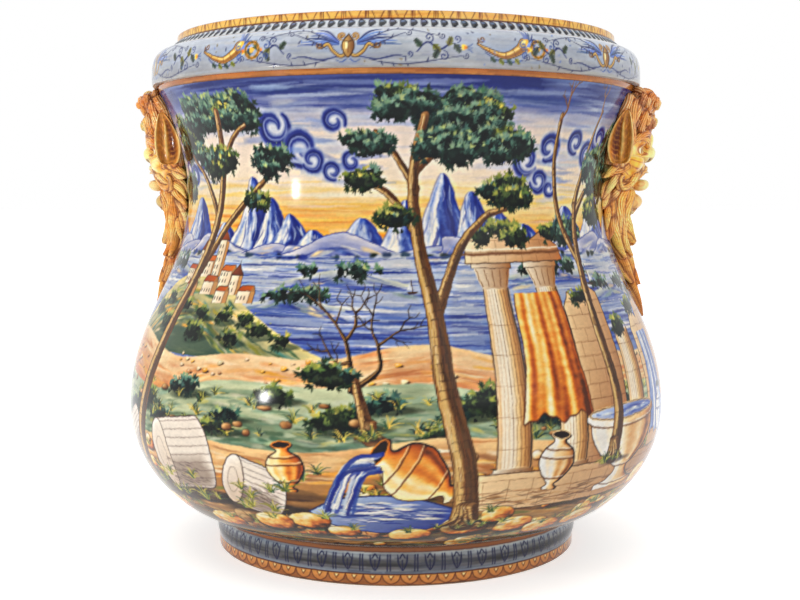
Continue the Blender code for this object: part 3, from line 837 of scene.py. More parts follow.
def sky(c, rng):
    """An evening sky: orange and yellow low down, pale above and dark blue at the top, in level strokes."""
    height_of = np.interp(c.y, wall_run, outer_wall[:, 1] * 1000)
    stops = [
        (225, (240, 196, 128)), (240, (236, 150, 60)), (254, (246, 188, 84)), (268, (247, 216, 142)),
        (282, (246, 230, 200)), (302, (242, 226, 206)), (324, (230, 218, 208)), (333, (184, 186, 208)),
        (340, (92, 106, 172)), (347, (40, 53, 130)), (359, (26, 37, 106)),
    ]
    z = height_of[:, None] + c.noise(190, 40, 3, 3) * 8
    c.img[:] = ramp(z, stops)
    for cell, seed, low, high, fade, tone, amount in (
        (60, 5, 320, 338, (380, 400), DEEP, 0.7),
        (70, 7, 316, 330, (344, 356), PALE, 0.75),
        (56, 21, 300, 316, (330, 342), (160, 172, 208), 0.4),
        (44, 8, 328, 338, (348, 358), (130, 152, 206), 0.4),
        (80, 9, 236, 246, (262, 280), ORANGE, 0.7),
        (50, 12, 246, 256, (276, 296), YELLOW, 0.6),
        (90, 14, 276, 290, (306, 318), (206, 196, 200), 0.5),
    ):
        streak = c.noise(cell, 3.0, seed, 3)
        c.mix(smooth(0.08, 0.42, streak) * smooth(low, high, z) * (1 - smooth(*fade, z)) * amount, tone)
    for _ in range(300):
        x, z = rng.uniform(-HALF_ROUND, HALF_ROUND), 359 - 40 * rng.uniform() ** 1.8
        k = (z - 319) / 40
        tone = mixed(MID, (28, 40, 118), k) if rng.uniform() < 0.66 else mixed(WHITE, (120, 146, 206), k)
        alpha = rng.uniform(0.35, 0.85) * (0.25 + 0.75 * k)
        rx, ry, lean = rng.uniform(16, 70), rng.uniform(0.6, 2.4), rng.normal(0, 0.03)
        c.dab(x, up(z), rx, ry, lean, vary(rng, tone, 0.06), alpha, 0.8)
    for _ in range(260):
        x, z = rng.uniform(-HALF_ROUND, HALF_ROUND), rng.uniform(240, 288)
        tone = (
            pick(rng, YELLOW, AMBER, (240, 160, 70), CREAM) if z < 268 else pick(rng, CREAM, SAND, YELLOW)
        )
        rx, ry, lean = rng.uniform(12, 60), rng.uniform(0.5, 1.6), rng.normal(0, 0.02)
        c.dab(x, up(z), rx, ry, lean, tone, rng.uniform(0.3, 0.75), 0.8)


def ring_cloud(c, rng, x, y, r, hand):
    """A curled cloud: a broad dark ring brushed round, a pale heart and a lit edge."""
    t = np.linspace(0, 1, 36)
    angle = rng.uniform(0, 6.28) + hand * 2 * pi * 1.15 * t
    reach = r * (1 - 0.66 * t**1.3)
    path = np.stack([x + reach * np.cos(angle), y + 0.86 * reach * np.sin(angle)], 1)
    width = r * 0.62 * np.sin(np.pi * np.clip(t * 0.9 + 0.08, 0, 1)) ** 0.7
    c.dab(x, y, r * 0.95, r * 0.8, 0, (206, 214, 234), 0.85, soft=3)
    c.stroke(path, width * 1.25, (96, 118, 186), 0.75, soft=2)
    c.stroke(path, width * 0.86, (40, 54, 142), 0.95, soft=1.0)
    inner = (path - (x, y)) * 0.90 + (x, y)
    c.stroke(inner, width * 0.16, (150, 168, 216), 0.75, soft=0.5)
    outer = (path - (x, y)) * 1.06 + (x, y)
    c.stroke(outer[:24], width[:24] * 0.22, (24, 34, 108), 0.8, soft=0.4)


def clouds(c, rng, x, z, count, r):
    """A row of curled clouds on loose pale strokes."""
    for _ in range(count * 9):
        px, pz = x + rng.normal(0, count * r * 0.75), z + rng.normal(0, r * 0.8)
        rx, ry, lean = rng.uniform(9, 30), rng.uniform(0.7, 2.2), rng.normal(0, 0.06)
        c.dab(px, up(pz), rx, ry, lean, pick(rng, MID, PALE, PALE, (214, 214, 222)), 0.5, 0.8)
    for k in range(count):
        px = x + (k - (count - 1) / 2) * r * 2.0 + rng.normal(0, 2)
        pz = z + (-1) ** k * r * 0.42 + rng.normal(0, 2)
        ring_cloud(c, rng, px, up(pz), r * rng.uniform(0.7, 1.2), rng.choice([-1, 1]))


LEAF_TEAL = tones((170, 188, 122), (118, 152, 128), (70, 108, 96), (32, 54, 48), (18, 28, 28))
LEAF_LIME = tones((204, 196, 96), (146, 156, 74), (88, 110, 58), (42, 58, 38), (22, 30, 24))
LEAF_HIGH, LEAF_WIDE = 96.0, 126.0


def leaf_tile():
    """A repeating patch of small leaves, as light and dark values."""
    tile = Canvas(LEAF_HIGH, LEAF_WIDE, RES, (60, 60, 60))
    rng = np.random.default_rng(61)
    for _ in range(1500):
        x, y, a = rng.uniform(-63, 63), rng.uniform(-3, LEAF_HIGH + 3), rng.normal(pi / 2, 1.0)
        leaves(tile, rng, x, y, a, 3, rng.uniform(2.2, 4.0), (int(rng.uniform(10, 255)),) * 3, 0.95)
    return tile.img[..., 0]


def foliage(c, rng, x, y, rx, ry, stops):
    """A mass of small leaves: lit above, dark beneath, feathered all round."""
    win = c._window(np.array([x - rx, x + rx]), np.array([y - ry, y + ry]), 4)
    if win is None:
        return
    U, V = (win[3] - x) / rx, (win[4] - y) / ry
    r = np.hypot(U, V) + 1e-6
    inside = (1 - r * (1 + 0.16 * local(c.lump, win))) / np.hypot(U / r / rx, V / r / ry)
    rows, columns = c.leaf.shape
    oy, ox = rng.integers(0, rows), rng.integers(0, columns)
    leaf = c.leaf[(np.arange(win[1], win[2]) + oy) % rows][:, (np.arange(len(win[0])) + ox) % columns]
    t = 0.90 - 0.42 * V + 0.06 * U + 0.62 * (0.5 - leaf) + 0.20 * local(c.lump, win) - 0.10 * (r > 0.8)
    paint_tones(c, win, (inside + (leaf - 0.45) * 6.0) / 0.7, t, stops)
    for _ in range(int((rx + ry) * 0.30)):
        a = rng.uniform(0, 2 * pi)
        px, py = x + rx * 0.93 * cos(a), y + ry * 0.93 * sin(a)
        tone = stops[3][1] if sin(a) < 0.2 else pick(rng, stops[1][1], stops[2][1], stops[3][1])
        leaves(c, rng, px, py, a + rng.normal(0, 0.4), 4, 3.4, tone, 0.9)
    for _ in range(int((rx + ry) * 0.12)):
        a, k = rng.normal(pi / 2, 0.75), rng.uniform(0.55, 0.98)
        tone = pick(rng, stops[0][1], stops[1][1], stops[1][1])
        leaves(c, rng, x + rx * k * cos(a), y + ry * k * sin(a), a, 4, 2.9, tone, 0.8, spread=0.9)


def crown(c, rng, x, z, rx, rz, count, glow):
    """A whole crown of leaves from overlapping masses, the lower ones in front."""
    places = [(rng.uniform(-1, 1), rng.uniform(-1, 1)) for _ in range(count * 6)]
    places = [p for p in places if p[0] ** 2 + p[1] ** 2 < 1][:count]
    places.sort(key=lambda p: -p[1])
    foliage(c, rng, x, up(z), rx * 0.86, rz * 0.8, LEAF_TEAL if glow is TEAL else LEAF_LIME)
    for u, v in places:
        stops = LEAF_LIME if rng.uniform() < (0.14 if glow is TEAL else 0.6) else LEAF_TEAL
        wide = rx * rng.uniform(0.30, 0.50)
        foliage(c, rng, x + rx * 0.74 * u, up(z + rz * 0.70 * v), wide, min(wide * 0.62, rz * 0.5), stops)


def painted_tree(c, rng, trunk, wide, thin, branches, pads):
    """A tree: crowns behind, branches, trunk and roots, and crowns in front.

    branches holds (points, width at the fork, width at the tip), and pads holds
    (x, height, half width, half height, tint, whether it lies in front).
    """
    for layer in (0, 1):
        for x, z, rx, rz, glow, front in pads:
            if front == layer:
                crown(c, rng, x, z, rx, rz, max(2, int(rx * rz / 60)), glow)
        if layer == 0:
            for points, w0, w1 in branches:
                limb(c, rng, level(points), w0, w1)
            limb(c, rng, level(trunk), wide, thin)
            roots(c, rng, trunk[0][0], up(trunk[0][1]), wide)


def wavy(z, *waves):
    """A level line round the whole pot with (height, length, phase) waves."""
    x = np.arange(-640, 641, 16)
    return [(a, up(z + sum(h * sin(a / span + p) for h, span, p in waves))) for a in x]


def bank(c, rng, line, lit, dark, deep, colours, count, low, length=14, width=1.8):
    """A piece of land with both ends running out in the water."""
    under(c, line, lit, dark, deep, low=low, texture=0.35, seed=int(rng.integers(1, 999)))
    follow(c, rng, line, deep * 0.9, count, length, width, colours, 0.75)


def sail(c, x, y, size, lean):
    """A small boat under sail."""
    low = y - size * 0.35
    c.fill([(x - size, y), (x + size, y), (x + size * 0.6, low), (x - size * 0.7, low)], UMBER, 0.95)
    cloth = [
        (x, y + size * 0.2), (x + lean * size, y + size * 0.4), (x + lean * size * 0.3, y + size * 1.9)
    ]
    c.fill(cloth, WHITE, 0.95, shade=(0, PALE))
    c.stroke([(x, y), (x + lean * size * 0.1, y + size * 2.0)], 0.6, UMBER, 0.9)


def paint_wall():
    """The whole landscape, from the sky to the foreground."""
    c = Canvas(wall_run[-1], GIRTH, RES, WHITE)
    c.grain = c.noise(6, 3.4, 201, 3)
    c.lump = c.noise(13, 9, 202, 2)
    c.leaf = leaf_tile()
    rng = np.random.default_rng(11)
    sky(c, rng)
    mountains(c, rng)
    lake(c, rng)
    hill_town(c, rng)
    middle_ground(c, rng)
    rocks(c, rng)
    foreground(c, rng)
    finish_paint(c)
    c.img *= np.array(GLAZE_TINT, np.float32)
    return c


CLOUD_ROWS = (
    (-62, 318, 3, 13), (-40, 296, 3, 8), (128, 306, 3, 12), (150, 286, 2, 8), (-206, 296, 3, 9),
    (206, 312, 3, 11), (300, 316, 4, 13), (410, 310, 4, 13), (480, 292, 3, 9), (610, 312, 4, 14),
    (-500, 318, 3, 13), (-430, 306, 4, 12), (-250, 318, 2, 12),
)
# (x, height of the head, reach to the left, reach to the right, haze)
MOUNTAINS = (
    (-250, 262, 52, 60, 0.35), (-196, 276, 44, 50, 0.2), (-150, 258, 34, 40, 0.0), (-116, 290, 30, 34, 0.0),
    (-96, 276, 22, 34, 0.0), (-78, 264, 26, 44, 0.0), (-56, 254, 28, 40, 0.1), (-14, 262, 34, 40, 0.3),
    (22, 274, 30, 34, 0.1), (52, 292, 30, 36, 0.0), (76, 280, 24, 40, 0.0), (100, 266, 30, 44, 0.0),
    (124, 258, 40, 50, 0.15), (176, 270, 44, 50, 0.3), (226, 284, 46, 44, 0.1), (266, 262, 50, 60, 0.1),
    (330, 290, 60, 56, 0.0), (372, 270, 40, 60, 0.0), (440, 282, 60, 60, 0.1), (500, 264, 50, 60, 0.2),
    (556, 292, 60, 56, 0.0), (600, 272, 60, 70, 0.0), (-590, 266, 60, 60, 0.1), (-520, 292, 56, 60, 0.0),
    (-470, 270, 46, 60, 0.1), (-400, 260, 56, 50, 0.2), (-350, 288, 60, 50, 0.0), (-300, 268, 40, 60, 0.1),
)
SHORE = 233


def hill_line(x, half, foot, high, shape):
    """The outline of a hill between two ends at its foot, from shares of its half width and height."""
    return [
        (x - half, foot - 3), *((x + half * u, foot + high * v) for u, v in shape), (x + half, foot - 3)
    ]


def mountains(c, rng):
    """Clouds, blue mountains and the foothills that join them."""
    for x, z, count, r in CLOUD_ROWS:
        clouds(c, rng, x, z, count, r)
    shore = up(SHORE)
    for x, top, left, right, haze in MOUNTAINS:
        massif(c, rng, x, shore - 3, up(top), left, right, haze)
    colours = (COBALT, DEEP, PALE, MID, (84, 112, 190), WHITE, SAND)
    for x in np.arange(-HALF_ROUND, HALF_ROUND, 47):
        w, h, x0, lean = (
            rng.uniform(44, 78), rng.uniform(9, 20), x + rng.normal(0, 12), rng.uniform(-0.4, 0.4)
        )
        line = hill_line(x0, w, shore, h, ((-0.5, 0.35), (lean, 1), (0.6, 0.3)))
        bank(c, rng, line, (214, 214, 226), (48, 70, 164), h * 1.1, colours, 46, shore - 3, 16, 2.0)
        c.stroke(curve(line, 8), 0.8, (52, 70, 156), 0.8)
    for x in np.arange(-620, HALF_ROUND, 30):
        w, h = rng.uniform(26, 44), rng.uniform(3, 7)
        x0 = x + rng.normal(0, 8)
        line = hill_line(x0, w, shore, h, ((-0.4, 0.6), (0, 1), (0.5, 0.5)))
        bank(
            c, rng, line, (196, 204, 214), COBALT, 9, (COBALT, DEEP, PALE, SAND, MID, WHITE), 26, shore - 3
        )
        for _ in range(3):
            px = x0 + rng.uniform(-0.5, 0.5) * w
            rx, ry = rng.uniform(2, 4), rng.uniform(1.2, 2.4)
            c.dab(px, shore + h * 0.7, rx, ry, 0.1, pick(rng, DEEP, (44, 66, 96), PINE), 0.85, soft=0.8)


# (x, height, half width, rise)
HEADLANDS = (
    (-222, 222, 46, 7), (-30, 219, 54, 8), (-66, 202, 44, 9), (150, 222, 60, 6), (226, 206, 56, 9),
    (350, 214, 70, 8), (470, 204, 60, 9), (580, 218, 70, 7), (-560, 206, 70, 9), (-450, 216, 60, 7),
    (-330, 206, 60, 9),
)
# (x, height, size, side that the sail leans to)
SAILS = (
    (-122, 208, 5, 1), (26, 213, 4, -1), (190, 215, 5, 1), (-390, 214, 5, 1), (420, 220, 5, -1),
    (-610, 220, 4, 1),
)


def lake(c, rng):
    """The lake with its headlands, what they throw on the water, and small boats."""
    line = [(x, up(SHORE) + 1.2 * sin(x / 31) + 0.8 * sin(x / 12)) for x in range(-640, 641, 10)]
    under(c, line, (196, 204, 216), (104, 126, 186), 74, texture=0.25, seed=17)
    water(c, rng, 0, up(203), 2 * HALF_ROUND, up(234) - up(168), 1300, 0.42)
    for _ in range(900):
        px, pz = rng.uniform(-HALF_ROUND, HALF_ROUND), rng.uniform(172, 232)
        near = (232 - pz) / 60
        dark = rng.uniform() < 0.25 + 0.6 * near
        tone = (
            pick(rng, DEEP, (30, 42, 126), COBALT) if dark else pick(rng, MID, (226, 230, 236), WHITE, PALE)
        )
        rx, ry, lean = rng.uniform(8, 26) * (0.6 + near), rng.uniform(0.4, 1.2), rng.normal(0, 0.015)
        c.dab(px, up(pz), rx, ry, lean, tone, rng.uniform(0.5, 0.9), 0.3)
    for x, z, w, h in HEADLANDS:
        line = level(
            [
                (x - w, z - 1), (x - w * 0.55, z + h * 0.35), (x - w * 0.1, z + h),
                (x + w * 0.4, z + h * 0.6), (x + w, z - 1),
            ]
        )
        bank(
            c, rng, line, (206, 212, 200), (58, 82, 160), 11, (COBALT, DEEP, (120, 146, 150), PALE, SAND),
            40, up(z - 2),
        )
        for _ in range(9):
            px = x + rng.uniform(-0.6, 0.6) * w
            py = up(z + h * 0.8 + rng.uniform(0, 3))
            foliage(c, rng, px, py, rng.uniform(3, 7), rng.uniform(3, 6), LEAF_TEAL)
        water(c, rng, x, up(z - 4), w * 1.6, 5, 26, 0.8)
    for x, z, size, lean in SAILS:
        sail(c, x, up(z), size, lean)


# (x, height, width, height of the wall, roof, whether it is a tower)
TOWN = (
    (-192, 214, 11, 11, RUST, False), (-179, 217, 8, 22, BRICK, True),
    (-168, 219, 13, 12, (200, 104, 50), False), (-153, 219, 9, 28, RUST, True),
    (-141, 214, 13, 11, (204, 112, 54), False), (-127, 208, 9, 15, BRICK, True),
    (-115, 203, 12, 9, RUST, False), (-185, 205, 12, 9, (196, 104, 50), False),
    (-160, 207, 14, 10, RUST, False), (-140, 202, 11, 9, (190, 96, 46), False),
)
TOWN_BUSHES = (
    (-222, 196, 9), (-204, 204, 8), (-172, 199, 8), (-148, 195, 9), (-122, 194, 8), (-100, 193, 8),
    (-86, 186, 9), (-66, 180, 8), (-196, 186, 10), (-150, 182, 11), (-110, 180, 9),
)


def hill_town(c, rng):
    """A hill by the lake, with a town and bushes on it."""
    hill = level(
        [
            (-268, 170), (-240, 192), (-207, 214), (-168, 222), (-130, 214), (-96, 197), (-60, 180),
            (-30, 168),
        ]
    )
    colours = (OLIVE, LEAF, AMBER, LIME, TEAL, SAND, (70, 92, 60))
    bank(c, rng, hill, (238, 220, 150), (74, 96, 76), 46, colours, 330, up(166), 15, 1.8)
    for x, z, w, h, roof, tower in TOWN:
        house(c, x, up(z), w, h, roof, tower)
    for x, z, r in TOWN_BUSHES:
        c.dab(x + 4, up(z - 4), r * 1.3, r * 0.4, 0, (46, 66, 52), 0.7, soft=1)
        foliage(c, rng, x, up(z), r, r * 0.6, LEAF_LIME)


SHORE_STROKES = SAND, AMBER, (236, 168, 96), (214, 140, 84), (196, 120, 70), (248, 226, 186)
MEADOW_STROKES = (
    (104, 136, 112), LEAF, (166, 186, 156), (128, 154, 122), LIME, (72, 96, 72), (206, 210, 180),
    (150, 176, 150),
)
PATH_STROKES = SAND, AMBER, CREAM, (214, 150, 88), (176, 112, 64), (150, 100, 60)
GROUND_STROKES = UMBER, BROWN, (176, 124, 70), OLIVE, (206, 160, 96), INK, (96, 84, 50), (132, 92, 54)


def middle_ground(c, rng):
    """The sandy shore, the meadow with its bushes, the path and the brown ground before it."""
    line = wavy(171, (5, 47, 1), (3.4, 21, 0))
    under(c, line, (244, 214, 164), (206, 132, 76), 30, texture=0.5, seed=23)
    follow(c, rng, line, 32, 900, 20, 2.0, SHORE_STROKES, 0.7)
    for x, y in scattered(rng, 230, 146, 168):
        pebble(c, rng, x, y, rng.uniform(1.1, 2.6))
    line = wavy(148, (6, 60, 2), (3, 23, 0))
    under(c, line, (196, 206, 166), (88, 112, 84), 46, texture=0.6, seed=25)
    follow(c, rng, line, 46, 1900, 13, 2.2, MEADOW_STROKES, 0.7)
    bushes = 46
    for k in range(bushes):
        x, z = -HALF_ROUND + 2 * HALF_ROUND / bushes * k + rng.normal(0, 8), rng.uniform(116, 146)
        rx = rng.uniform(8, 18)
        c.dab(x + rx * 0.4, up(z) - rx * 0.35, rx * 1.5, rx * 0.3, 0, (44, 54, 38), 0.75, soft=1.5)
        stops = LEAF_TEAL if rng.uniform() < 0.5 else LEAF_LIME
        foliage(c, rng, x, up(z), rx, rx * rng.uniform(0.45, 0.65), stops)
        foliage(c, rng, x - rx * 0.7, up(z) - rx * 0.15, rx * 0.6, rx * 0.32, stops)
    for x, y in scattered(rng, 150, 112, 146):
        tuft(c, rng, x, y, rng.uniform(6, 11), (OLIVE, LEAF, PINE, LIME, YELLOW), 9)
    for x, y in scattered(rng, 40, 114, 142):
        dome(c, x, y, rng.uniform(2, 5), rng.uniform(1.2, 2.6), EARTH_TONES)
    line = wavy(112, (5, 70, 0.5), (3, 27, 0))
    under(c, line, (240, 202, 142), (176, 110, 58), 30, texture=0.5, seed=27)
    follow(c, rng, line, 34, 800, 20, 2.0, PATH_STROKES, 0.7)
    line = wavy(86, (5, 52, 1.5), (3, 19, 0))
    under(c, line, (180, 128, 70), (74, 50, 32), 36, texture=0.7, seed=31)
    follow(c, rng, line, 50, 1500, 15, 2.2, GROUND_STROKES, 0.75)
    for x, y in scattered(rng, 170, 62, 108):
        rx, ry = rng.uniform(2.5, 8), rng.uniform(1.6, 5)
        dome(c, x, y, rx, ry, ROCK_TONES if rng.uniform() < 0.6 else STONE_TONES, rough=0.3)
    for x, y in scattered(rng, 170, 58, 98):
        tuft(c, rng, x, y, rng.uniform(6, 12), (OLIVE, LIME, AMBER, LEAF, PINE), 11)


# (offset across, offset up, half width, half height) of an outcrop's rocks, in shares of its width
OUTCROP = (
    (0.55, -0.10, 0.42, 0.30), (-0.50, -0.14, 0.36, 0.26), (0.05, 0.0, 0.50, 0.34),
    (-0.15, -0.34, 0.55, 0.22),
)


def outcrop(c, rng, x, z, w, stops):
    """A group of squarish rocks: lit tops, a dark hollow on the right side, grass growing over."""
    for k, (dx, dz, rx, rz) in enumerate(OUTCROP):
        px, py = x + w * dx * 0.8, up(z) + w * dz
        c.dab(
            px + w * rx * 0.55, py - w * rz * 0.4, w * rx * 0.75, w * rz * 0.8, -0.2, (38, 28, 24), 0.85,
            soft=1.5,
        )
        dome(
            c, px, py, w * rx, w * rz, stops, power=2.8, rough=0.34, turn=rng.normal(0, 0.1), flat=0.04 * k
        )
        for _ in range(int(w * rx * 0.8)):
            u, v = rng.uniform(-0.5, 0.7), rng.uniform(-0.8, 0.5)
            sx, sy, reach = px + w * rx * u, py + w * rz * v, w * rz * rng.uniform(0.15, 0.4)
            tone = pick(rng, *((UMBER, RUST, BROWN, INK) if u > -0.1 else (stop[1] for stop in stops[1:4])))
            c.dab(sx, sy, reach, rng.uniform(0.25, 0.6), rng.normal(-1.3, 0.25), tone, 0.75)
    for _ in range(3):
        px, py = x + rng.uniform(-0.6, 0.6) * w, up(z) + w * rng.uniform(-0.3, 0.1)
        tuft(c, rng, px, py, rng.uniform(8, 13), (OLIVE, LIME, LEAF, MOSS), 12)


BANK_STROKES = (
    UMBER, (150, 104, 56), (214, 160, 84), (96, 98, 50), (176, 124, 64), (120, 84, 48), (62, 48, 34)
)
EDGE_STROKES = (84, 104, 66), (56, 84, 74), OLIVE, (52, 50, 38), TEAL, (150, 104, 50), (196, 140, 66), INK


def rocks(c, rng):
    """The bank along the picture's foot: ochre earth, lit orange outcrops, dark hollows, moss and grass."""
    line = wavy(64, (4, 33, 0))
    under(c, line, (196, 150, 88), (84, 62, 38), 30, texture=0.9, seed=61)
    follow(c, rng, line, 46, 1700, 20, 2.6, BANK_STROKES, 0.7)
    for x in np.arange(-HALF_ROUND, HALF_ROUND, 44):
        px, z, w = x + rng.normal(0, 9), rng.uniform(36, 60), rng.uniform(16, 32)
        stops = ROCK_TONES if rng.uniform() < 0.6 else (EARTH_TONES if rng.uniform() < 0.6 else STONE_TONES)
        outcrop(c, rng, px, z, w, stops)
    for x, y in scattered(rng, 60, 32, 66):
        rx, ry = rng.uniform(3, 8), rng.uniform(2, 5)
        dome(c, x, y, rx, ry, ROCK_TONES if rng.uniform() < 0.5 else EARTH_TONES, rough=0.3)
    for x, y in scattered(rng, 90, 32, 62):
        tuft(c, rng, x, y, rng.uniform(7, 12), (OLIVE, LIME, LEAF, MOSS), 9)
    for x, y in scattered(rng, 420, 29, 44):
        tone = pick(rng, *EDGE_STROKES)
        c.dab(x, y, rng.uniform(6, 20), rng.uniform(0.6, 1.8), rng.normal(0, 0.08), tone, 0.65, 0.6)


def turned(c, x, y, profile, stops, lean=0.0, ribs=(0, 0), rings=()):
    """A turned thing in tones, from (half width, height) pairs in mm; ribs are drawn between two heights."""
    side = curve(profile, 6)
    high, wide = side[:, 1].max(), side[:, 0].max()
    ca, sa = cos(lean), sin(lean)
    put = placer(x, y, lean)
    reach = put([(-wide, 0), (wide, 0), (-wide, high), (wide, high)])
    win = c._window(reach[:, 0], reach[:, 1], 2)
    X, Y = win[3] - x, win[4] - y
    a, b = X * ca + Y * sa, -X * sa + Y * ca
    half = np.interp(b, side[:, 1], side[:, 0], left=-9, right=-9)
    U = np.clip(a / np.maximum(half, 0.5), -1, 1)
    rib = 0.16 * np.sin(9 * np.arcsin(U)) * ((b > ribs[0]) & (b < ribs[1]))
    lit = 0.25 * bell(U + 0.42, 0.22)
    t = 0.40 + 0.42 * U * np.abs(U) + 0.12 * U - lit + rib + 0.12 * local(c.grain, win)
    paint_tones(c, win, (half - np.abs(a)) / 0.6 + 0.5, t, stops)
    for z in rings:
        half_z = np.interp(z, side[:, 1], side[:, 0])
        arc = np.array(
            [(half_z * sin(v), z - 0.12 * half_z * cos(v)) for v in np.linspace(-pi / 2, pi / 2, 9)]
        )
        c.stroke(put(arc), 1.0, stops[-1][1], 0.8)
        c.stroke(put(arc + (0, 1.3)), 0.8, stops[0][1], 0.6)
    c.stroke(put(side * (-1, 1)), 0.8, UMBER, 0.9)
    c.stroke(put(side), 1.2, INK, 0.9)
    return put


def fountain(c, rng, x, z, r, h):
    """A wide stone basin on a moulded foot."""
    y = up(z)
    foot = ((0.62, 0), (0.62, 4), (0.40, 6), (0.22, 12), (0.20, 17), (0.34, 20))
    bowl = ((0.72, 0.52), (0.94, 0.74), (0.97, 0.88), (1.06, 0.93), (1.06, 1))
    profile = [(r * u, v) for u, v in foot] + [(r * u, h * v) for u, v in bowl]
    turned(c, x, y, profile, STONE_TONES, ribs=(20, h * 0.86), rings=(5, 18, h * 0.90))
    t = np.linspace(0, 2 * pi, 30)
    pool = np.stack([x + r * 1.0 * np.cos(t), y + h + r * 0.12 * np.sin(t)], 1)
    c.fill(pool, (206, 218, 238), 1.0, shade=(-40, COBALT))
    c.stroke(pool, 1.6, (240, 212, 164), 0.95)
    c.stroke(pool, 0.6, UMBER, 0.8)
    for _ in range(40):
        a, k = rng.uniform(0, 6.28), rng.uniform(0, 0.85)
        px, py = x + r * 0.9 * k * cos(a), y + h + r * 0.10 * k * sin(a)
        c.dab(
            px, py, rng.uniform(3, 9), rng.uniform(0.3, 0.6), 0, pick(rng, COBALT, DEEP, WHITE, PALE), 0.8
        )


def drapery(c, x0, x1, top, low, stops, seed):
    """A hanging cloth: gathered at its top, falling in full folds to a waved hem."""
    win = c._window(np.array([x0, x1]), np.array([low - 6, top]), 4)
    X, Y = win[3], win[4]
    s = np.clip((top - Y) / (top - low), 0, 1.2)
    centre, half = (x0 + x1) / 2, (x1 - x0) / 2
    U = (X - centre) / (half * (0.74 + 0.26 * s) * (1 + 0.05 * np.sin(7 * s + seed)))
    hem = 1 + 0.03 * np.sin(6 * U + seed) + 0.012 * np.sin(17 * U)
    folds = np.sin(8.5 * U + 0.9 * np.sin(2.4 * s + seed) + seed) * (0.5 + 0.5 * s)
    folds = folds + 0.45 * np.sin(19 * U + 1.7 * s + 2 * seed)
    t = 0.46 + 0.30 * folds + 0.22 * U + 0.14 * local(c.grain, win) + 0.15 * (s - 0.5)
    to_side, to_hem = (1 - np.abs(U)) * half, (hem - s) * (top - low)
    cover = np.clip(to_side / 0.7, 0, 1) * np.clip(to_hem / 0.8, 0, 1) * (Y < top + 1)
    paint_tones(c, win, cover, t, stops)
    edge = bell(to_side, 0.6) * (s < hem) * (Y < top) + bell(to_hem, 0.7) * (np.abs(U) < 1)
    c._lay(win, edge, stops[-1][1], 0.9)


JAR_PROFILE = (
    (0.36, 0), (0.44, 0.04), (0.22, 0.11), (0.60, 0.24), (0.98, 0.46), (1.0, 0.6), (0.84, 0.74),
    (0.40, 0.85), (0.34, 0.91), (0.56, 0.97), (0.52, 1.0),
)


def jar(c, x, z, r, h, stops, lean=0.0):
    """An urn, standing or fallen."""
    profile, rings = [(k * r, t * h) for k, t in JAR_PROFILE], (0.24 * h, 0.62 * h, 0.76 * h)
    put = turned(c, x, up(z), profile, stops, lean, (0.2 * h, 0.58 * h), rings)
    t = np.linspace(0, 2 * pi, 18)
    mouth = np.stack([0.52 * r * np.cos(t), h + 0.07 * h * np.sin(t)], 1)
    c.fill(put(mouth), (44, 30, 26), 1.0)
    c.stroke(put(mouth), 0.9, stops[2][1], 0.9)


STONES = (
    (-48, 58, 15, 8), (-24, 50, 12, 6), (24, 48, 16, 7), (64, 54, 18, 10), (86, 62, 13, 8),
    (-78, 54, 16, 9), (104, 52, 16, 9), (134, 46, 18, 9), (-128, 48, 18, 9), (-196, 50, 20, 10),
    (172, 48, 18, 9), (224, 50, 20, 10),
)
# trunk, its width at the foot and at the top, branches and pads, as painted_tree takes them
TREES = (
    (
        [(-212, 66), (-204, 110), (-190, 160), (-178, 210), (-162, 260), (-152, 300), (-146, 336)], 15, 5.5,
        [
            ([(-178, 212), (-152, 250), (-120, 276), (-96, 292)], 7, 3),
            ([(-162, 262), (-184, 290), (-206, 306)], 5.5, 2.4),
            ([(-152, 300), (-132, 318), (-116, 326)], 4.5, 2.2),
        ],
        [
            (-206, 318, 34, 20, TEAL, 0), (-168, 336, 36, 16, TEAL, 0), (-124, 336, 30, 16, TEAL, 0),
            (-92, 302, 22, 13, TEAL, 1), (-158, 302, 34, 13, LIME, 1), (-226, 284, 22, 15, TEAL, 1),
            (-114, 274, 17, 9, OLIVE, 1),
        ],
    ),
    (
        [(62, 58), (57, 100), (46, 150), (41, 200), (31, 250), (28, 290), (36, 330)], 16, 6,
        [
            ([(43, 200), (64, 240), (88, 262), (108, 268)], 7.5, 3),
            ([(31, 250), (10, 276), (-14, 288)], 6, 2.6),
            ([(28, 292), (50, 310), (70, 318)], 5.5, 2.6),
            ([(30, 282), (12, 306), (-2, 320)], 5, 2.4),
        ],
        [
            (66, 332, 40, 18, TEAL, 0), (22, 338, 30, 14, TEAL, 0), (-6, 312, 22, 11, TEAL, 1),
            (-14, 288, 20, 10, OLIVE, 1), (58, 312, 32, 15, TEAL, 1), (104, 312, 32, 17, TEAL, 0),
            (112, 280, 26, 16, LIME, 1), (14, 262, 20, 10, OLIVE, 1),
        ],
    ),
    (
        [(176, 96), (181, 130), (177, 180), (184, 230), (192, 270)], 11, 5,
        [
            ([(184, 230), (168, 262), (160, 300), (158, 334)], 6, 2.6),
            ([(192, 270), (206, 300), (216, 338)], 5.5, 2.4),
            ([(190, 262), (212, 280), (236, 286)], 5, 2.2),
        ],
        [
            (176, 252, 22, 13, TEAL, 0), (240, 294, 36, 20, TEAL, 1), (270, 316, 34, 18, TEAL, 0),
            (226, 264, 22, 12, OLIVE, 1),
        ],
    ),
)


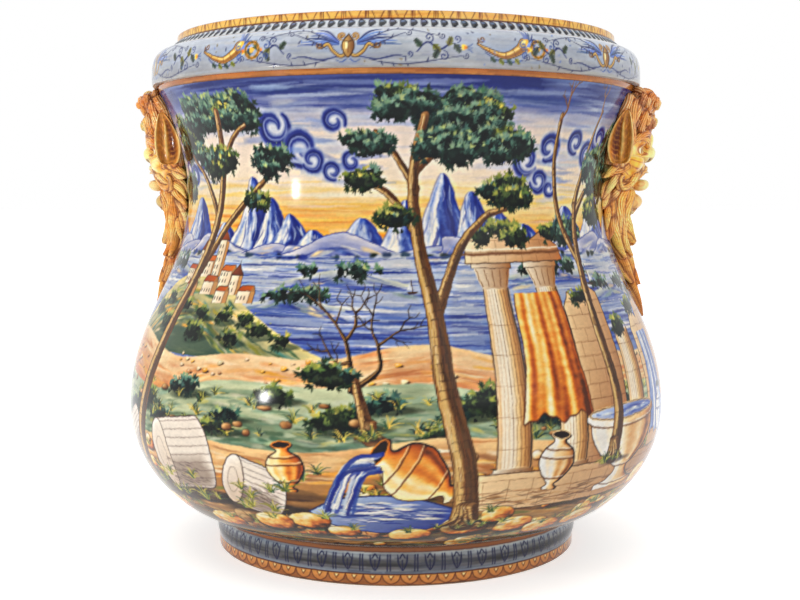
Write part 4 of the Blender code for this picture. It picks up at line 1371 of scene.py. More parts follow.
def foreground(c, rng):
    """The large things at the front: trees, a ruined portico, a basin, fallen drums, a spring."""
    for x, z, direction, length, wide in ((-14, 150, 1.75, 34, 4.8), (-8, 154, 1.2, 28, 3.8)):
        twigs(c, rng, x, up(z), direction, length, 4, (48, 34, 28), wide)
    limb(c, rng, level([(-2, 120), (-7, 138), (-13, 160)]), 8.5, 4.2)
    roots(c, rng, -2, up(122), 8)
    crown(c, rng, -30, 158, 19, 11, 4, LIME)
    portico(c, rng)
    fountain(c, rng, 192, 70, 42, 58)
    jar(c, 262, 92, 15, 44, BLUE_TONES)
    jar(c, 120, 78, 14, 40, STONE_TONES, -0.12)
    dome(c, 236, up(70), 16, 11, ROCK_TONES)
    # fallen drums in grey marble
    for x, z, r, long, a in ((-172, 92, 27, 46, 0.16), (-100, 84, 21, 32, -0.32), (-238, 92, 19, 28, 0.5)):
        c.dab(x + long * 0.6, up(z) - r * 1.0, long * 1.2, r * 0.3, 0, INK, 0.75, soft=2)
        drum(c, rng, x, up(z), r, long, a)
        lines = (96, 78, 70), (70, 56, 52), (150, 132, 120)
        hatch(
            c, rng, x + long * 0.6, up(z) - r * 0.45, long * 0.9, r * 0.8, int(long * 1.4), a - 0.3, 9, 1.0,
            lines,
        )
    jar(c, -56, 80, 13, 34, CLAY_TONES, 0.1)
    for _ in range(22):
        tuft(c, rng, rng.uniform(-250, -60), up(rng.uniform(62, 80)), rng.uniform(8, 14), GRASS, 13)
    spring(c, rng)
    for x, z, rx, rz in STONES:
        c.dab(x + rx * 0.3, up(z) - rz * 0.9, rx * 1.1, rz * 0.5, 0, (30, 24, 22), 0.8, soft=1.5)
        dome(c, x, up(z), rx, rz, ROCK_TONES, power=2.5, rough=0.34)
        tuft(c, rng, x + rng.uniform(-1, 1) * rx, up(z) + rz * 0.4, rng.uniform(8, 12), GRASS, 12)
    for trunk, wide, thin, branches, pads in TREES:
        painted_tree(c, rng, trunk, wide, thin, branches, pads)
    twigs(c, rng, 158, up(330), 1.4, 18, 3, BROWN, 2.4)
    twigs(c, rng, 216, up(334), 1.9, 16, 3, BROWN, 2.2)
    back_side(c, rng)


PIER = [(148, 88), (148, 200), (156, 210), (168, 202), (178, 216), (192, 208), (192, 88)]
BROKEN_WALL = [(228, 84), (228, 180), (240, 196), (252, 186), (264, 208), (282, 200), (282, 84)]
LINTEL = [(68, 231), (70, 250), (116, 251), (124, 244), (142, 252), (160, 242), (162, 232)]
STEPS = [(58, 66), (58, 82), (66, 82), (66, 93), (288, 93), (288, 82), (298, 82), (298, 64)]


def portico(c, rng):
    """A ruined portico on steps, overgrown, with two hanging cloths."""
    masonry(c, rng, level(PIER), 10, (248, 214, 162), (150, 88, 46))
    for x, top, r, broken in ((90, 214, 12, False), (136, 214, 12, False), (208, 180, 12.5, True)):
        column(c, x, up(96), up(top), r, broken)
    masonry(c, rng, level(BROKEN_WALL), 10, (250, 222, 176), (160, 96, 50))
    masonry(c, rng, level(LINTEL), 8, (252, 232, 190), (176, 108, 56))
    c.stroke(level([(66, 237), (162, 238)]), 1.8, BROWN, 0.8)
    c.stroke(level([(66, 240), (160, 241)]), 1.2, (255, 246, 220), 0.7)
    for _ in range(8):
        foliage(
            c, rng, rng.uniform(70, 158), up(250 + rng.uniform(-3, 6)), rng.uniform(7, 13),
            rng.uniform(4, 8), LEAF_LIME,
        )
    for x, z in ((244, 196), (268, 206), (170, 206), (206, 184)):
        foliage(c, rng, x, up(z), rng.uniform(9, 15), rng.uniform(6, 9), LEAF_LIME)
    drapery(c, 98, 152, up(210), up(128), CLAY_TONES, 1.0)
    drapery(c, 232, 268, up(176), up(104), BLUE_TONES, 2.4)
    masonry(c, rng, level(STEPS), 9, *CUT_STONE)
    hatch(c, rng, 176, up(74), 220, 14, 190, 0.0, 16, 1.0, (BROWN, (190, 136, 80), UMBER))


def spring(c, rng):
    """A pool, fed from the mouth of a fallen jar."""
    pool = level([(-46, 66), (-26, 76), (8, 80), (40, 74), (58, 64), (40, 54), (0, 50), (-32, 56)])
    edge = curve(pool + pool[:1], 6)
    c.fill(edge, (176, 198, 228), 1.0, shade=(-60, (44, 62, 150)), soft=0.6)
    for _ in range(170):
        a, k = rng.uniform(0, 2 * pi), rng.uniform(0, 0.86)
        x, y = 4 + 50 * k * cos(a), up(65.5) + 12 * k * sin(a)
        reach = rng.uniform(4, 13)
        width = rng.uniform(0.7, 1.9) * np.sin(np.linspace(0.1, pi - 0.1, 10))
        c.stroke(
            curve([(x - reach, y), (x, y + 0.8), (x + reach, y)], 5), width,
            pick(rng, COBALT, DEEP, PALE, WHITE), 0.8,
        )
    c.stroke(edge, 1.2, (28, 36, 92), 0.85)
    jar(c, 52, 80, 21, 58, CLAY_TONES, 1.02)
    for k in range(26):
        x0, y0 = rng.normal(0, 3.2), up(103) + rng.normal(0, 3.4)
        path = curve([(x0, y0), (x0 - 8 - k * 0.5, y0 - 6), (x0 - 16 - k * 0.8, y0 - 36)], 6)
        c.stroke(path, rng.uniform(1.0, 3.0), pick(rng, COBALT, MID, WHITE, PALE, DEEP), 0.85)


FARM = (
    (380, 170, 30, 22, RUST, False), (412, 172, 18, 34, BRICK, True),
    (440, 170, 26, 18, (196, 104, 50), False), (362, 162, 20, 14, (190, 96, 46), False),
)
OLD_ARCH = [
    (-470, 84), (-470, 190), (-462, 214), (-440, 228), (-410, 230), (-384, 216), (-374, 190), (-374, 84)
]
FAR_STONES = (
    (470, 66, 22, 12), (510, 58, 18, 10), (-520, 62, 20, 11), (-560, 56, 18, 10), (-300, 58, 20, 11),
    (560, 62, 22, 12),
)


def back_side(c, rng):
    """The far side: a farm, an old arch with a cloth and a jar, rocks, a drum and more trees."""
    farm = level([(330, 150), (360, 166), (400, 176), (450, 174), (500, 160), (530, 150)])
    bank(
        c, rng, farm, (224, 206, 138), (78, 98, 66), 34, (OLIVE, LEAF, AMBER, LIME, TEAL, SAND), 240,
        up(140), 15, 1.9,
    )
    for x, z, w, h, roof, tower in FARM:
        house(c, x, up(z), w, h, roof, tower)
    masonry(c, rng, level(OLD_ARCH), 11, *CUT_STONE)
    arch = level([(-452, 84), (-452, 160), (-444, 182), (-422, 192), (-400, 182), (-392, 160), (-392, 84)])
    c.fill(curve(arch, 4), (206, 206, 196), 1.0, shade=(-90, (104, 84, 58)))
    c.stroke(curve(arch, 4), 1.8, BROWN, 0.9)
    for _ in range(9):
        px, py = rng.uniform(-470, -380), up(rng.uniform(210, 234))
        foliage(c, rng, px, py, rng.uniform(9, 16), rng.uniform(6, 9), LEAF_LIME)
    drapery(c, -372, -338, up(150), up(84), BLUE_TONES, 0.6)
    jar(c, -340, 80, 16, 46, CLAY_TONES)
    for x, z, rx, rz in FAR_STONES:
        dome(c, x, up(z), rx, rz, ROCK_TONES, power=2.5, rough=0.34)
    drum(c, rng, 340, up(88), 22, 40, 0.2)
    for x, lean, size in ((-330, 10, 1.0), (330, -14, 1.0), (560, 16, 1.1), (-560, -10, 1.0)):
        top, bow = x + lean, x + lean * 0.6
        trunk = [(x, 64), (x + lean * 0.3, 110), (top, 170), (bow, 230), (top, 290), (top, 330)]
        branches = [
            ([(top, 200), (top + 30, 250), (top + 50, 268)], 6, 2.6),
            ([(bow, 240), (x - 30, 276), (x - 44, 290)], 5.5, 2.4),
        ]
        pads = [
            (top, 330, 46 * size, 20, TEAL, 0), (x + 52, 300, 32, 18, TEAL, 1),
            (x - 46, 304, 32, 18, OLIVE, 1), (x + 54, 268, 22, 11, LIME, 1), (x + 4, 302, 30, 14, TEAL, 1),
        ]
        painted_tree(c, rng, trunk, 14, 5, branches, pads)
    trunk = [(-290, 66), (-286, 120), (-294, 190), (-300, 250), (-296, 320)]
    pads = [(-296, 328, 34, 18, TEAL, 1), (-262, 270, 22, 12, LIME, 1), (-316, 296, 24, 14, TEAL, 1)]
    painted_tree(c, rng, trunk, 12, 5, [([(-294, 200), (-270, 240), (-258, 262)], 5, 2.2)], pads)


SHARPEN = 0.35


def finish_paint(c, shake=0.55, seed=90):
    """Lets drawn edges waver a little, as colours do in the fire, and keeps the tones crisp."""
    dx = c.noise(7, 7, seed, 2) * shake / c.res + c.noise(1.6, 1.6, seed + 1) * 0.35 * shake / c.res
    dy = c.noise(7, 7, seed + 2, 2) * shake / c.res + c.noise(1.6, 1.6, seed + 3) * 0.35 * shake / c.res
    x = np.arange(c.columns)[None, :] + dx
    y = np.clip(np.arange(c.rows)[:, None] + dy, 0, c.rows - 1.001)
    ix, iy = np.floor(x).astype(int), y.astype(int)
    tx, ty = (x - ix)[..., None].astype(np.float32), (y - iy)[..., None].astype(np.float32)
    left, right = ix % c.columns, (ix + 1) % c.columns
    low = c.img[iy, left] * (1 - tx) + c.img[iy, right] * tx
    high = c.img[iy + 1, left] * (1 - tx) + c.img[iy + 1, right] * tx
    c.img = low * (1 - ty) + high * ty
    reach = int(4.5 / c.res)
    wide = np.concatenate([c.img[:, -reach:], c.img, c.img[:, :reach]], 1)
    wide = np.concatenate([wide[:1].repeat(reach, 0), wide, wide[-1:].repeat(reach, 0)], 0)
    total = np.cumsum(np.cumsum(wide, 0, dtype=np.float64), 1)
    total = np.pad(total, ((1, 0), (1, 0), (0, 0)))
    n = 2 * reach + 1
    mean = (total[n:, n:] - total[:-n, n:] - total[n:, :-n] + total[:-n, :-n]) / n**2
    mean = mean[: c.rows, : c.columns]
    c.img += SHARPEN * (c.img - mean.astype(np.float32))
    value = 1 + 0.05 * c.noise(2.2, 1.1, seed + 5, 2) + 0.035 * c.noise(46, 30, seed + 6, 2)
    c.img *= value[..., None].astype(np.float32)
    np.clip(c.img, 0, 1, out=c.img)


# The borders of the rim and the foot, painted at these radii in mm

COLLAR_MM, FOOT_MM = 192.0, 144.0
BORDER_RES = 0.35
BEADS = 160
PEN = (52, 56, 92)
FOOT_PEN = (16, 20, 62)
SCALE_LINE = (104, 52, 28)
SLATE, INKY = (74, 94, 150), (46, 56, 108)


def rim_places():
    """Where the collar's stretches start, in mm up its outside from the neck joint."""
    start, places = 0.0, {}
    for key, line in collar.items():
        places[key] = start
        start += lengths(np.asarray(line, float))[-1] * 1000
    places["end"] = start
    return places


def belt(c, y0, y1, colour, waver=0.0, alpha=1.0):
    """A painted band right round, with slightly wavering edges."""
    y = c.y[:, None]
    shift = waver * c.noise(30, 400, int(abs(y0) * 13 + 7))[:1]
    cover = np.clip(0.5 + (y - y0 - shift) / c.res, 0, 1) * np.clip(0.5 + (y1 + shift - y) / c.res, 0, 1)
    c.mix(cover * alpha, colour)


def beside(x, y, s, places):
    """Points round (x, y) from (across, up) pairs, turned over for s = -1."""
    return [(x + s * u, y + v) for u, v in places]


def streaks(c, rng, count, low, high, reach, width, colours, alpha, soft, bow=0):
    """Long soft strokes that run round the pot between two heights."""
    for _ in range(count):
        x, y = rng.uniform(-c.girth / 2, c.girth / 2), rng.uniform(low, high)
        half = rng.uniform(*reach)
        middle = y + (rng.normal(0, bow) if bow else 0)
        path = curve([(x - half, y), (x, middle), (x + half, y)], 4)
        c.stroke(path, rng.uniform(*width), pick(rng, *colours), alpha, soft=soft)


def curl(c, x, y, r, turn, start, colour, width=1.2, turns=1.2, lead=None):
    """A tendril that ends in a spiral. lead is where it sets out from."""
    t = np.linspace(0, 1, 26)
    radius = r * (1 - 0.82 * t)
    angle = start + turn * 2 * pi * turns * t
    path = np.stack([x + radius * np.cos(angle), y + radius * np.sin(angle)], 1)
    if lead is not None:
        halfway = (lead[0] + path[0, 0]) / 2, (lead[1] + path[0, 1]) / 2 + 0.6 * turn
        path = np.concatenate([curve([lead, halfway, tuple(path[0])], 6), path])
    w = width * np.interp(np.linspace(0, 1, len(path)), [0, 0.15, 0.7, 1], [0.5, 1, 0.9, 0.5])
    c.stroke(path, w, colour, 0.92)
    c.dab(path[-1, 0], path[-1, 1], width * 0.75, width * 0.75, 0, colour, 0.95)


def feather(c, rng, x, y, angle, length, wide, colour):
    """A curled leaf of long strokes from one root."""
    n = 5
    for k in range(n):
        a = angle + (k - (n - 1) / 2) * 0.16
        b = a + 0.45 * np.sign(np.cos(angle) + 1e-6) * (1 if k % 2 else 0.8)
        reach = length * (1 - 0.1 * abs(k - 2))
        bend = x + cos(a) * reach * 0.5, y + sin(a) * reach * 0.5 + wide * 0.1
        path = curve([(x, y), bend, (x + cos(b) * reach, y + sin(b) * reach)], 6)
        width = wide * 0.34 * np.sin(np.linspace(0.35, pi - 0.2, len(path)))
        c.stroke(path, width, vary(rng, mixed(colour, PALE, 0.12 * k), 0.08), 0.9)


def scale_leaf(c, rng, x, y, direction, size, colour):
    """An acanthus leaf: three lobes each side of a rib."""
    ca, sa = cos(direction), sin(direction)
    for k in range(3):
        for s in (-1, 1):
            a = direction + s * (0.95 - 0.18 * k)
            px, py = x + ca * size * (0.1 + 0.27 * k), y + sa * size * (0.1 + 0.27 * k)
            px, py = px + cos(a) * size * 0.2, py + sin(a) * size * 0.2
            c.dab(px, py, size * (0.3 - 0.05 * k), size * 0.13, a, vary(rng, colour, 0.1), 0.95)
    px, py = x + ca * size * 0.55, y + sa * size * 0.55
    c.dab(px, py, size * 0.5, size * 0.13, direction, vary(rng, colour, 0.1), 1.0)
    c.stroke(curve([(x, y), (x + ca * size, y + sa * size)], 6), [0.5] * 2 + [0.25], INK, 0.75)


def horn(c, points, w0, w1):
    """A cornucopia: a curved horn that widens, ringed across."""
    p = curve(points, 10)
    w = np.linspace(w0, w1, len(p))
    n = sideways(p)
    c.stroke(p, w + 0.9, INK, 0.85)
    c.stroke(p, w, (206, 150, 62), 1.0)
    c.stroke(p - n * (w * 0.22)[:, None], w * 0.4, BROWN, 0.6, soft=0.5)
    c.stroke(p + n * (w * 0.2)[:, None], w * 0.26, (246, 216, 140), 0.85, soft=0.4)
    for i in np.linspace(len(p) * 0.2, len(p) - 2, 6).astype(int):
        q = n[i] * w[i] * 0.5
        c.stroke([p[i] - q, p[i] + q], 0.5, BROWN, 0.8)


def cartouche(c, rng, x, y):
    """A winged strapwork cartouche with a drop between two volutes."""
    for s in (-1, 1):
        for k in range(6):
            a = 0.10 + 0.13 * k
            reach = 29 - 2.6 * k
            tip = x + s * (6 + reach), y + (1 + 3.0 * k) * 0.62 + sin(a) * 3
            root, bend = (x + s * 6, y + 0.5 + 0.5 * k), (x + s * (6 + reach * 0.5), y + 1.5 + 1.7 * k)
            path = curve([root, bend, tip], 7)
            swell = np.sin(np.linspace(0.3, pi - 0.15, len(path)))
            c.stroke(path, 1.7 * swell, vary(rng, (SLATE, MID, INKY)[k % 3], 0.08), 0.9)
            c.stroke(path + (0, 0.75), 0.45 * swell, PALE, 0.7)
        strap = curve(beside(x, y, s, ((0, -4.2), (5, -6.6), (10, -3.4), (13.5, 1.2), (17.5, -0.6))), 7)
        c.stroke(strap, 2.5, INK, 0.85)
        c.stroke(strap, 1.7, (176, 134, 74), 1.0)
        c.stroke(strap + (0, 0.35), 0.5, (216, 190, 128), 0.9)
        curl(c, x + s * 19, y + 0.6, 2.6, -s, pi / 2 - 0.9 * s, (138, 96, 52), 1.3, 0.9)
        curl(c, x + s * 4.2, y + 7.0, 3.0, s, -pi / 2, (146, 102, 54), 1.7, 1.0)
        curl(c, x + s * 4.2, y + 7.0, 3.0, s, -pi / 2, (206, 170, 106), 0.6, 0.9)
        tail = curve(beside(x, y, s, ((8, -7.2), (19, -8.8), (31, -6.4), (39, -7.6))), 7)
        c.stroke(tail, 0.8 * np.sin(np.linspace(0.5, pi - 0.1, len(tail))) + 0.2, INKY, 0.9)
        curl(c, x + s * 40.5, y - 5.6, 2.2, s, -pi / 2, INKY, 0.7, 1.0)
        path = curve(beside(x, y, s, ((1.2, -8.6), (4.4, -10.4), (7.8, -9.2))), 6)
        c.stroke(path, [0.9] * 5 + [0.5] * 6, SLATE, 0.85)
    drop = (0, 8.4), (3.6, 3.0), (3.9, -1.8), (0, -7.4), (-3.9, -1.8), (-3.6, 3.0), (0, 8.4)
    drop = curve(beside(x, y, 1, drop), 6)
    c.fill(drop, (214, 174, 104), 1.0, shade=(0, (124, 80, 44)))
    c.stroke(drop, 0.8, UMBER, 0.95)
    c.dab(x - 0.8, y + 0.6, 1.2, 2.4, 0.0, (250, 230, 170), 0.9)
    c.stroke([(x - 2.4, y + 3.6), (x, y + 2.6), (x + 2.4, y + 3.6)], 0.6, UMBER, 0.85)
    c.stroke([(x, y + 2.6), (x, y - 4.4)], 0.5, BROWN, 0.8)


def volute_plant(c, rng, x, y, s, tone):
    """A running stem with curls, sprigs and a bud; s is the side that it runs to."""
    stem = curve(beside(x, y, s, ((0, -3), (7, 3.2), (15, -1.4), (23, 2.6), (30, 0))), 8)
    c.stroke(stem, 1.1 * np.sin(np.linspace(0.4, pi - 0.3, len(stem))) + 0.25, vary(rng, INKY, 0.05), 0.9)
    curl(c, x + s * 8, y + 6.4, 3.4, s, -pi / 2, INKY, 0.8, 1.2)
    curl(c, x + s * 18, y - 5.4, 3.2, -s, pi / 2, INKY, 0.8, 1.2)
    curl(c, x + s * 27, y + 6.0, 2.7, s, -pi / 2, INKY, 0.7, 1.1)
    sprigs = (3, 0.4, 2.3), (11, 1.6, -0.8), (14, -1.5, -2.0), (21, 1.2, 1.2), (25, 2.0, -0.9)
    for k, (dx, dy, a) in enumerate(sprigs):
        direction = a if s > 0 else pi - a
        leaf = mixed(tone, (96, 92, 72), 0.5) if k % 2 else (76, 88, 80)
        scale_leaf(c, rng, x + s * dx, y + dy, direction, 6.4, leaf)
    c.dab(x + s * 32, y + 0.4, 2.4, 1.7, 0, (246, 206, 90), 1.0)
    c.dab(x + s * 32.6, y + 0.2, 1.2, 0.9, 0, ORANGE, 1.0)
    for k in (-1, 0, 1):
        path = beside(x, y, s, ((33.6, 0.8 * k), (36.4, 1.9 * k), (37.2, 2.9 * k)))
        c.stroke(curve(path, 5), 0.6, SLATE, 0.85)


def plenty(c, rng, x, y, s):
    """A cornucopia with curled blue feathers behind its mouth."""
    horn(c, beside(x, y, s, ((0, 3.2), (10, -1.6), (20, -3.8), (30, 0.4), (34, 4.6))), 0.9, 7.4)
    for k, a in enumerate((0.95, 0.35, -0.3)):
        direction = a if s > 0 else pi - a
        feather(c, rng, x + s * 33, y + 4.2, direction, 15 - 2 * k, 4.2, (SLATE, INKY, MID)[k])
    c.dab(x + s * 34.5, y + 5.4, 4.0, 2.6, 0.6 * s, (236, 186, 84), 1.0)
    c.dab(x + s * 34.0, y + 5.9, 2.2, 1.3, 0.6 * s, (250, 226, 150), 0.95)
    curl(c, x + s * 3.0, y + 6.6, 2.6, s, pi, BROWN, 0.9, 1.0, lead=(x, y + 3.0))
    path = beside(x, y, s, ((5, -2.0), (12, -6.4), (22, -8.2), (33, -6.0)))
    c.stroke(curve(path, 7), 0.7, INKY, 0.85)
    curl(c, x + s * 34.6, y - 4.4, 2.0, s, -pi / 2, INKY, 0.7, 1.0)
    for k in range(4):
        direction = -0.7 if s > 0 else pi + 0.7
        leaf = OLIVE if k % 2 else (76, 92, 80)
        scale_leaf(c, rng, x + s * (9 + 6 * k), y - 5.4 - 1.2 * sin(k), direction, 4.6, leaf)


def pen_work(c, rng, x, y, span):
    """Long thin pen lines that join the ornaments, with barbs, berries and small curls."""
    for s in (-1, 1):
        for low, high, reach, tip in ((-9.2, -12.0, 62, -6.0), (4.5, 12.0, 46, 7.0), (-2.0, 3.0, 24, 9.0)):
            end = x + s * (14 + reach), y + tip
            path = curve([(x + s * 14, y + low), (x + s * (14 + reach * 0.4), y + high), end], 9)
            c.stroke(path, 0.6 * np.sin(np.linspace(0.4, pi - 0.3, len(path))) + 0.15, PEN, 0.85)
            curl(c, path[-1, 0] + s * 2.2, path[-1, 1], 2.4, s, pi, PEN, 0.6, 1.1)
            for k in range(3, len(path) - 3, 3):
                a = rng.choice([-1, 1]) * 1.2 + (0 if s > 0 else pi)
                c.dab(path[k, 0] + 1.3 * cos(a), path[k, 1] + 1.3 * sin(a), 1.7, 0.42, a, PEN, 0.85)
    for _ in range(26):
        px, py = x + rng.uniform(-0.5, 0.5) * span, y + rng.uniform(-13, 13)
        long, wide, angle = rng.uniform(0.6, 1.6), rng.uniform(0.35, 0.6), rng.uniform(0, pi)
        c.dab(px, py, long, wide, angle, pick(rng, PEN, MID, (120, 104, 70)), 0.7)


def wreath(c, x, y):
    """A ring of ochre leaves with a flourish on each side."""
    for k in range(14):
        a = 2 * pi * k / 14
        leaf = (214, 152, 60) if k % 2 else (150, 120, 44)
        c.dab(x + 5.4 * cos(a), y + 5.4 * sin(a), 2.1, 0.95, a + 1.2, leaf, 1.0)
    t = np.linspace(0, 2 * pi, 30)
    c.stroke(np.stack([x + 5.4 * np.cos(t), y + 5.4 * np.sin(t)], 1), 0.5, UMBER, 0.8)
    c.dab(x, y, 1.8, 1.8, 0, (240, 180, 80), 1.0)
    for s in (-1, 1):
        curl(c, x + s * 11.5, y + 2.6, 3.0, -s, pi / 2, SLATE, 1.0, 1.1)
        curl(c, x + s * 10.5, y - 4.2, 2.6, s, -pi / 2, SLATE, 0.9, 1.1)
        c.dab(x + s * 7.6, y, 1.0, 1.0, 0, ORANGE, 1.0)


def paint_rim():
    """The collar: an orange neck band, grotesques on blue grey, beads on white and a yellow lip."""
    girth = 2 * pi * COLLAR_MM
    places = rim_places()
    c = Canvas(places["end"], girth, BORDER_RES, WHITE)
    rng = np.random.default_rng(5)
    roll0, bead0, lip0 = places["roll"], places["beads"], places["lip"]
    # the collar's blue-grey ground, with painted shade low on the roll and a painted highlight on its
    # shoulder under the beads
    stops = [
        (0, (206, 188, 158)), (roll0 + 2, (164, 154, 142)), (roll0 + 8, (152, 154, 162)),
        (roll0 + 16, (160, 166, 178)), (bead0 - 7, (198, 204, 214)), (bead0 - 3, (230, 234, 238)),
        (bead0, (206, 208, 212)), (lip0, (236, 228, 206)),
    ]
    c.img[:] = ramp(c.y, stops)[:, None]
    c.mix(smooth(0.0, 0.7, c.noise(60, 5, 3, 3)) * 0.4, (176, 190, 216))
    c.mix(smooth(0.1, 0.8, c.noise(40, 8, 8, 3)) * 0.35, (232, 228, 216))
    middle = roll0 + 17.5
    hues = (132, 142, 168), (178, 184, 194), (158, 164, 178), (196, 194, 188)
    streaks(c, rng, 420, roll0 + 1, bead0 - 1, (5, 26), (0.4, 1.4), hues, 0.4, 0.8, bow=0.3)
    # the neck band: orange between a brown line and a dark one
    belt(c, -1, roll0 + 0.8, (170, 104, 44), 0.2)
    hues = (206, 136, 66), (150, 82, 36), (184, 110, 48)
    streaks(c, rng, 260, 0.4, roll0, (4, 22), (0.5, 1.3), hues, 0.5, 0.4)
    belt(c, -1, 0.55, (66, 34, 28), 0.15, 0.95)
    belt(c, roll0 + 0.5, roll0 + 1.1, (120, 66, 34), 0.15, 0.9)
    # the grotesques
    span = girth / 6
    for k in range(6):
        x = -18 + k * span
        cartouche(c, rng, x, middle)
        volute_plant(c, rng, x + 45, middle - 1.0, 1, OLIVE)
        plenty(c, rng, x + 86, middle - 1.5, 1)
        volute_plant(c, rng, x - 45, middle - 1.0, -1, (122, 122, 52))
        wreath(c, x + span - 70, middle)
        pen_work(c, rng, x, middle, span)
    # beads on white, between dark lines
    belt(c, bead0 - 1.3, bead0 + 0.2, (44, 46, 78), 0.1, 0.9)
    belt(c, bead0 - 3.6, bead0 - 1.3, (150, 162, 170), 0.3, 0.5)
    belt(c, bead0 + 0.2, lip0 - 0.6, (180, 184, 190), 0.0, 1.0)
    pitch = girth / BEADS
    high = (lip0 - bead0) / 2
    for k in range(BEADS):
        x = -girth / 2 + (k + 0.5) * pitch
        y = bead0 + high - 0.2
        tone = vary(rng, (26, 32, 48), 0.14)
        c.dab(x, y, 2.75, 3.5, 0, tone, 0.96)
        # painted highlight on the top of the bead
        c.dab(x - 0.3, y + 1.1, 1.7, 1.3, 0, mixed(tone, (132, 152, 186), 0.75), 0.85, soft=0.7)
        # painted shade under the bead
        c.dab(x, y - 1.9, 1.9, 1.0, 0, (24, 28, 34), 0.8, soft=0.5)
    belt(c, lip0 - 0.9, lip0 + 0.4, (78, 34, 34), 0.1, 0.95)
    # the lip: orange yellow with brown strokes in groups
    belt(c, lip0 + 0.4, places["end"] + 1, (240, 182, 88), 0.1)
    hues = (248, 204, 120), (228, 150, 62), (240, 178, 84), (214, 132, 54)
    streaks(c, rng, 500, lip0 + 0.6, places["end"], (3, 14), (0.5, 1.5), hues, 0.45, 0.5)
    groups = 70
    lip_high = LIP_HEIGHT * 1000
    for k in range(groups):
        x = -girth / 2 + (k + 0.5) * girth / groups
        for dx, lean in ((-4.8, 1.5), (-1.1, 0.1), (0.2, 0.0), (1.5, -0.1), (5.0, -1.5)):
            j = rng.normal(0, 0.15)
            path = [(x + dx - lean + j, lip0 + 0.9), (x + dx + lean * 0.6 + j, lip0 + lip_high - 0.4)]
            c.stroke(path, [0.55, 0.8], vary(rng, (120, 62, 28), 0.1), 0.85)
    belt(c, lip0 + lip_high - 0.2, lip0 + lip_high + 0.9, (150, 86, 40), 0.15, 0.7)
    belt(c, places["end"] - 1.6, places["end"] + 1, (176, 104, 48), 0.2, 0.7)
    finish_paint(c, 0.25, 190)
    return c


def paint_foot():
    """The foot: scales on brown below, dark tongues on the grey roll and a brown edge above."""
    girth = 2 * pi * FOOT_MM
    high = 31.5
    c = Canvas(high, girth, BORDER_RES, WHITE)
    rng = np.random.default_rng(8)
    base = FOOT_BASE_BAND * 1000 + 0.4
    roll_top = base + 17.0
    # the grey roll's ground: lighter at its foot and top and near black across its middle, a painted
    # reflection and shade
    stops = [
        (0, (176, 106, 52)), (base, (176, 106, 52)), (base + 0.1, (150, 152, 158)),
        (base + 3.5, (118, 120, 128)), (base + 7, (46, 46, 50)), (base + 10, (62, 62, 66)),
        (base + 13, (148, 152, 158)), (roll_top - 1, (184, 184, 182)), (roll_top, (150, 88, 38)),
    ]
    c.img[:] = ramp(c.y, stops)[:, None]
    above, below = smooth(base, base + 1, c.y)[:, None], (1 - smooth(roll_top - 1, roll_top, c.y))[:, None]
    c.mix(smooth(0.0, 0.7, c.noise(50, 4, 3, 3)) * above * below * 0.5, (90, 98, 122))
    hues = (140, 140, 142), (66, 66, 78), (104, 102, 106)
    streaks(c, rng, 260, base + 1, roll_top - 1, (5, 24), (0.5, 1.8), hues, 0.4, 0.8)
    tongues = 92
    for k in range(tongues):
        x = -girth / 2 + (k + 0.5) * girth / tongues
        mid = base + 8.5
        if k % 2:
            for s in (-1, 1):
                path = curve(beside(x, mid, s, ((3.6, 6.4), (2.8, 0.4), (0.4, -5.4))), 6)
                c.stroke(path, 1.25 * np.sin(np.linspace(0.3, pi - 0.2, 12)), FOOT_PEN, 0.95)
            path = curve(beside(x, mid, 1, ((-1.9, 4.0), (0, 6.6), (1.9, 4.0))), 6)
            c.stroke(path, 0.9, FOOT_PEN, 0.95)
            c.stroke([(x, mid + 2.5), (x, mid - 5.0)], [0.9, 0.6], FOOT_PEN, 0.95)
        else:
            for s in (-0.9, 0.9):
                c.stroke([(x + s, mid + 6.2), (x + s * 1.2, mid - 5.6)], [0.95, 0.7], FOOT_PEN, 0.95)
    belt(c, base - 0.5, base + 0.7, (84, 44, 30), 0.15, 0.9)
    belt(c, roll_top - 0.6, roll_top + 0.2, (92, 48, 30), 0.1, 0.9)
    belt(c, roll_top + 0.2, high, (150, 88, 38), 0.1)
    belt(c, roll_top + 2.6, high + 1, (78, 44, 32), 0.1, 0.9)
    hues = (206, 140, 72), (140, 78, 38), (164, 96, 50)
    streaks(c, rng, 240, 1.2, base - 0.8, (3, 16), (0.5, 1.6), hues, 0.5, 0.5)
    scales = 68
    pitch = girth / scales
    for k in range(scales):
        x = -girth / 2 + (k + 0.5) * pitch
        arc = ((-pitch / 2, 0.4), (-pitch * 0.36, 4.6), (0, 6.8), (pitch * 0.36, 4.6), (pitch / 2, 0.4))
        arc = curve([(x + u, base - v) for u, v in arc], 6)
        c.fill(arc, (206, 126, 58), 0.8, shade=(90, (226, 158, 84)))
        c.stroke(arc, 0.75, SCALE_LINE, 0.9)
        c.stroke([(x - 1.9, base - 1.0), (x, base - 3.9), (x + 1.9, base - 1.0)], 0.6, SCALE_LINE, 0.9)
        c.dab(x, base - 1.6, 0.9, 0.7, 0, (250, 224, 160), 0.9)
    belt(c, -1, 1.6, (74, 46, 34), 0.3, 0.85)
    finish_paint(c, 0.25, 290)
    return c


# Meshes

COLUMNS = 1536


def linear(colour):
    """Scene-linear values of sRGB colours in 0..1."""
    c = np.clip(np.asarray(colour, np.float32), 0, 1)
    return np.where(c <= 0.04045, c / 12.92, ((c + 0.055) / 1.055) ** 2.4)


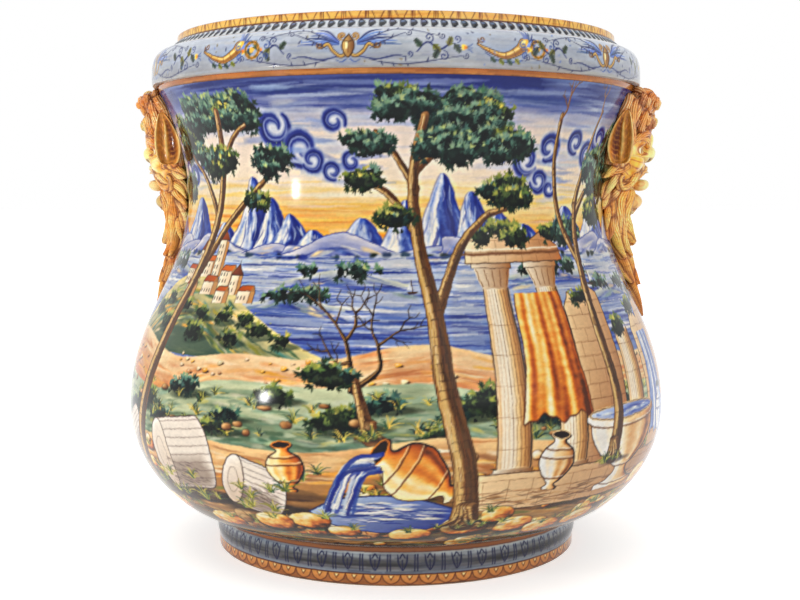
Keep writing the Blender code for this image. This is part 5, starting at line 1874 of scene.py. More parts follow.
def sampled(canvas, x, y):
    """The canvas's colours at points in mm, between its cells."""
    fx = (x + canvas.girth / 2) / canvas.res - 0.5
    fy = np.clip(y / canvas.res, 0, canvas.rows - 1.001)
    ix, iy = np.floor(fx).astype(int), fy.astype(int)
    tx, ty = (fx - ix)[..., None], (fy - iy)[..., None]
    left, right = ix % canvas.columns, (ix + 1) % canvas.columns
    low = canvas.img[iy, left] * (1 - tx) + canvas.img[iy, right] * tx
    high = canvas.img[iy + 1, left] * (1 - tx) + canvas.img[iy + 1, right] * tx
    return low * (1 - ty) + high * ty


def quick_mesh(name, points, quads, triangles):
    """A mesh from arrays of points, quads and, where not None, triangles."""
    mesh = bpy.data.meshes.new(name)
    faces = [np.asarray(quads, np.int32)]
    sizes = [np.full(len(quads), 4, np.int32)]
    if triangles is not None:
        faces.append(np.asarray(triangles, np.int32))
        sizes.append(np.full(len(triangles), 3, np.int32))
    loops = np.concatenate([f.ravel() for f in faces])
    starts = np.concatenate([[0], np.cumsum(np.concatenate(sizes))[:-1]]).astype(np.int32)
    mesh.vertices.add(len(points))
    mesh.vertices.foreach_set("co", np.asarray(points, np.float32).ravel())
    mesh.loops.add(len(loops))
    mesh.loops.foreach_set("vertex_index", loops)
    mesh.polygons.add(len(starts))
    mesh.polygons.foreach_set("loop_start", starts)
    mesh.update(calc_edges=True)
    return mesh


def lathe(name, profile, paint, strips, closed, lift):
    """A turned piece. The profile climbs its inner side and comes down its outer side, in metres.

    paint holds a colour for each row and column, and strips each row's place in the bake map. An open profile
    starts and ends on the axis. lift, where not None, moves the points outwards by row and column, in metres.
    """
    rows, columns = len(profile), COLUMNS
    angle = 2 * pi * np.arange(columns) / columns
    radius = np.repeat(profile[:, 0][:, None], columns, 1)
    height = np.repeat(profile[:, 1][:, None], columns, 1)
    if lift is not None:
        along = np.gradient(profile, axis=0)
        along /= np.linalg.norm(along, axis=1)[:, None] + 1e-12
        radius = radius - lift * along[:, 1][:, None]
        height = height + lift * along[:, 0][:, None]
    points = np.stack([radius * np.sin(angle), -radius * np.cos(angle), height], -1)
    index = np.arange(rows * columns).reshape(rows, columns)
    next_column = np.roll(index, -1, 1)
    first = np.arange(rows) if closed else np.arange(1, rows - 2)
    after = (first + 1) % rows
    quads = np.stack(
        [index[after], next_column[after], next_column[first], index[first]], -1
    ).reshape(-1, 4)

    at_column = np.arange(columns)
    back = (at_column >= columns // 4) & (at_column < 3 * columns // 4)
    start = np.where(
        back, at_column - columns // 4, (at_column - 3 * columns // 4) % columns
    ) / (columns / 2)
    start = 0.004 + 0.992 * start
    end = start + 0.992 * 2 / columns
    here, following = (np.where(back, strips[:, 2 + i][:, None], strips[:, i][:, None]) for i in (0, 1))
    u = np.broadcast_to(np.stack([start, end, end, start], -1), (len(first), columns, 4))
    v = np.stack([following[first], following[first], here[first], here[first]], -1)
    uv = [np.stack([u, v], -1).reshape(-1, 2)]
    triangles = None
    if not closed:
        hub = np.full(columns, index[0, 0]), np.full(columns, index[-1, 0])
        triangles = np.concatenate(
            [
                np.stack([index[1], next_column[1], hub[0]], -1),
                np.stack([hub[1], next_column[-2], index[-2]], -1),
            ]
        )
        middle = (start + end) / 2
        uv += [
            np.stack(
                [np.stack([start, end, middle], -1), np.stack([following[0], following[0], here[0]], -1)],
                -1,
            ),
            np.stack(
                [np.stack([middle, end, start], -1), np.stack([following[-2], here[-2], here[-2]], -1)], -1
            ),
        ]
        uv = [part.reshape(-1, 2) for part in uv]
    flat = points.reshape(-1, 3)
    colours = np.ones((rows * columns, 4), np.float32)
    colours[:, :3] = linear(np.asarray(paint).reshape(-1, 3))
    if not closed:
        # Only the first point of each end row stays, as the hub on the axis.
        keep = np.ones(rows * columns, bool)
        keep[1:columns] = False
        keep[-columns + 1 :] = False
        renumber = np.cumsum(keep) - 1
        quads, triangles = renumber[quads], renumber[triangles]
        flat, colours = flat[keep], colours[keep]
    mesh = quick_mesh(name, flat, quads, triangles)
    mesh.attributes.new("paint", "FLOAT_COLOR", "POINT").data.foreach_set("color", colours.ravel())
    mesh.uv_layers.new(name="OFBake").data.foreach_set("uv", np.concatenate(uv).astype(np.float32).ravel())
    mesh.shade_smooth()
    mesh.set_sharp_from_angle(angle=radians(38))
    obj = bpy.data.objects.new(name, mesh)
    bpy.context.scene.collection.objects.link(obj)
    return obj


# Where fine rows and other rows start in the bake map, how much they take up, and how far up their back lies
FINE_START, FINE_SHARE, FINE_BACK = 0.004, 0.36, 0.372
REST_START, REST_SHARE, REST_BACK = 0.756, 0.12, 0.122


def strips_for(profile, closed, fine):
    """Rows' places in the bake map. Fine rows get seven tenths of it, and the rest share what is left.

    Each row of the result is (front v here, front v at the next row, back v here, back v at the next row).
    """
    rows = len(profile)
    nxt = np.roll(profile, -1, axis=0)
    step = np.linalg.norm(nxt - profile, axis=1)
    if not closed:
        step[-1] = 0
    out = np.zeros((rows, 4))
    fine = np.asarray(fine, bool)
    total_fine, total_rest = step[fine].sum(), step[~fine].sum()
    scale_fine = FINE_SHARE / total_fine if total_fine else 0
    scale_rest = REST_SHARE / total_rest if total_rest else 0
    at_fine, at_rest = FINE_START, REST_START
    for i in range(rows):
        if fine[i]:
            end = at_fine + step[i] * scale_fine
            out[i] = at_fine, end, at_fine + FINE_BACK, end + FINE_BACK
            at_fine = end
        else:
            end = at_rest + step[i] * scale_rest
            out[i] = at_rest, end, at_rest + REST_BACK, end + REST_BACK
            at_rest = end
    return out


# Satyr masks, laid out in mm as (across the mask, drop from its top, stand-off from the wall)

MASK_TOP = 361.0
MASK_VOXEL = 0.62
SUNK = 0.5
STRAND_PITCH = 2.2
STRAND_RELIEF = 0.7
EAR_LENGTH, EAR_WIDTH, EAR_THICKNESS, EAR_DISH, EAR_TOP, EAR_OFFSET = 40.0, 19.5, 4.2, 4.2, 19.5, 46.5
EAR_LOBE_OUT, EAR_TIP_OUT = 12.5, 6.0
EYE = (15.6, 48.2)
# Hair that would stand further out than the first is eased back over the second.
FREE_REACH, EASED_REACH = 208.5, 3.4


def body_radius(height):
    """The outside of the wall and the collar, in mm."""
    line = np.concatenate([outer_wall, collar["band"][1:], collar["roll"]]) * 1000
    return np.interp(height, np.maximum.accumulate(line[:, 1]), line[:, 0])


def on_wall(place):
    """World points in mm of (across, drop, out) rows, for the mask at +X."""
    across, drop, out = np.asarray(place, float).T[:3]
    height = MASK_TOP - drop
    angle = across / (WAIST_RADIUS * 1000)
    reach = wall_radius(height / 1000) * 1000 + out
    return np.stack([reach * np.cos(angle), reach * np.sin(angle), height], 1)


def off_wall(points):
    """(across, drop, out) of world points in mm."""
    x, y, z = points.T
    across = np.arctan2(y, x) * WAIST_RADIUS * 1000
    return np.stack([across, MASK_TOP - z, np.hypot(x, y) - wall_radius(z / 1000) * 1000], 1)


PATH_STEP = 1.6


def smooth_path(knots):
    """A Catmull-Rom curve through rows of numbers, sampled about every step along its first three."""
    knots = np.array(knots, float)
    padded = np.concatenate([[2 * knots[0] - knots[1]], knots, [2 * knots[-1] - knots[-2]]])
    reach = np.linalg.norm(np.diff(knots[:, :3], axis=0), axis=1).sum()
    at = np.linspace(0, len(knots) - 1, max(6, int(reach / PATH_STEP)))
    i = np.minimum(at.astype(int), len(knots) - 2)
    t = (at - i)[:, None]
    a, b, c, d = (padded[i + k] for k in range(4))
    return through(a, b, c, d, t)


STRAND_SPREAD, STRAND_SHARE = 0.5, 0.58


def bundle(knots, count, turns, phase):
    """One lock parted into strands that wind round each other and run together at the tip."""
    path = smooth_path(knots)
    run = lengths(path[:, :3])
    run /= run[-1]
    along = np.gradient(path[:, :3], axis=0)
    along /= np.linalg.norm(along, axis=1)[:, None] + 1e-9
    outward = np.array([0.0, 0.0, 1.0]) - along * along[:, 2:3]
    outward /= np.linalg.norm(outward, axis=1)[:, None] + 1e-9
    side = np.cross(along, outward)
    found = []
    for i in range(count):
        angle = 2 * pi * (i / count + turns * run + phase)
        reach = (path[:, 3] * STRAND_SPREAD)[:, None]
        middle = path[:, :3] + reach * (np.cos(angle)[:, None] * outward + np.sin(angle)[:, None] * side)
        found.append(np.column_stack([middle, path[:, 3] * STRAND_SHARE]))
    return found


# (kind, strands, turns, phase, knots) of the locks that stand on both sides, laid out for the side of +across
PAIRED_LOCKS = (
    # hair in front of the ear, waved
    (
        "hair", 3, 0.45, 0.0,
        ((33, 12, 7, 6.5), (38, 25, 9.5, 6), (33.5, 39, 12.5, 5.5), (38, 51, 11, 5), (33, 62, 12.5, 3.4)),
    ),
    ("hair", 2, 0.3, 0.2, ((40, 8, 2.5, 6.5), (43, 26, 3, 6), (42, 44, 4, 6), (41, 60, 5, 5))),
    # brow, drawn down over the nose
    (
        "brow", 2, 0.35, 0.0,
        (
            (31, 44.5, 12.5, 3.2), (24, 39, 18.5, 4.6), (14, 37, 24, 5.2), (6, 41, 27.2, 4.2),
            (2.5, 45, 27.5, 2.8),
        ),
    ),
    # moustache, its ends curled up
    (
        "lip", 3, 0.5, 0.0,
        (
            (1.5, 61, 28.4, 3.4), (9, 62.5, 27, 4.6), (19, 68, 22.5, 4.6), (27.5, 76, 17, 4.0),
            (34.5, 77, 13, 3.0), (37, 71, 12.5, 2.2), (33, 68.5, 15, 1.7),
        ),
    ),
    # small tuft under the lip, rolled into the chin curl
    (
        "chin", 2, 0.4, 0.0,
        (
            (10, 79, 20.5, 3.0), (13.5, 86, 20, 3.8), (11, 93, 19.5, 3.6), (5, 95.5, 21, 2.8),
            (3, 92, 25, 2.0),
        ),
    ),
    # beard: locks that run down into the tail
    (
        "beard", 3, 0.22, 0.0,
        (
            (12, 79, 16, 8.2), (17, 94, 11.5, 8.4), (12.5, 110, 8.5, 8), (8.5, 124, 9.5, 5.4),
            (11, 132, 12, 2.6),
        ),
    ),
    (
        "beard", 3, 0.22, 0.3,
        (
            (25, 76, 11, 8.6), (30.5, 91, 6.5, 8.4), (24.5, 107, 5, 7.6), (17.5, 121, 4.5, 5.6),
            (17, 132, 6.5, 2.8),
        ),
    ),
    (
        "beard", 3, 0.22, 0.1,
        ((10, 108, 3.5, 8), (12.5, 124, 2.5, 7), (7.5, 141, 3, 5.6), (5.5, 152, 5, 2.6)),
    ),
)


def mask_locks():
    """Hair, brows, moustache and beard: (kind, path) with paths as rows of (across, drop, out, radius)."""
    found = []

    def lock(kind, knots, count=1, turns=0.4, phase=0.0):
        if count == 1:
            found.append((kind, smooth_path(knots)))
        else:
            found.extend((kind, path) for path in bundle(knots, count, turns, phase))

    def snail(across, drop, out, size, hand, phase, rise):
        t = np.linspace(0, 1, 34)
        turn = phase + hand * t**0.85 * 2.7 * pi
        reach = size * (1 - 0.78 * t)
        middle = across + reach * np.cos(turn), drop + reach * np.sin(turn), out + rise * np.sin(t * pi / 2)
        found.append(("hair", np.stack([*middle, size * (0.44 - 0.16 * t)], 1)))

    # two rows of snail curls roll over the brow, the middle ones proudest, under short locks of the crown
    for i in range(-3, 4):
        lean, back = 10.9 * i, 1.55 * i * i
        snail(lean, 27.5 + 2.2 * (i % 2), 23.3 - back, 7.0, 1 if i > 0 else -1, pi * 1.5, 5.2)
        knots = [
            (lean * 0.94, 17, 17 - back, 5.5), (lean, 25, 18 - back, 6), (lean * 1.02, 34, 15 - back, 4.8)
        ]
        lock("hair", knots, 2, 0.4, 0.2 * i)
    for i in range(-3, 3):
        lean, back = 11.2 * (i + 0.5), 1.35 * (i + 0.5) ** 2
        snail(lean, 12.5 + 1.5 * (i % 2), 19.6 - back, 6.6, 1 if i >= 0 else -1, pi * 1.35, 5.4)
        knots = [
            (lean * 0.84, 4.5, 4 - back / 3, 4.6), (lean * 0.94, 4.8, 12 - back, 5),
            (lean * 1.05, 8.5, 18 - back, 4.2),
        ]
        lock("hair", knots, 2, 0.5, 0.3 * i)
    lock("hair", [(-30, 14, 5, 9), (0, 12, 11, 11), (30, 14, 5, 9)])
    for s in (-1, 1):
        for kind, count, turns, phase, knots in PAIRED_LOCKS:
            lock(kind, [(across * s, *rest) for across, *rest in knots], count, turns, phase)
        # whiskers sweep back from the cheek and lie on the wall
        for i in range(5):
            turn = 1 if i % 2 else -1
            lock(
                "whisker",
                [
                    ((28 - i) * s, 60 + 7.5 * i, 14.5 - 1.6 * i, 5),
                    ((36 - i) * s, 62 + 9.5 * i, 9.5 - 1.3 * i, 5.2),
                    ((43.5 - 1.8 * i) * s, 67 + 11 * i, 3.8 - 0.5 * i, 4.2),
                    ((48 - 2.6 * i) * s, (74 if turn > 0 else 70) + 12 * i, 1.2 - 0.2 * i, 1.2),
                ],
                2, 0.5, 0.17 * i,
            )
    # middle lock of the beard, whose tip flicks out, and the tail below it
    lock(
        "beard",
        [(0, 84, 15, 9.5), (0, 98, 11.5, 10), (1, 110, 12.5, 9), (0, 118, 16.5, 5), (-1, 121.5, 19.5, 2.4)],
        4, 0.25,
    )
    lock(
        "beard",
        [
            (0, 104, 3, 12), (1.5, 121, 5, 10.5), (-1, 137, 5, 8), (1, 150, 3.6, 6), (-0.5, 165, 2.2, 4.2),
            (0, 179.6, 0.8, 1.4),
        ],
        4, 0.5,
    )
    lock("beard", [(-2, 130, 8, 5), (1.5, 140, 9.5, 4.6), (0.5, 149, 9, 3), (-1.5, 154, 10, 1.6)], 2, 0.6)
    return found


def mask_flesh():
    """Rounded masses as (kind, centre, half sizes)."""
    found = [
        ("skin", (0, 56, 3.5), (38, 37, 23.5)),
        ("skin", (0, 45, 22), (5, 12, 7)),
        ("nose", (0, 51.2, 30.2), (6.4, 6.6, 6.4)),
        ("nose", (0, 43.5, 27.2), (4.6, 9.5, 5.4)),
        ("chin", (0, 88, 21), (8.6, 6.8, 9.6)),
        ("hair", (0, 21, 3), (38, 19, 17.5)),
    ]
    for s in (-1, 1):
        found += [
            ("nose", (6.8 * s, 53.8, 26.5), (4.6, 4.4, 5.4)),
            ("mouth", (4.4 * s, 75, 28), (6.8, 5.0, 6.8)),
            ("mouth", (3.4 * s, 66, 27.8), (6.4, 3.0, 5.8)),
            ("skin", (21 * s, 58.5, 17), (10.5, 8.5, 11)),
            ("skin", (16 * s, 65, 18), (8, 6, 9)),
            ("eye", (15.5 * s, 47.6, 17.6), (6.6, 5.2, 6)),
        ]
    return found


# The lids and the folds under them, as (kind, path) for the side of +across
LIDS = (
    (
        "lid",
        (
            (8.2, 48.6, 21, 1.2), (11.5, 44.6, 23.4, 1.7), (17, 43.4, 23.6, 1.9), (22.5, 46.6, 19.6, 1.5),
            (25, 49.8, 16.4, 1),
        ),
    ),
    ("lid", ((8.2, 49, 21, 1.1), (12.5, 52.4, 22.6, 1.4), (18, 52.6, 21.6, 1.5), (23, 50.4, 18, 1.1))),
    ("skin", ((9, 53.5, 21.5, 1.4), (14, 56.4, 21.8, 1.8), (20, 56, 20, 1.6))),
    ("skin", ((9, 57, 24.5, 1.6), (15, 60.5, 23, 2.2), (22, 66.5, 20, 2))),
)


def mask_lids():
    """The lids and folds of both sides, as paths like the locks."""
    return [
        (kind, smooth_path([(across * s, *rest) for across, *rest in knots]))
        for s in (-1, 1)
        for kind, knots in LIDS
    ]


def mask_mesh(locks, flesh):
    """Locks and masses run together in clay, as points, normals, quads and triangles."""
    tubes = bpy.data.curves.new("mask_locks", "CURVE")
    tubes.dimensions = "3D"
    tubes.bevel_depth = 1.0
    tubes.bevel_resolution = 3
    tubes.use_fill_caps = True
    for _, path in locks:
        spline = tubes.splines.new("POLY")
        spline.points.add(len(path) - 1)
        points = on_wall(path)
        spline.points.foreach_set(
            "co", np.column_stack([points, np.ones(len(points))]).astype(np.float32).ravel()
        )
        spline.points.foreach_set("radius", path[:, 3].astype(np.float32))
    hair = bpy.data.objects.new("mask_locks", tubes)
    bpy.context.scene.collection.objects.link(hair)
    bpy.context.view_layer.update()
    bm = bmesh.new()
    bm.from_mesh(bpy.data.meshes.new_from_object(hair.evaluated_get(bpy.context.evaluated_depsgraph_get())))
    bpy.data.objects.remove(hair)
    bmesh.ops.remove_doubles(bm, verts=bm.verts, dist=1e-4)
    for _, centre, half in flesh:
        for vert in bmesh.ops.create_uvsphere(bm, u_segments=32, v_segments=20, radius=1)["verts"]:
            place = [c + h * v for c, h, v in zip(centre, half, (vert.co.y, -vert.co.z, vert.co.x))]
            vert.co = on_wall([place])[0]
    bmesh.ops.recalc_face_normals(bm, faces=bm.faces)
    rough = bpy.data.meshes.new("mask_rough")
    bm.to_mesh(rough)
    bm.free()
    obj = bpy.data.objects.new("mask_rough", rough)
    bpy.context.scene.collection.objects.link(obj)
    press = obj.modifiers.new("press", "REMESH")
    press.mode = "VOXEL"
    press.voxel_size = MASK_VOXEL
    settle = obj.modifiers.new("settle", "SMOOTH")
    settle.factor, settle.iterations = 0.5, 2
    bpy.context.view_layer.update()
    mesh = bpy.data.meshes.new_from_object(obj.evaluated_get(bpy.context.evaluated_depsgraph_get()))
    bpy.data.objects.remove(obj)
    return mesh


def numbers(collection, attribute, width, kind=np.float32):
    """An attribute of all of a mesh's points, loops or faces, as rows of numbers."""
    out = np.empty(len(collection) * width, kind)
    collection.foreach_get(attribute, out)
    return out.reshape(-1, width) if width > 1 else out


def nearest_locks(points, locks):
    """For each point: its lock, how deep the crease to the next lock is, its angle and run on the lock."""
    paths = [on_wall(path) for _, path in locks]
    middles = np.concatenate(paths).astype(np.float32)
    radii = np.concatenate([path[:, 3] for _, path in locks]).astype(np.float32)
    starts = np.concatenate([[0], np.cumsum([len(p) for p in paths])[:-1]])
    along = np.concatenate([np.gradient(p, axis=0) for p in paths])
    along /= np.linalg.norm(along, axis=1)[:, None] + 1e-9
    run = np.concatenate([lengths(p) for p in paths])
    lock = np.empty(len(points), int)
    sample = np.empty(len(points), int)
    near, second = np.empty(len(points)), np.empty(len(points))
    origin = middles.mean(0)
    m = middles - origin
    square = (m**2).sum(1)
    for at in range(0, len(points), 8000):
        p = points[at : at + 8000].astype(np.float32) - origin
        gap = np.sqrt(np.maximum((p**2).sum(1)[:, None] + square - 2 * p @ m.T, 0)) - radii
        best = np.minimum.reduceat(gap, starts, axis=1)
        order = np.argpartition(best, 1, axis=1)[:, :2]
        pair = np.take_along_axis(best, order, 1)
        swap = pair[:, 0] > pair[:, 1]
        lock[at : at + 8000] = np.where(swap, order[:, 1], order[:, 0])
        near[at : at + 8000], second[at : at + 8000] = pair.min(1), pair.max(1)
        sample[at : at + 8000] = gap.argmin(1)
    offset = points - middles[sample]
    t = along[sample]
    ahead = (offset * t).sum(1)
    outward = points.copy()
    outward[:, 2] = 0
    outward /= np.linalg.norm(outward, axis=1)[:, None]
    outward -= t * (outward * t).sum(1)[:, None]
    outward /= np.linalg.norm(outward, axis=1)[:, None] + 1e-9
    side = np.cross(t, outward)
    angle = np.arctan2((offset * side).sum(1), (offset * outward).sum(1))
    return lock, near, second, angle, run[sample] + ahead, radii[sample]


def spot(across, drop, centre, half):
    """How far into an oval a place lies, from 1 at its middle to 0 at its edge."""
    r = ((across - centre[0]) / half[0]) ** 2 + ((drop - centre[1]) / half[1]) ** 2
    return np.clip(1 - r, 0, 1)


def wobble(place, scale, seed):
    """Soft random waves over (across, drop, out), about -1..1."""
    rng = np.random.default_rng(seed)
    total = np.zeros(len(place))
    for _ in range(7):
        direction = rng.normal(0, 1, 3)
        total += np.sin(place @ direction / scale + rng.uniform(0, 2 * pi))
    return total / 3.2


MASK_TINTS = {
    "hair": (228, 150, 76),
    "brow": (230, 150, 62),
    "lip": (246, 196, 112),
    "chin": (234, 190, 128),
    "beard": (240, 164, 64),
    "whisker": (242, 176, 84),
    "skin": (246, 190, 82),
    "nose": (250, 212, 132),
    "mouth": (240, 194, 136),
    "eye": (250, 240, 214),
    "lid": (234, 176, 90),
}
MASK_TONES = np.array([
    (74, 36, 26), (140, 70, 46), (176, 104, 54), (255, 246, 214), (250, 208, 110), (226, 132, 50),
    (146, 140, 104), (196, 92, 60), (255, 232, 170),
]) / 255
EAR_TONES = np.array([(240, 160, 74), (88, 30, 14), (255, 226, 150), (246, 174, 68)]) / 255


def brush_over(colour):
    """A brush that lays a tone over the given colours by a mask in 0..1."""

    def lay(mask, tone):
        colour[:] += np.clip(mask, 0, 1)[..., None] * (tone - colour)

    return lay


def carve_and_paint(mesh, locks, flesh, nearest, seed):
    """Cuts strands, nostrils, eyes and mouth into the mask's points, and gives each its colour."""
    points = numbers(mesh.vertices, "co", 3).astype(float)
    normals = numbers(mesh.vertices, "normal", 3).astype(float)
    lock, near, second, angle, run, radius = nearest
    place = off_wall(points)
    across, drop, out = place.T
    side = np.abs(across)
    kinds = np.array([kind for kind, _ in locks])[lock]
    skin_gap = np.full(len(points), 99.0)
    skin_kind = np.zeros(len(points), int)
    names = [kind for kind, _, _ in flesh]
    for i, (_, centre, half) in enumerate(flesh):
        q = np.linalg.norm((place - centre) / half, axis=1)
        gap = (q - 1) * min(half)
        skin_kind = np.where(gap < skin_gap, i, skin_kind)
        skin_gap = np.minimum(skin_gap, gap)
    flesh_kind = np.array(names)[skin_kind]
    hair = (near < skin_gap) & (kinds != "lid") & (kinds != "skin")
    lid = (near < skin_gap) & (kinds == "lid")
    kinds = np.where(hair, kinds, np.where(lid, "lid", flesh_kind))
    crease = bell(np.where(hair, np.minimum(second, skin_gap), near) - np.where(hair, near, skin_gap), 1.5)
    crease = np.where(hair, crease, crease * 0.55)

    rng = np.random.default_rng(seed)
    turns = np.maximum(
        3, np.round(2 * pi * np.array([path[:, 3].max() for _, path in locks]) / STRAND_PITCH)
    )[lock]
    drift = rng.uniform(0, 2 * pi, len(locks))[lock]
    lean = rng.uniform(0.02, 0.07, len(locks))[lock] * rng.choice([-1, 1], len(locks))[lock]
    wave = 1.5 * np.sin(run / 3.9 + drift) + 1.0 * wobble(place, 5, seed + 1)
    strand = np.abs(np.sin(turns * angle / 2 + lean * run * 2 + wave + drift))
    groove = bell(strand, 0.36)
    depth = STRAND_RELIEF * np.clip(radius / 3.0, 0.35, 1.0)
    relief = np.where(hair, 0.25 * depth * strand - depth * groove, 0)
    # a forehead and cheeks furrowed by hand
    furrow = np.abs(np.sin(drop / 1.5 + 2.2 * np.cos(across / 6.5) + 0.6 * wobble(place, 6, seed + 2)))
    furrow = bell(furrow, 0.3)
    lined = (kinds == "skin") & (drop > 52) & (side > 12)
    relief = np.where(lined, relief - 0.22 * furrow, relief)
    ripple = np.abs(np.sin(drop / 1.3 + 1.7 * np.cos(across / 4.6) + 1.3 * wobble(place, 6, seed + 7)))
    ripple = bell(ripple, 0.30) * np.clip(0.45 + 0.9 * wobble(place, 8, seed + 8), 0, 1)
    relief = np.where(hair & (side > 10), relief - 0.12 * ripple, relief)

    mouth = spot(across, drop + 0.035 * across**2 * 0.4, (0, 69.3), (11.5, 3.4))
    nostril = spot(side, drop, (4.4, 56.4), (2.3, 2.4))
    iris = spot(side, drop, EYE, (2.9, 2.9))
    pupil = spot(side, drop, EYE, (1.3, 1.3))
    ahead = out > 14
    points += normals * relief[:, None]
    sunk_in = np.where(ahead, 7.0 * np.sqrt(mouth) + 3.0 * np.sqrt(nostril), 0)
    sunk_in = sunk_in + np.where(kinds == "eye", 0.9 * np.sqrt(pupil), 0)
    flat = points[:, :2] / np.linalg.norm(points[:, :2], axis=1)[:, None]
    points[:, :2] -= flat * sunk_in[:, None]

    ink, maroon, brown, cream, yellow, orange, olive, rose, pale = MASK_TONES
    colour = np.empty((len(points), 3))
    for kind, tone in MASK_TINTS.items():
        colour[kinds == kind] = np.array(tone) / 255
    own = rng.normal(0, 1, (len(locks), 2))[lock]
    lay = brush_over(colour)
    cloud = wobble(place, 9, seed + 3)
    fine = wobble(place, 2.6, seed + 4)
    lay(np.where(hair, 0.26 * own[:, 0] + 0.04, 0), orange)
    lay(np.where(hair, 0.20 * own[:, 1], 0), maroon)
    lay(np.where(hair & (kinds != "hair"), -0.28 * own[:, 1], 0), cream)
    lay(np.clip(0.60 * cloud, 0, 0.5), yellow)
    lay(np.clip(-0.25 * cloud, 0, 0.35) * (drop < 45), maroon)
    # thin brush lines along the strands, and painted highlights on the raised backs between them
    line = bell(strand, 0.24 + 0.14 * np.clip(fine, -1, 1))
    scalp = kinds == "hair"
    line = line * (np.where(scalp, 0.62, 0.54) + 0.18 * fine)
    lay(np.where(hair, line, 0), np.where(scalp[:, None], maroon * 0.8, maroon))
    ridge = np.clip((strand - 0.60) / 0.36, 0, 1) * np.clip(0.55 + 0.65 * wobble(place, 4, seed + 5), 0, 1)
    lay(np.where(hair, ridge * np.where(scalp, 0.88, 0.90), 0), np.where(scalp[:, None], cream, pale))
    # wavy brush lines drawn over everything but the face, and over the lips and chin
    lay(np.where(hair & (side > 10), 0.34 * ripple, 0), rose * 0.7)
    wisp = bell(np.abs(np.sin(across / 1.25 + 1.2 * np.sin(drop / 3.1))), 0.3)
    lay(np.where(np.isin(kinds, ["mouth", "chin"]), (0.5 + 0.3 * fine) * wisp, 0), brown)
    # highlights on what stands proud
    proud = np.clip((out - 25) / 9, 0, 1)
    lay(proud * np.where(hair, 0.25, 0.55) * (kinds != "eye"), cream)
    lay(np.where(kinds == "nose", spot(side, drop, (0, 50), (4, 7)) * 0.8, 0), cream)
    lay(np.where(~hair, 0.5 * spot(side, drop, (21, 61), (9, 7)) * (0.6 + 0.5 * fine), 0), rose)
    lay(np.where(lined, furrow * (0.6 + 0.4 * fine), 0), rose * 0.75)
    lay(np.where(kinds == "skin", np.clip(0.7 * wobble(place, 4, seed + 9), 0, 0.7), 0), cream)
    # painted shade on the underside of the nose
    lay(np.where((kinds == "nose") & (drop > 53.5), 0.45, 0), olive)
    lay(np.where(kinds == "chin", 0.25 + 0.3 * cloud, 0), olive)
    # painted shade in the creases, together with the dark glaze that pools in them; near black in the deepest
    lay(crease * 0.48, maroon)
    lay(np.clip(crease - 0.72, 0, 1) * 1.7, ink)
    # painted shade on the hair low down by the wall
    shade_near_wall = np.clip((8 - out) / 9, 0, 1) * scalp
    lay(0.45 * shade_near_wall, ink)
    # painted shade inside the mouth and the nostrils
    lay(np.where(ahead, np.clip(1.6 * np.sqrt(mouth) + 1.5 * np.sqrt(nostril), 0, 1) * 0.92, 0), ink)
    eye = ahead & ~hair & ~lid
    lay(eye * np.clip(5 * spot(side, drop, EYE, (6.4, 3.0)), 0, 1), cream)
    lay(eye * np.clip(iris * 4, 0, 1) * 0.85, brown)
    lay(eye * np.clip(pupil * 5, 0, 1), ink)
    rim = bell(np.abs(((side - EYE[0]) / 7.6) ** 2 + ((drop - EYE[1]) / 4.3) ** 2 - 1), 0.28)
    lay(rim * ahead * ~hair * 0.75, maroon)
    tail = np.clip((drop - 140) / 36, 0, 1)
    lay(0.35 * tail, brown)
    colour *= (1 + 0.05 * wobble(place, 1.3, seed + 6))[:, None] * np.array((1.12, 1.09, 0.98))
    return points, np.clip(colour, 0.03, 0.99)


def ear_fullness(s):
    """The share of its full width that an ear has at a place between its lobe, 0, and its tip, 1."""
    return 0.13 + 0.87 * np.sin(pi * np.minimum(1, 0.16 + 0.84 * s**0.85)) ** 0.75


def keep_clear_of_ears(points):
    """Presses the mask's sides in behind the ears, and its back onto the wall."""
    across, drop, out = off_wall(points).T
    s = np.clip((EAR_TOP + EAR_LENGTH - drop) / EAR_LENGTH, 0, 1)
    full = ear_fullness(s)
    middle = EAR_LOBE_OUT + (EAR_TIP_OUT - EAR_LOBE_OUT) * s
    c = (out - middle) / (full * EAR_WIDTH / 2)
    near = (drop > EAR_TOP - 1.5) & (drop < EAR_TOP + EAR_LENGTH + 1.5) & (np.abs(c) < 1.15)
    limit = EAR_OFFSET + EAR_DISH * full**2 * (np.clip(c, -1, 1) ** 2 - 0.5) - EAR_THICKNESS / 2
    side = np.where(near, np.minimum(np.abs(across), limit), np.abs(across))
    angle = np.sign(across) * side / (WAIST_RADIUS * 1000)
    reach = np.hypot(points[:, 0], points[:, 1])
    reach = np.maximum(reach, body_radius(points[:, 2]) - SUNK)
    eased = FREE_REACH + EASED_REACH * np.tanh((reach - FREE_REACH) / EASED_REACH)
    reach = np.where(reach > FREE_REACH, eased, reach)
    return np.stack([reach * np.cos(angle), reach * np.sin(angle), points[:, 2]], 1)


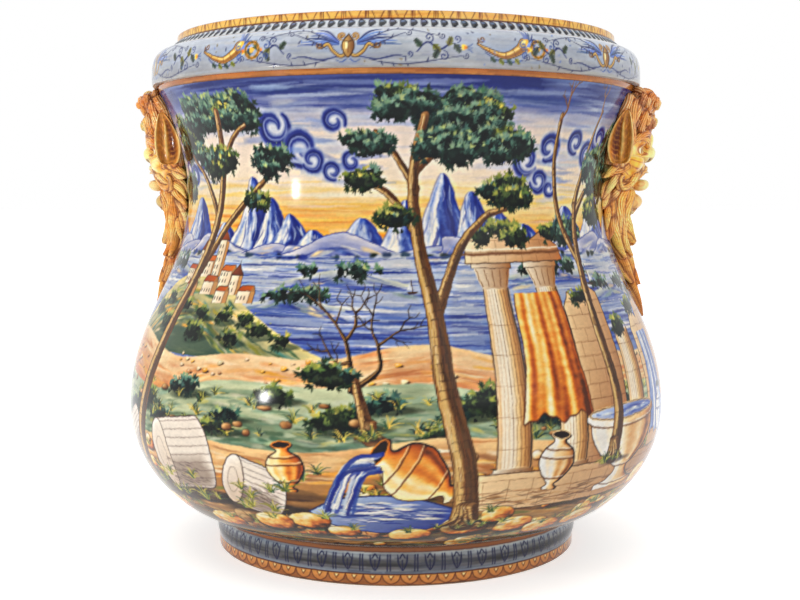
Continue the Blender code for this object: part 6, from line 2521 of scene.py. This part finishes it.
def ear_mesh(name, side, seed):
    """A pointed ear from lobe to tip, its rolled rim, hollow and ridge on the side away from the mask."""
    rows, ring = 72, 72
    s = 0.5 - 0.5 * np.cos(pi * np.linspace(0, 1, rows))
    full = ear_fullness(s) * np.sqrt(np.clip(1 - ((2 * s - 1) / 1.004) ** 40, 0, 1))
    turn = 2 * pi * np.arange(ring) / ring
    c = np.cos(turn)[None, :] * np.ones((rows, 1))
    up_side = np.sign(np.sin(turn)) * np.abs(np.sin(turn)) ** 0.6
    thick = EAR_THICKNESS / 2 * up_side[None, :] * np.minimum(1, full / 0.30)[:, None]
    outer = up_side[None, :] > 0.05
    hollow = np.exp(-((np.abs(c) / 0.72) ** 6)) * np.clip(full * 2.2 - 0.35, 0, 1)[:, None]
    line = np.sin(5 * s)[:, None] * 0.10
    ridge = bell(c - line, 0.17) * np.clip(ridge_fullness(s), 0, 1)[:, None]
    strand = np.abs(np.sin(17 * (c + 0.25 * s[:, None]) + 3 * s[:, None]))
    lift = np.where(outer, -1.5 * hollow + 1.7 * ridge * hollow + 0.5 * bell(np.abs(c) - 0.88, 0.1), 0)
    lift += np.where(outer, -0.22 * bell(strand, 0.3) * hollow, 0)
    drop = EAR_TOP + EAR_LENGTH - EAR_LENGTH * s[:, None] * np.ones((1, ring))
    middle = (EAR_LOBE_OUT + (EAR_TIP_OUT - EAR_LOBE_OUT) * s)[:, None]
    half = (full * EAR_WIDTH / 2)[:, None]
    across = EAR_OFFSET + EAR_DISH * (full**2)[:, None] * (c * c - 0.5) + thick + lift
    flat = np.stack([side * across, drop, middle + c * half], -1).reshape(-1, 3)
    points = on_wall(flat)
    index = np.arange(rows * ring).reshape(rows, ring)
    following = np.roll(index, -1, 1)
    quads = np.stack([index[:-1], following[:-1], following[1:], index[1:]], -1).reshape(-1, 4)
    ends = []
    for row, flip in ((0, True), (rows - 1, False)):
        hub = len(points)
        points = np.concatenate([points, points[index[row]].mean(0)[None]])
        tri = np.stack([index[row], following[row], np.full(ring, hub)], -1)
        ends.append(tri[:, ::-1] if flip else tri)
    triangles = np.concatenate(ends)
    if side > 0:
        quads, triangles = quads[:, ::-1], triangles[:, ::-1]

    base, deep, pale, ochre = EAR_TONES
    colour = np.empty((rows, ring, 3))
    colour[:] = base
    lay = brush_over(colour)
    rng = np.random.default_rng(seed)
    grain = rng.normal(0, 1, (rows, ring))
    for _ in range(3):
        beside_rows = np.roll(grain, 1, 0), np.roll(grain, -1, 0)
        beside_ring = np.roll(grain, 1, 1), np.roll(grain, -1, 1)
        grain = sum((*beside_rows, *beside_ring), grain) / 5
    # painted shade over the ear's hollow, deepest on the side of the rib nearer the wall
    shaded_half = 1 / (1 + np.exp(9 * (c - line))) * np.clip(1.4 * np.sin(pi * s), 0, 1)[:, None]
    lay(hollow * outer * (0.42 + 0.55 * shaded_half), deep)
    lay(outer * hollow * bell(strand, 0.30) * (0.8 - 0.4 * shaded_half), ochre)
    barb = np.abs(np.sin(34 * s[:, None] - 5.5 * np.abs(c - line) + 0.6 * np.sin(9 * c)))
    lay(outer * hollow * bell(barb, 0.34) * 0.55, ochre)
    lay(outer * hollow * bell(barb - 1, 0.2) * 0.35 * shaded_half, deep)
    lay(outer * bell(c - line, 0.24) * 0.55, base)
    lay(outer * ridge * 0.85, ochre)
    # painted highlight on the crest of the rib
    lay(outer * ridge**3 * 0.7, pale)
    # painted highlight along the rolled rim
    lay(bell(np.abs(c) - 0.93, 0.10) * 0.75, pale)
    lay(np.where(outer, 0, 0.35 * bell(strand, 0.35)), deep)
    lay(np.clip(0.5 - s[:, None] * 2.5, 0, 1) * 0.6 * np.ones((1, ring)), ochre)
    colour *= (1 + 0.25 * grain)[..., None]
    colour = np.concatenate([colour.reshape(-1, 3), colour[0].mean(0)[None], colour[-1].mean(0)[None]])
    mesh = quick_mesh(name, points / 1000, quads, triangles)
    u, v = np.append(np.tile(np.arange(ring) / ring, rows), [0, 0]), np.append(np.repeat(s, ring), [0, 1])
    loops = numbers(mesh.loops, "vertex_index", 1, np.int32)
    uv = np.stack([u[loops], v[loops]], 1)
    wraps = numbers(mesh.polygons, "loop_start", 1, np.int32)
    sizes = numbers(mesh.polygons, "loop_total", 1, np.int32)
    owner = np.repeat(np.arange(len(sizes)), sizes)
    highest = np.maximum.reduceat(uv[:, 0], wraps)[owner]
    uv[:, 0] = np.where((highest > 0.9) & (uv[:, 0] < 0.1), uv[:, 0] + 1, uv[:, 0])
    finish_mesh(mesh, colour, 0.01 + 0.98 * uv / (1 + 1e-3))
    return mesh


def ridge_fullness(s):
    """How proud the ridge in an ear's hollow stands between its lobe and its tip."""
    return np.minimum(1, 1.6 * np.sin(pi * np.clip(s * 1.05, 0, 1)))


def finish_mesh(mesh, colour, uv):
    """Stores the paint and the bake map on a mesh."""
    colours = np.ones((len(mesh.vertices), 4), np.float32)
    colours[:, :3] = linear(colour)
    mesh.attributes.new("paint", "FLOAT_COLOR", "POINT").data.foreach_set("color", colours.ravel())
    mesh.uv_layers.new(name="OFBake").data.foreach_set("uv", uv.astype(np.float32).ravel())
    mesh.shade_smooth()


def show_piece(name, mesh, turn, node, material):
    """Puts a mesh into the scene in place of a CAD node."""
    mesh.materials.append(material)
    obj = bpy.data.objects.new(name, mesh)
    obj.rotation_euler.z = turn
    bpy.context.scene.collection.objects.link(obj)
    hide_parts(node)
    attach(obj, "root")


def build_masks(material):
    """Both satyrs and their four ears, from one pressed form."""
    locks = mask_locks() + mask_lids()
    flesh = mask_flesh()
    form = mask_mesh(locks, flesh)
    nearest = nearest_locks(numbers(form.vertices, "co", 3).astype(float), locks)
    for side, turn, seed in (("right", 0, 11), ("left", pi, 23)):
        mesh = form.copy()
        points, colour = carve_and_paint(mesh, locks, flesh, nearest, seed)
        points = keep_clear_of_ears(points)
        mesh.vertices.foreach_set("co", (points / 1000).astype(np.float32).ravel())
        mesh.update()
        across, drop, out = off_wall(points).T
        sunk = np.hypot(points[:, 0], points[:, 1]) < body_radius(points[:, 2]) - SUNK + 0.01
        loops = numbers(mesh.loops, "vertex_index", 1, np.int32)
        u = np.clip(0.5 + np.arctan2(across, out + 9) / radians(236), 0.004, 0.93)
        u = np.where(sunk, 0.95 + 0.04 * (across + 60) / 120, u)
        v = np.clip((drop + 2) / 186, 0.003, 0.997)
        finish_mesh(mesh, colour, np.stack([u, v], 1)[loops])
        show_piece(f"{side}_satyr", mesh, turn, f"{side}_mask", material)
        for ear_side, sign in (("front", -1), ("back", 1)):
            facing = sign if side == "right" else -sign
            ear = ear_mesh(f"{side}_{ear_side}_ear", facing, seed + sign)
            show_piece(
                f"{side}_{ear_side}_ear", ear, turn, f"{side}_mask_{ear_side}_ear", material
            )


# Materials


def add(tree, kind, **values):
    """A new node, with its settings."""
    node = tree.nodes.new(kind)
    for key, value in values.items():
        setattr(node, key, value)
    return node


def noise(tree, scale, detail, roughness, source):
    """Noise over places on the object."""
    node = add(tree, "ShaderNodeTexNoise")
    node.inputs["Scale"].default_value = scale
    node.inputs["Detail"].default_value = detail
    node.inputs["Roughness"].default_value = roughness
    node.inputs["Distortion"].default_value = 0.0
    tree.links.new(source, node.inputs["Vector"])
    return node.outputs["Fac"]


def between_values(tree, fac, low, high, from_low=0.0, from_high=1.0):
    """Numbers from low to high as fac goes from one value to another."""
    node = add(tree, "ShaderNodeMapRange")
    node.inputs["From Min"].default_value = from_low
    node.inputs["From Max"].default_value = from_high
    node.inputs["To Min"].default_value = low
    node.inputs["To Max"].default_value = high
    tree.links.new(fac, node.inputs["Value"])
    return node.outputs["Result"]


def between_rgb(tree, fac, low, high):
    """Colours from one to another as fac goes from 0 to 1."""
    node = add(tree, "ShaderNodeMix", data_type="RGBA")
    tree.links.new(fac, node.inputs["Factor"])
    node.inputs["A"].default_value = (*low, 1)
    node.inputs["B"].default_value = (*high, 1)
    return node.outputs["Result"]


def blend(tree, kind, fac, a, b):
    """Two colours mixed, each a socket or a value."""
    node = add(tree, "ShaderNodeMix", data_type="RGBA", blend_type=kind)
    for socket, value in ((node.inputs["Factor"], fac), (node.inputs["A"], a), (node.inputs["B"], b)):
        if isinstance(value, (int, float)):
            socket.default_value = value
        elif isinstance(value, tuple):
            socket.default_value = (*value, 1) if len(value) == 3 else value
        else:
            tree.links.new(value, socket)
    return node.outputs["Result"]


def painted_glaze(name, waves=0.00016, shine=0.17):
    """Painted tin glaze: colours in the surface, and thick, glossy, slightly uneven glaze over them."""
    material = bpy.data.materials.new(name)
    material.use_nodes = True
    tree = material.node_tree
    shader = tree.nodes["Principled BSDF"]
    place = add(tree, "ShaderNodeTexCoord").outputs["Object"]
    paint = add(tree, "ShaderNodeAttribute", attribute_name="paint").outputs["Color"]
    pool = noise(tree, 26, 3, 0.5, place)
    grain = noise(tree, 900, 3, 0.6, place)
    pool = between_rgb(tree, pool, (0.955, 0.955, 0.96), (1.03, 1.03, 1.02))
    colour = blend(tree, "MULTIPLY", 1.0, paint, pool)
    grain = between_rgb(tree, grain, (0.93, 0.93, 0.94), (1.06, 1.06, 1.05))
    colour = blend(tree, "MULTIPLY", 1.0, colour, grain)
    specks = add(tree, "ShaderNodeTexVoronoi")
    specks.inputs["Scale"].default_value = 120
    tree.links.new(place, specks.inputs["Vector"])
    fleck = between_values(tree, specks.outputs["Distance"], 1.0, 0.0, 0.02, 0.045)
    rare = between_values(tree, noise(tree, 40, 1, 0.5, place), 0.0, 0.7, 0.6, 0.68)
    both = add(tree, "ShaderNodeMath", operation="MULTIPLY")
    tree.links.new(fleck, both.inputs[0])
    tree.links.new(rare, both.inputs[1])
    colour = blend(tree, "MIX", both.outputs[0], colour, (0.045, 0.030, 0.022))
    tree.links.new(colour, shader.inputs["Base Color"])
    rough = between_values(tree, noise(tree, 34, 4, 0.6, place), 0.07, 0.17)
    tree.links.new(rough, shader.inputs["Roughness"])
    shader.inputs["IOR"].default_value = 1.52
    shader.inputs["Specular IOR Level"].default_value = shine
    height = add(tree, "ShaderNodeMath", operation="ADD")
    tree.links.new(noise(tree, 22, 2, 0.4, place), height.inputs[0])
    small = add(tree, "ShaderNodeMath", operation="MULTIPLY")
    small.inputs[1].default_value = 0.05
    tree.links.new(noise(tree, 420, 2, 0.5, place), small.inputs[0])
    tree.links.new(small.outputs[0], height.inputs[1])
    bump = add(tree, "ShaderNodeBump")
    bump.inputs["Strength"].default_value = 1.0
    bump.inputs["Distance"].default_value = waves
    tree.links.new(height.outputs[0], bump.inputs["Height"])
    tree.links.new(bump.outputs["Normal"], shader.inputs["Normal"])
    return material


def bare_clay(name):
    """The unglazed tread of the foot: buff earthenware, rubbed and a little dirty."""
    material = bpy.data.materials.new(name)
    material.use_nodes = True
    tree = material.node_tree
    shader = tree.nodes["Principled BSDF"]
    place = add(tree, "ShaderNodeTexCoord").outputs["Object"]
    colour = between_rgb(tree, noise(tree, 60, 6, 0.6, place), (0.52, 0.36, 0.24), (0.72, 0.56, 0.41))
    grime = between_values(tree, noise(tree, 18, 4, 0.6, place), 0.0, 0.6, 0.5, 0.8)
    colour = blend(tree, "MIX", grime, colour, (0.28, 0.20, 0.14))
    tree.links.new(colour, shader.inputs["Base Color"])
    tree.links.new(
        between_values(tree, noise(tree, 300, 3, 0.6, place), 0.75, 0.95), shader.inputs["Roughness"]
    )
    bump = add(tree, "ShaderNodeBump")
    bump.inputs["Distance"].default_value = 0.0003
    tree.links.new(noise(tree, 700, 4, 0.6, place), bump.inputs["Height"])
    tree.links.new(bump.outputs["Normal"], shader.inputs["Normal"])
    return material


# Studio

WORLD_LEVEL = 0.70
FLOOR_LIFT = 0.5
FLOOR_HALF = 30
FLASH_POWER, FILL_POWER, TOP_POWER = 0.9, 9.0, 12.0


def seen_directly(tree, otherwise, shown):
    """One value for what is seen, directly or in the glaze, and another for what lights the scene."""
    path = add(tree, "ShaderNodeLightPath")
    either = path.outputs["Is Camera Ray"]
    for name in ("Is Glossy Ray", "Is Transmission Ray"):
        most = add(tree, "ShaderNodeMath", operation="MAXIMUM")
        tree.links.new(either, most.inputs[0])
        tree.links.new(path.outputs[name], most.inputs[1])
        either = most.outputs[0]
    return between_values(tree, either, otherwise, shown)


def lamp(name, size, power, place, aim):
    """A rectangular lamp at a place, turned to what it lights."""
    light = bpy.data.lights.new(name, "AREA")
    light.shape = "RECTANGLE"
    light.size, light.size_y = size
    light.energy = power
    obj = bpy.data.objects.new(name, light)
    obj.location = place
    direction = np.array(aim) - np.array(place)
    turn = atan2(direction[0], -direction[1])
    tilt = atan2(np.hypot(direction[0], direction[1]), -direction[2])
    obj.rotation_euler = (tilt, 0, pi + turn)
    obj.visible_camera = False
    bpy.context.scene.collection.objects.link(obj)


def studio():
    """A white ground that keeps the shadow, a plain world and three lamps."""
    world = bpy.data.worlds.new("studio")
    bpy.context.scene.world = world
    world.use_nodes = True
    tree = world.node_tree
    back = tree.nodes["Background"]
    back.inputs["Color"].default_value = (1, 1, 1, 1)
    tree.links.new(seen_directly(tree, WORLD_LEVEL, 1.0), back.inputs["Strength"])

    mesh = bpy.data.meshes.new("floor")
    corners = [(FLOOR_HALF * x, FLOOR_HALF * y, 0) for x, y in ((-1, -1), (1, -1), (1, 1), (-1, 1))]
    mesh.from_pydata(corners, [], [(0, 1, 2, 3)])
    floor = bpy.data.objects.new("floor", mesh)
    bpy.context.scene.collection.objects.link(floor)
    material = bpy.data.materials.new("floor_white")
    material.use_nodes = True
    shader = material.node_tree.nodes["Principled BSDF"]
    shader.inputs["Base Color"].default_value = (0.95, 0.95, 0.95, 1)
    shader.inputs["Roughness"].default_value = 0.6
    shader.inputs["Specular IOR Level"].default_value = 0.2
    shader.inputs["Emission Color"].default_value = (1, 1, 1, 1)
    lift = seen_directly(material.node_tree, 0.0, FLOOR_LIFT)
    material.node_tree.links.new(lift, shader.inputs["Emission Strength"])
    mesh.materials.append(material)

    lamp("flash", (0.035, 0.05), FLASH_POWER, (-0.50, -0.53, 0.2525), (0, 0, 0.25))
    lamp("fill", (1.6, 1.6), FILL_POWER, (1.6, -1.6, 1.3), (0, 0, 0.2))
    lamp("top", (1.8, 1.8), TOP_POWER, (-0.3, -0.2, 2.0), (0, 0, 0.2))


# The pot: mesh rows in metres, and its string of beads

ROW = 0.0008
FOOT_ROW = 0.0006
COARSE = 0.006
BEAD_RELIEF = 0.0007
BEAD_MIDDLE_MM = 175.25
BEAD_PITCH_MM = 2 * pi * BEAD_MIDDLE_MM / BEADS


def white_glaze(profile, seed):
    """The plain tin glaze of the inside, a little uneven, for each row and column."""
    rng = np.random.default_rng(seed)
    rows, tall, around_count = len(profile), 3, 24
    out = np.empty((rows, COLUMNS, 3), np.float32)
    out[:] = np.array([236, 236, 230], np.float32) / 255
    cells = rng.normal(0, 1, (rows // tall + 2, around_count))
    rows_at = np.arange(rows) / tall
    cols_at = np.arange(COLUMNS) / COLUMNS * around_count
    i, k = rows_at.astype(int), cols_at.astype(int)
    ti, tk = (rows_at - i)[:, None], (cols_at - k)[None, :]
    k2 = (k + 1) % around_count
    here = cells[i][:, k] * (1 - tk) + cells[i][:, k2] * tk
    above = cells[i + 1][:, k] * (1 - tk) + cells[i + 1][:, k2] * tk
    soft = here * (1 - ti) + above * ti
    out *= (1 + 0.012 * soft)[..., None]
    return out


def around(radius):
    """Each column's place round the pot, in mm at a radius."""
    angle = 2 * pi * np.arange(COLUMNS) / COLUMNS
    return np.where(angle > pi, angle - 2 * pi, angle) * radius


def paint_rows(canvas, places, radius):
    """The canvas's colours for rows at the given places in mm up it."""
    x = np.repeat(around(radius)[None, :], len(places), 0)
    y = np.repeat(np.asarray(places, float)[:, None], COLUMNS, 1)
    return sampled(canvas, x, y)


def joined(*stretches):
    """Profile points and paint places from (line, places or None) stretches, in order, sharing their ends."""
    points, places = [], []
    for line, at in stretches:
        line = np.asarray(line, float)
        at = np.full(len(line), np.nan) if at is None else np.asarray(at, float)
        start = 1 if points and np.allclose(points[-1][-1], line[0]) else 0
        if start and not np.isnan(at[0]):
            places[-1][-1] = at[0]
        points.append(line[start:])
        places.append(at[start:])
    return np.concatenate(points), np.concatenate(places)


def turned_piece(name, canvas, stretches, closed, node, material, seed, radius=REF, lift=None):
    """A turned piece in place of a CAD node, painted where its stretches have places on the canvas."""
    profile, places = joined(*stretches)
    paint = white_glaze(profile, seed)
    shown = ~np.isnan(places)
    paint[shown] = paint_rows(canvas, places[shown], radius)
    fine = shown & np.roll(shown, -1)
    strips = strips_for(profile, closed, fine)
    obj = lathe(name, profile, paint, strips, closed, lift(places) if lift else None)
    obj.data.materials.append(material)
    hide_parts(node)
    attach(obj, "root")
    return obj


def build_pot(wall, rim, foot, glaze, border_glaze, clay):
    """The four turned pieces, from their canvases and materials."""
    low = between(outer_wall, BOWL_BASE, SECTION_HEIGHT, ROW)
    high = between(outer_wall, SECTION_HEIGHT, NECK_HEIGHT, ROW)
    low_at = lengths(low) * 1000
    high_at = low_at[-1] + lengths(high) * 1000
    inner_joint = inside_of(low[-1])
    inner_neck = inside_of(high[-1])
    inside_low = between(inner_side, FLOOR_HEIGHT, inner_joint[1], COARSE)
    inside_low[-1] = inner_joint
    inside_high = between(inner_side, inner_joint[1], inner_neck[1], COARSE)
    inside_high[0], inside_high[-1] = inner_joint, inner_neck
    hollow = np.stack([np.linspace(0, inside_low[0, 0], 14), np.full(14, inside_low[0, 1])], 1)
    underside = np.stack([np.linspace(low[0, 0], 0, 14), np.full(14, low[0, 1])], 1)
    stretches = [
        (hollow, None),
        (inside_low, None),
        ([inside_low[-1], low[-1]], None),
        (low[::-1], low_at[::-1]),
        (underside, None),
    ]
    turned_piece("painted_bowl", wall, stretches, False, "lower_bowl", glaze, 3)
    stretches = [
        (inside_high, None),
        ([inside_high[-1], high[-1]], None),
        (high[::-1], high_at[::-1]),
        ([high[0], inside_high[0]], None),
    ]
    turned_piece("painted_wall", wall, stretches, True, "upper_wall", glaze, 4)

    lines = {key: resampled(line, ROW) for key, line in collar.items()}
    start, at = 0.0, {}
    for key, line in lines.items():
        at[key] = start + lengths(line) * 1000
        start = at[key][-1]
    mouth = bezier(
        inner_neck,
        (inner_neck[0] + LIP_EDGE, inner_neck[1] + COLLAR_HEIGHT / 2),
        (LIP_INNER_RADIUS, SHOULDER_HEIGHT - COLLAR_HEIGHT / 2),
        (LIP_INNER_RADIUS, LIP_TOP - LIP_EDGE),
        10,
    )
    stretches = [(mouth, None)]
    for key in ("lip", "beads", "roll", "band"):
        stretches.append((lines[key][::-1], at[key][::-1]))
    stretches.append(([lines["band"][0], mouth[0]], None))
    bead_from, bead_to = at["beads"][0], at["beads"][-1]

    def bead_relief(places):
        """How far the beads stand out, for each row and column."""
        inside = np.nan_to_num((places - bead_from) / (bead_to - bead_from), nan=-1)
        along = np.clip(1 - ((inside - 0.5) / 0.36) ** 2, 0, 1)
        phase = ((around(BEAD_MIDDLE_MM) / BEAD_PITCH_MM) % 1 - 0.5) / 0.37
        across = np.clip(1 - phase**2, 0, 1)
        return BEAD_RELIEF * np.sqrt(along[:, None] * across[None, :])

    turned_piece(
        "painted_rim", rim, stretches, True, "rim_collar", border_glaze, 5, COLLAR_MM,
        bead_relief,
    )

    roll_top = FOOT_BASE_BAND + FOOT_ROLL_HEIGHT
    t = np.linspace(0, pi, 40)
    outline = chain(
        [(FOOT_RADIUS - FOOT_EDGE, 0), (FOOT_RADIUS, FOOT_EDGE)],
        [(FOOT_RADIUS, FOOT_EDGE), (FOOT_RADIUS, FOOT_BASE_BAND)],
        np.stack(
            [FOOT_RADIUS + FOOT_ROLL_BULGE * np.sin(t), FOOT_BASE_BAND + FOOT_ROLL_HEIGHT * t / pi], 1
        ),
        [(FOOT_RADIUS, roll_top), (FOOT_RADIUS, FOOT_HEIGHT)],
    )
    outline = resampled(outline, FOOT_ROW)
    outline[0], outline[-1] = (FOOT_RADIUS - FOOT_EDGE, 0), (FOOT_RADIUS, FOOT_HEIGHT)
    at_foot = lengths(outline) * 1000
    tread_in = FOOT_RADIUS - FOOT_EDGE - FOOT_TREAD
    lowest = tread_in - FOOT_EDGE, FOOT_EDGE
    inside = chain([lowest], resampled([lowest, (FOOT_INNER_RADIUS, FOOT_HEIGHT)], COARSE))
    tread = resampled([outline[0], (tread_in, 0)], 0.004)
    stretches = [
        (np.concatenate([[(tread_in, 0)], inside]), None),
        ([inside[-1], outline[-1]], None),
        (outline[::-1], at_foot[::-1]),
        (tread, None),
    ]
    piece = turned_piece(
        "painted_foot", foot, stretches, True, "foot_ring", border_glaze, 6, FOOT_MM
    )
    mesh = piece.data
    mesh.materials.append(clay)
    centre = np.empty(len(mesh.polygons) * 3, np.float32)
    mesh.polygons.foreach_get("center", centre)
    bare = centre.reshape(-1, 3)[:, 2] < FOOT_EDGE * 0.6
    mesh.polygons.foreach_set("material_index", bare.astype(np.int32))


studio()
glaze = painted_glaze("painted_glaze")
border_glaze = painted_glaze("border_glaze", shine=0.32)
clay = bare_clay("bare_clay")
wall_canvas = paint_wall()
rim_canvas = paint_rim()
foot_canvas = paint_foot()
build_pot(wall_canvas, rim_canvas, foot_canvas, glaze, border_glaze, clay)
build_masks(painted_glaze("mask_glaze", 0.00008, 0.2))

bpy.context.scene.view_settings.view_transform = "Standard"
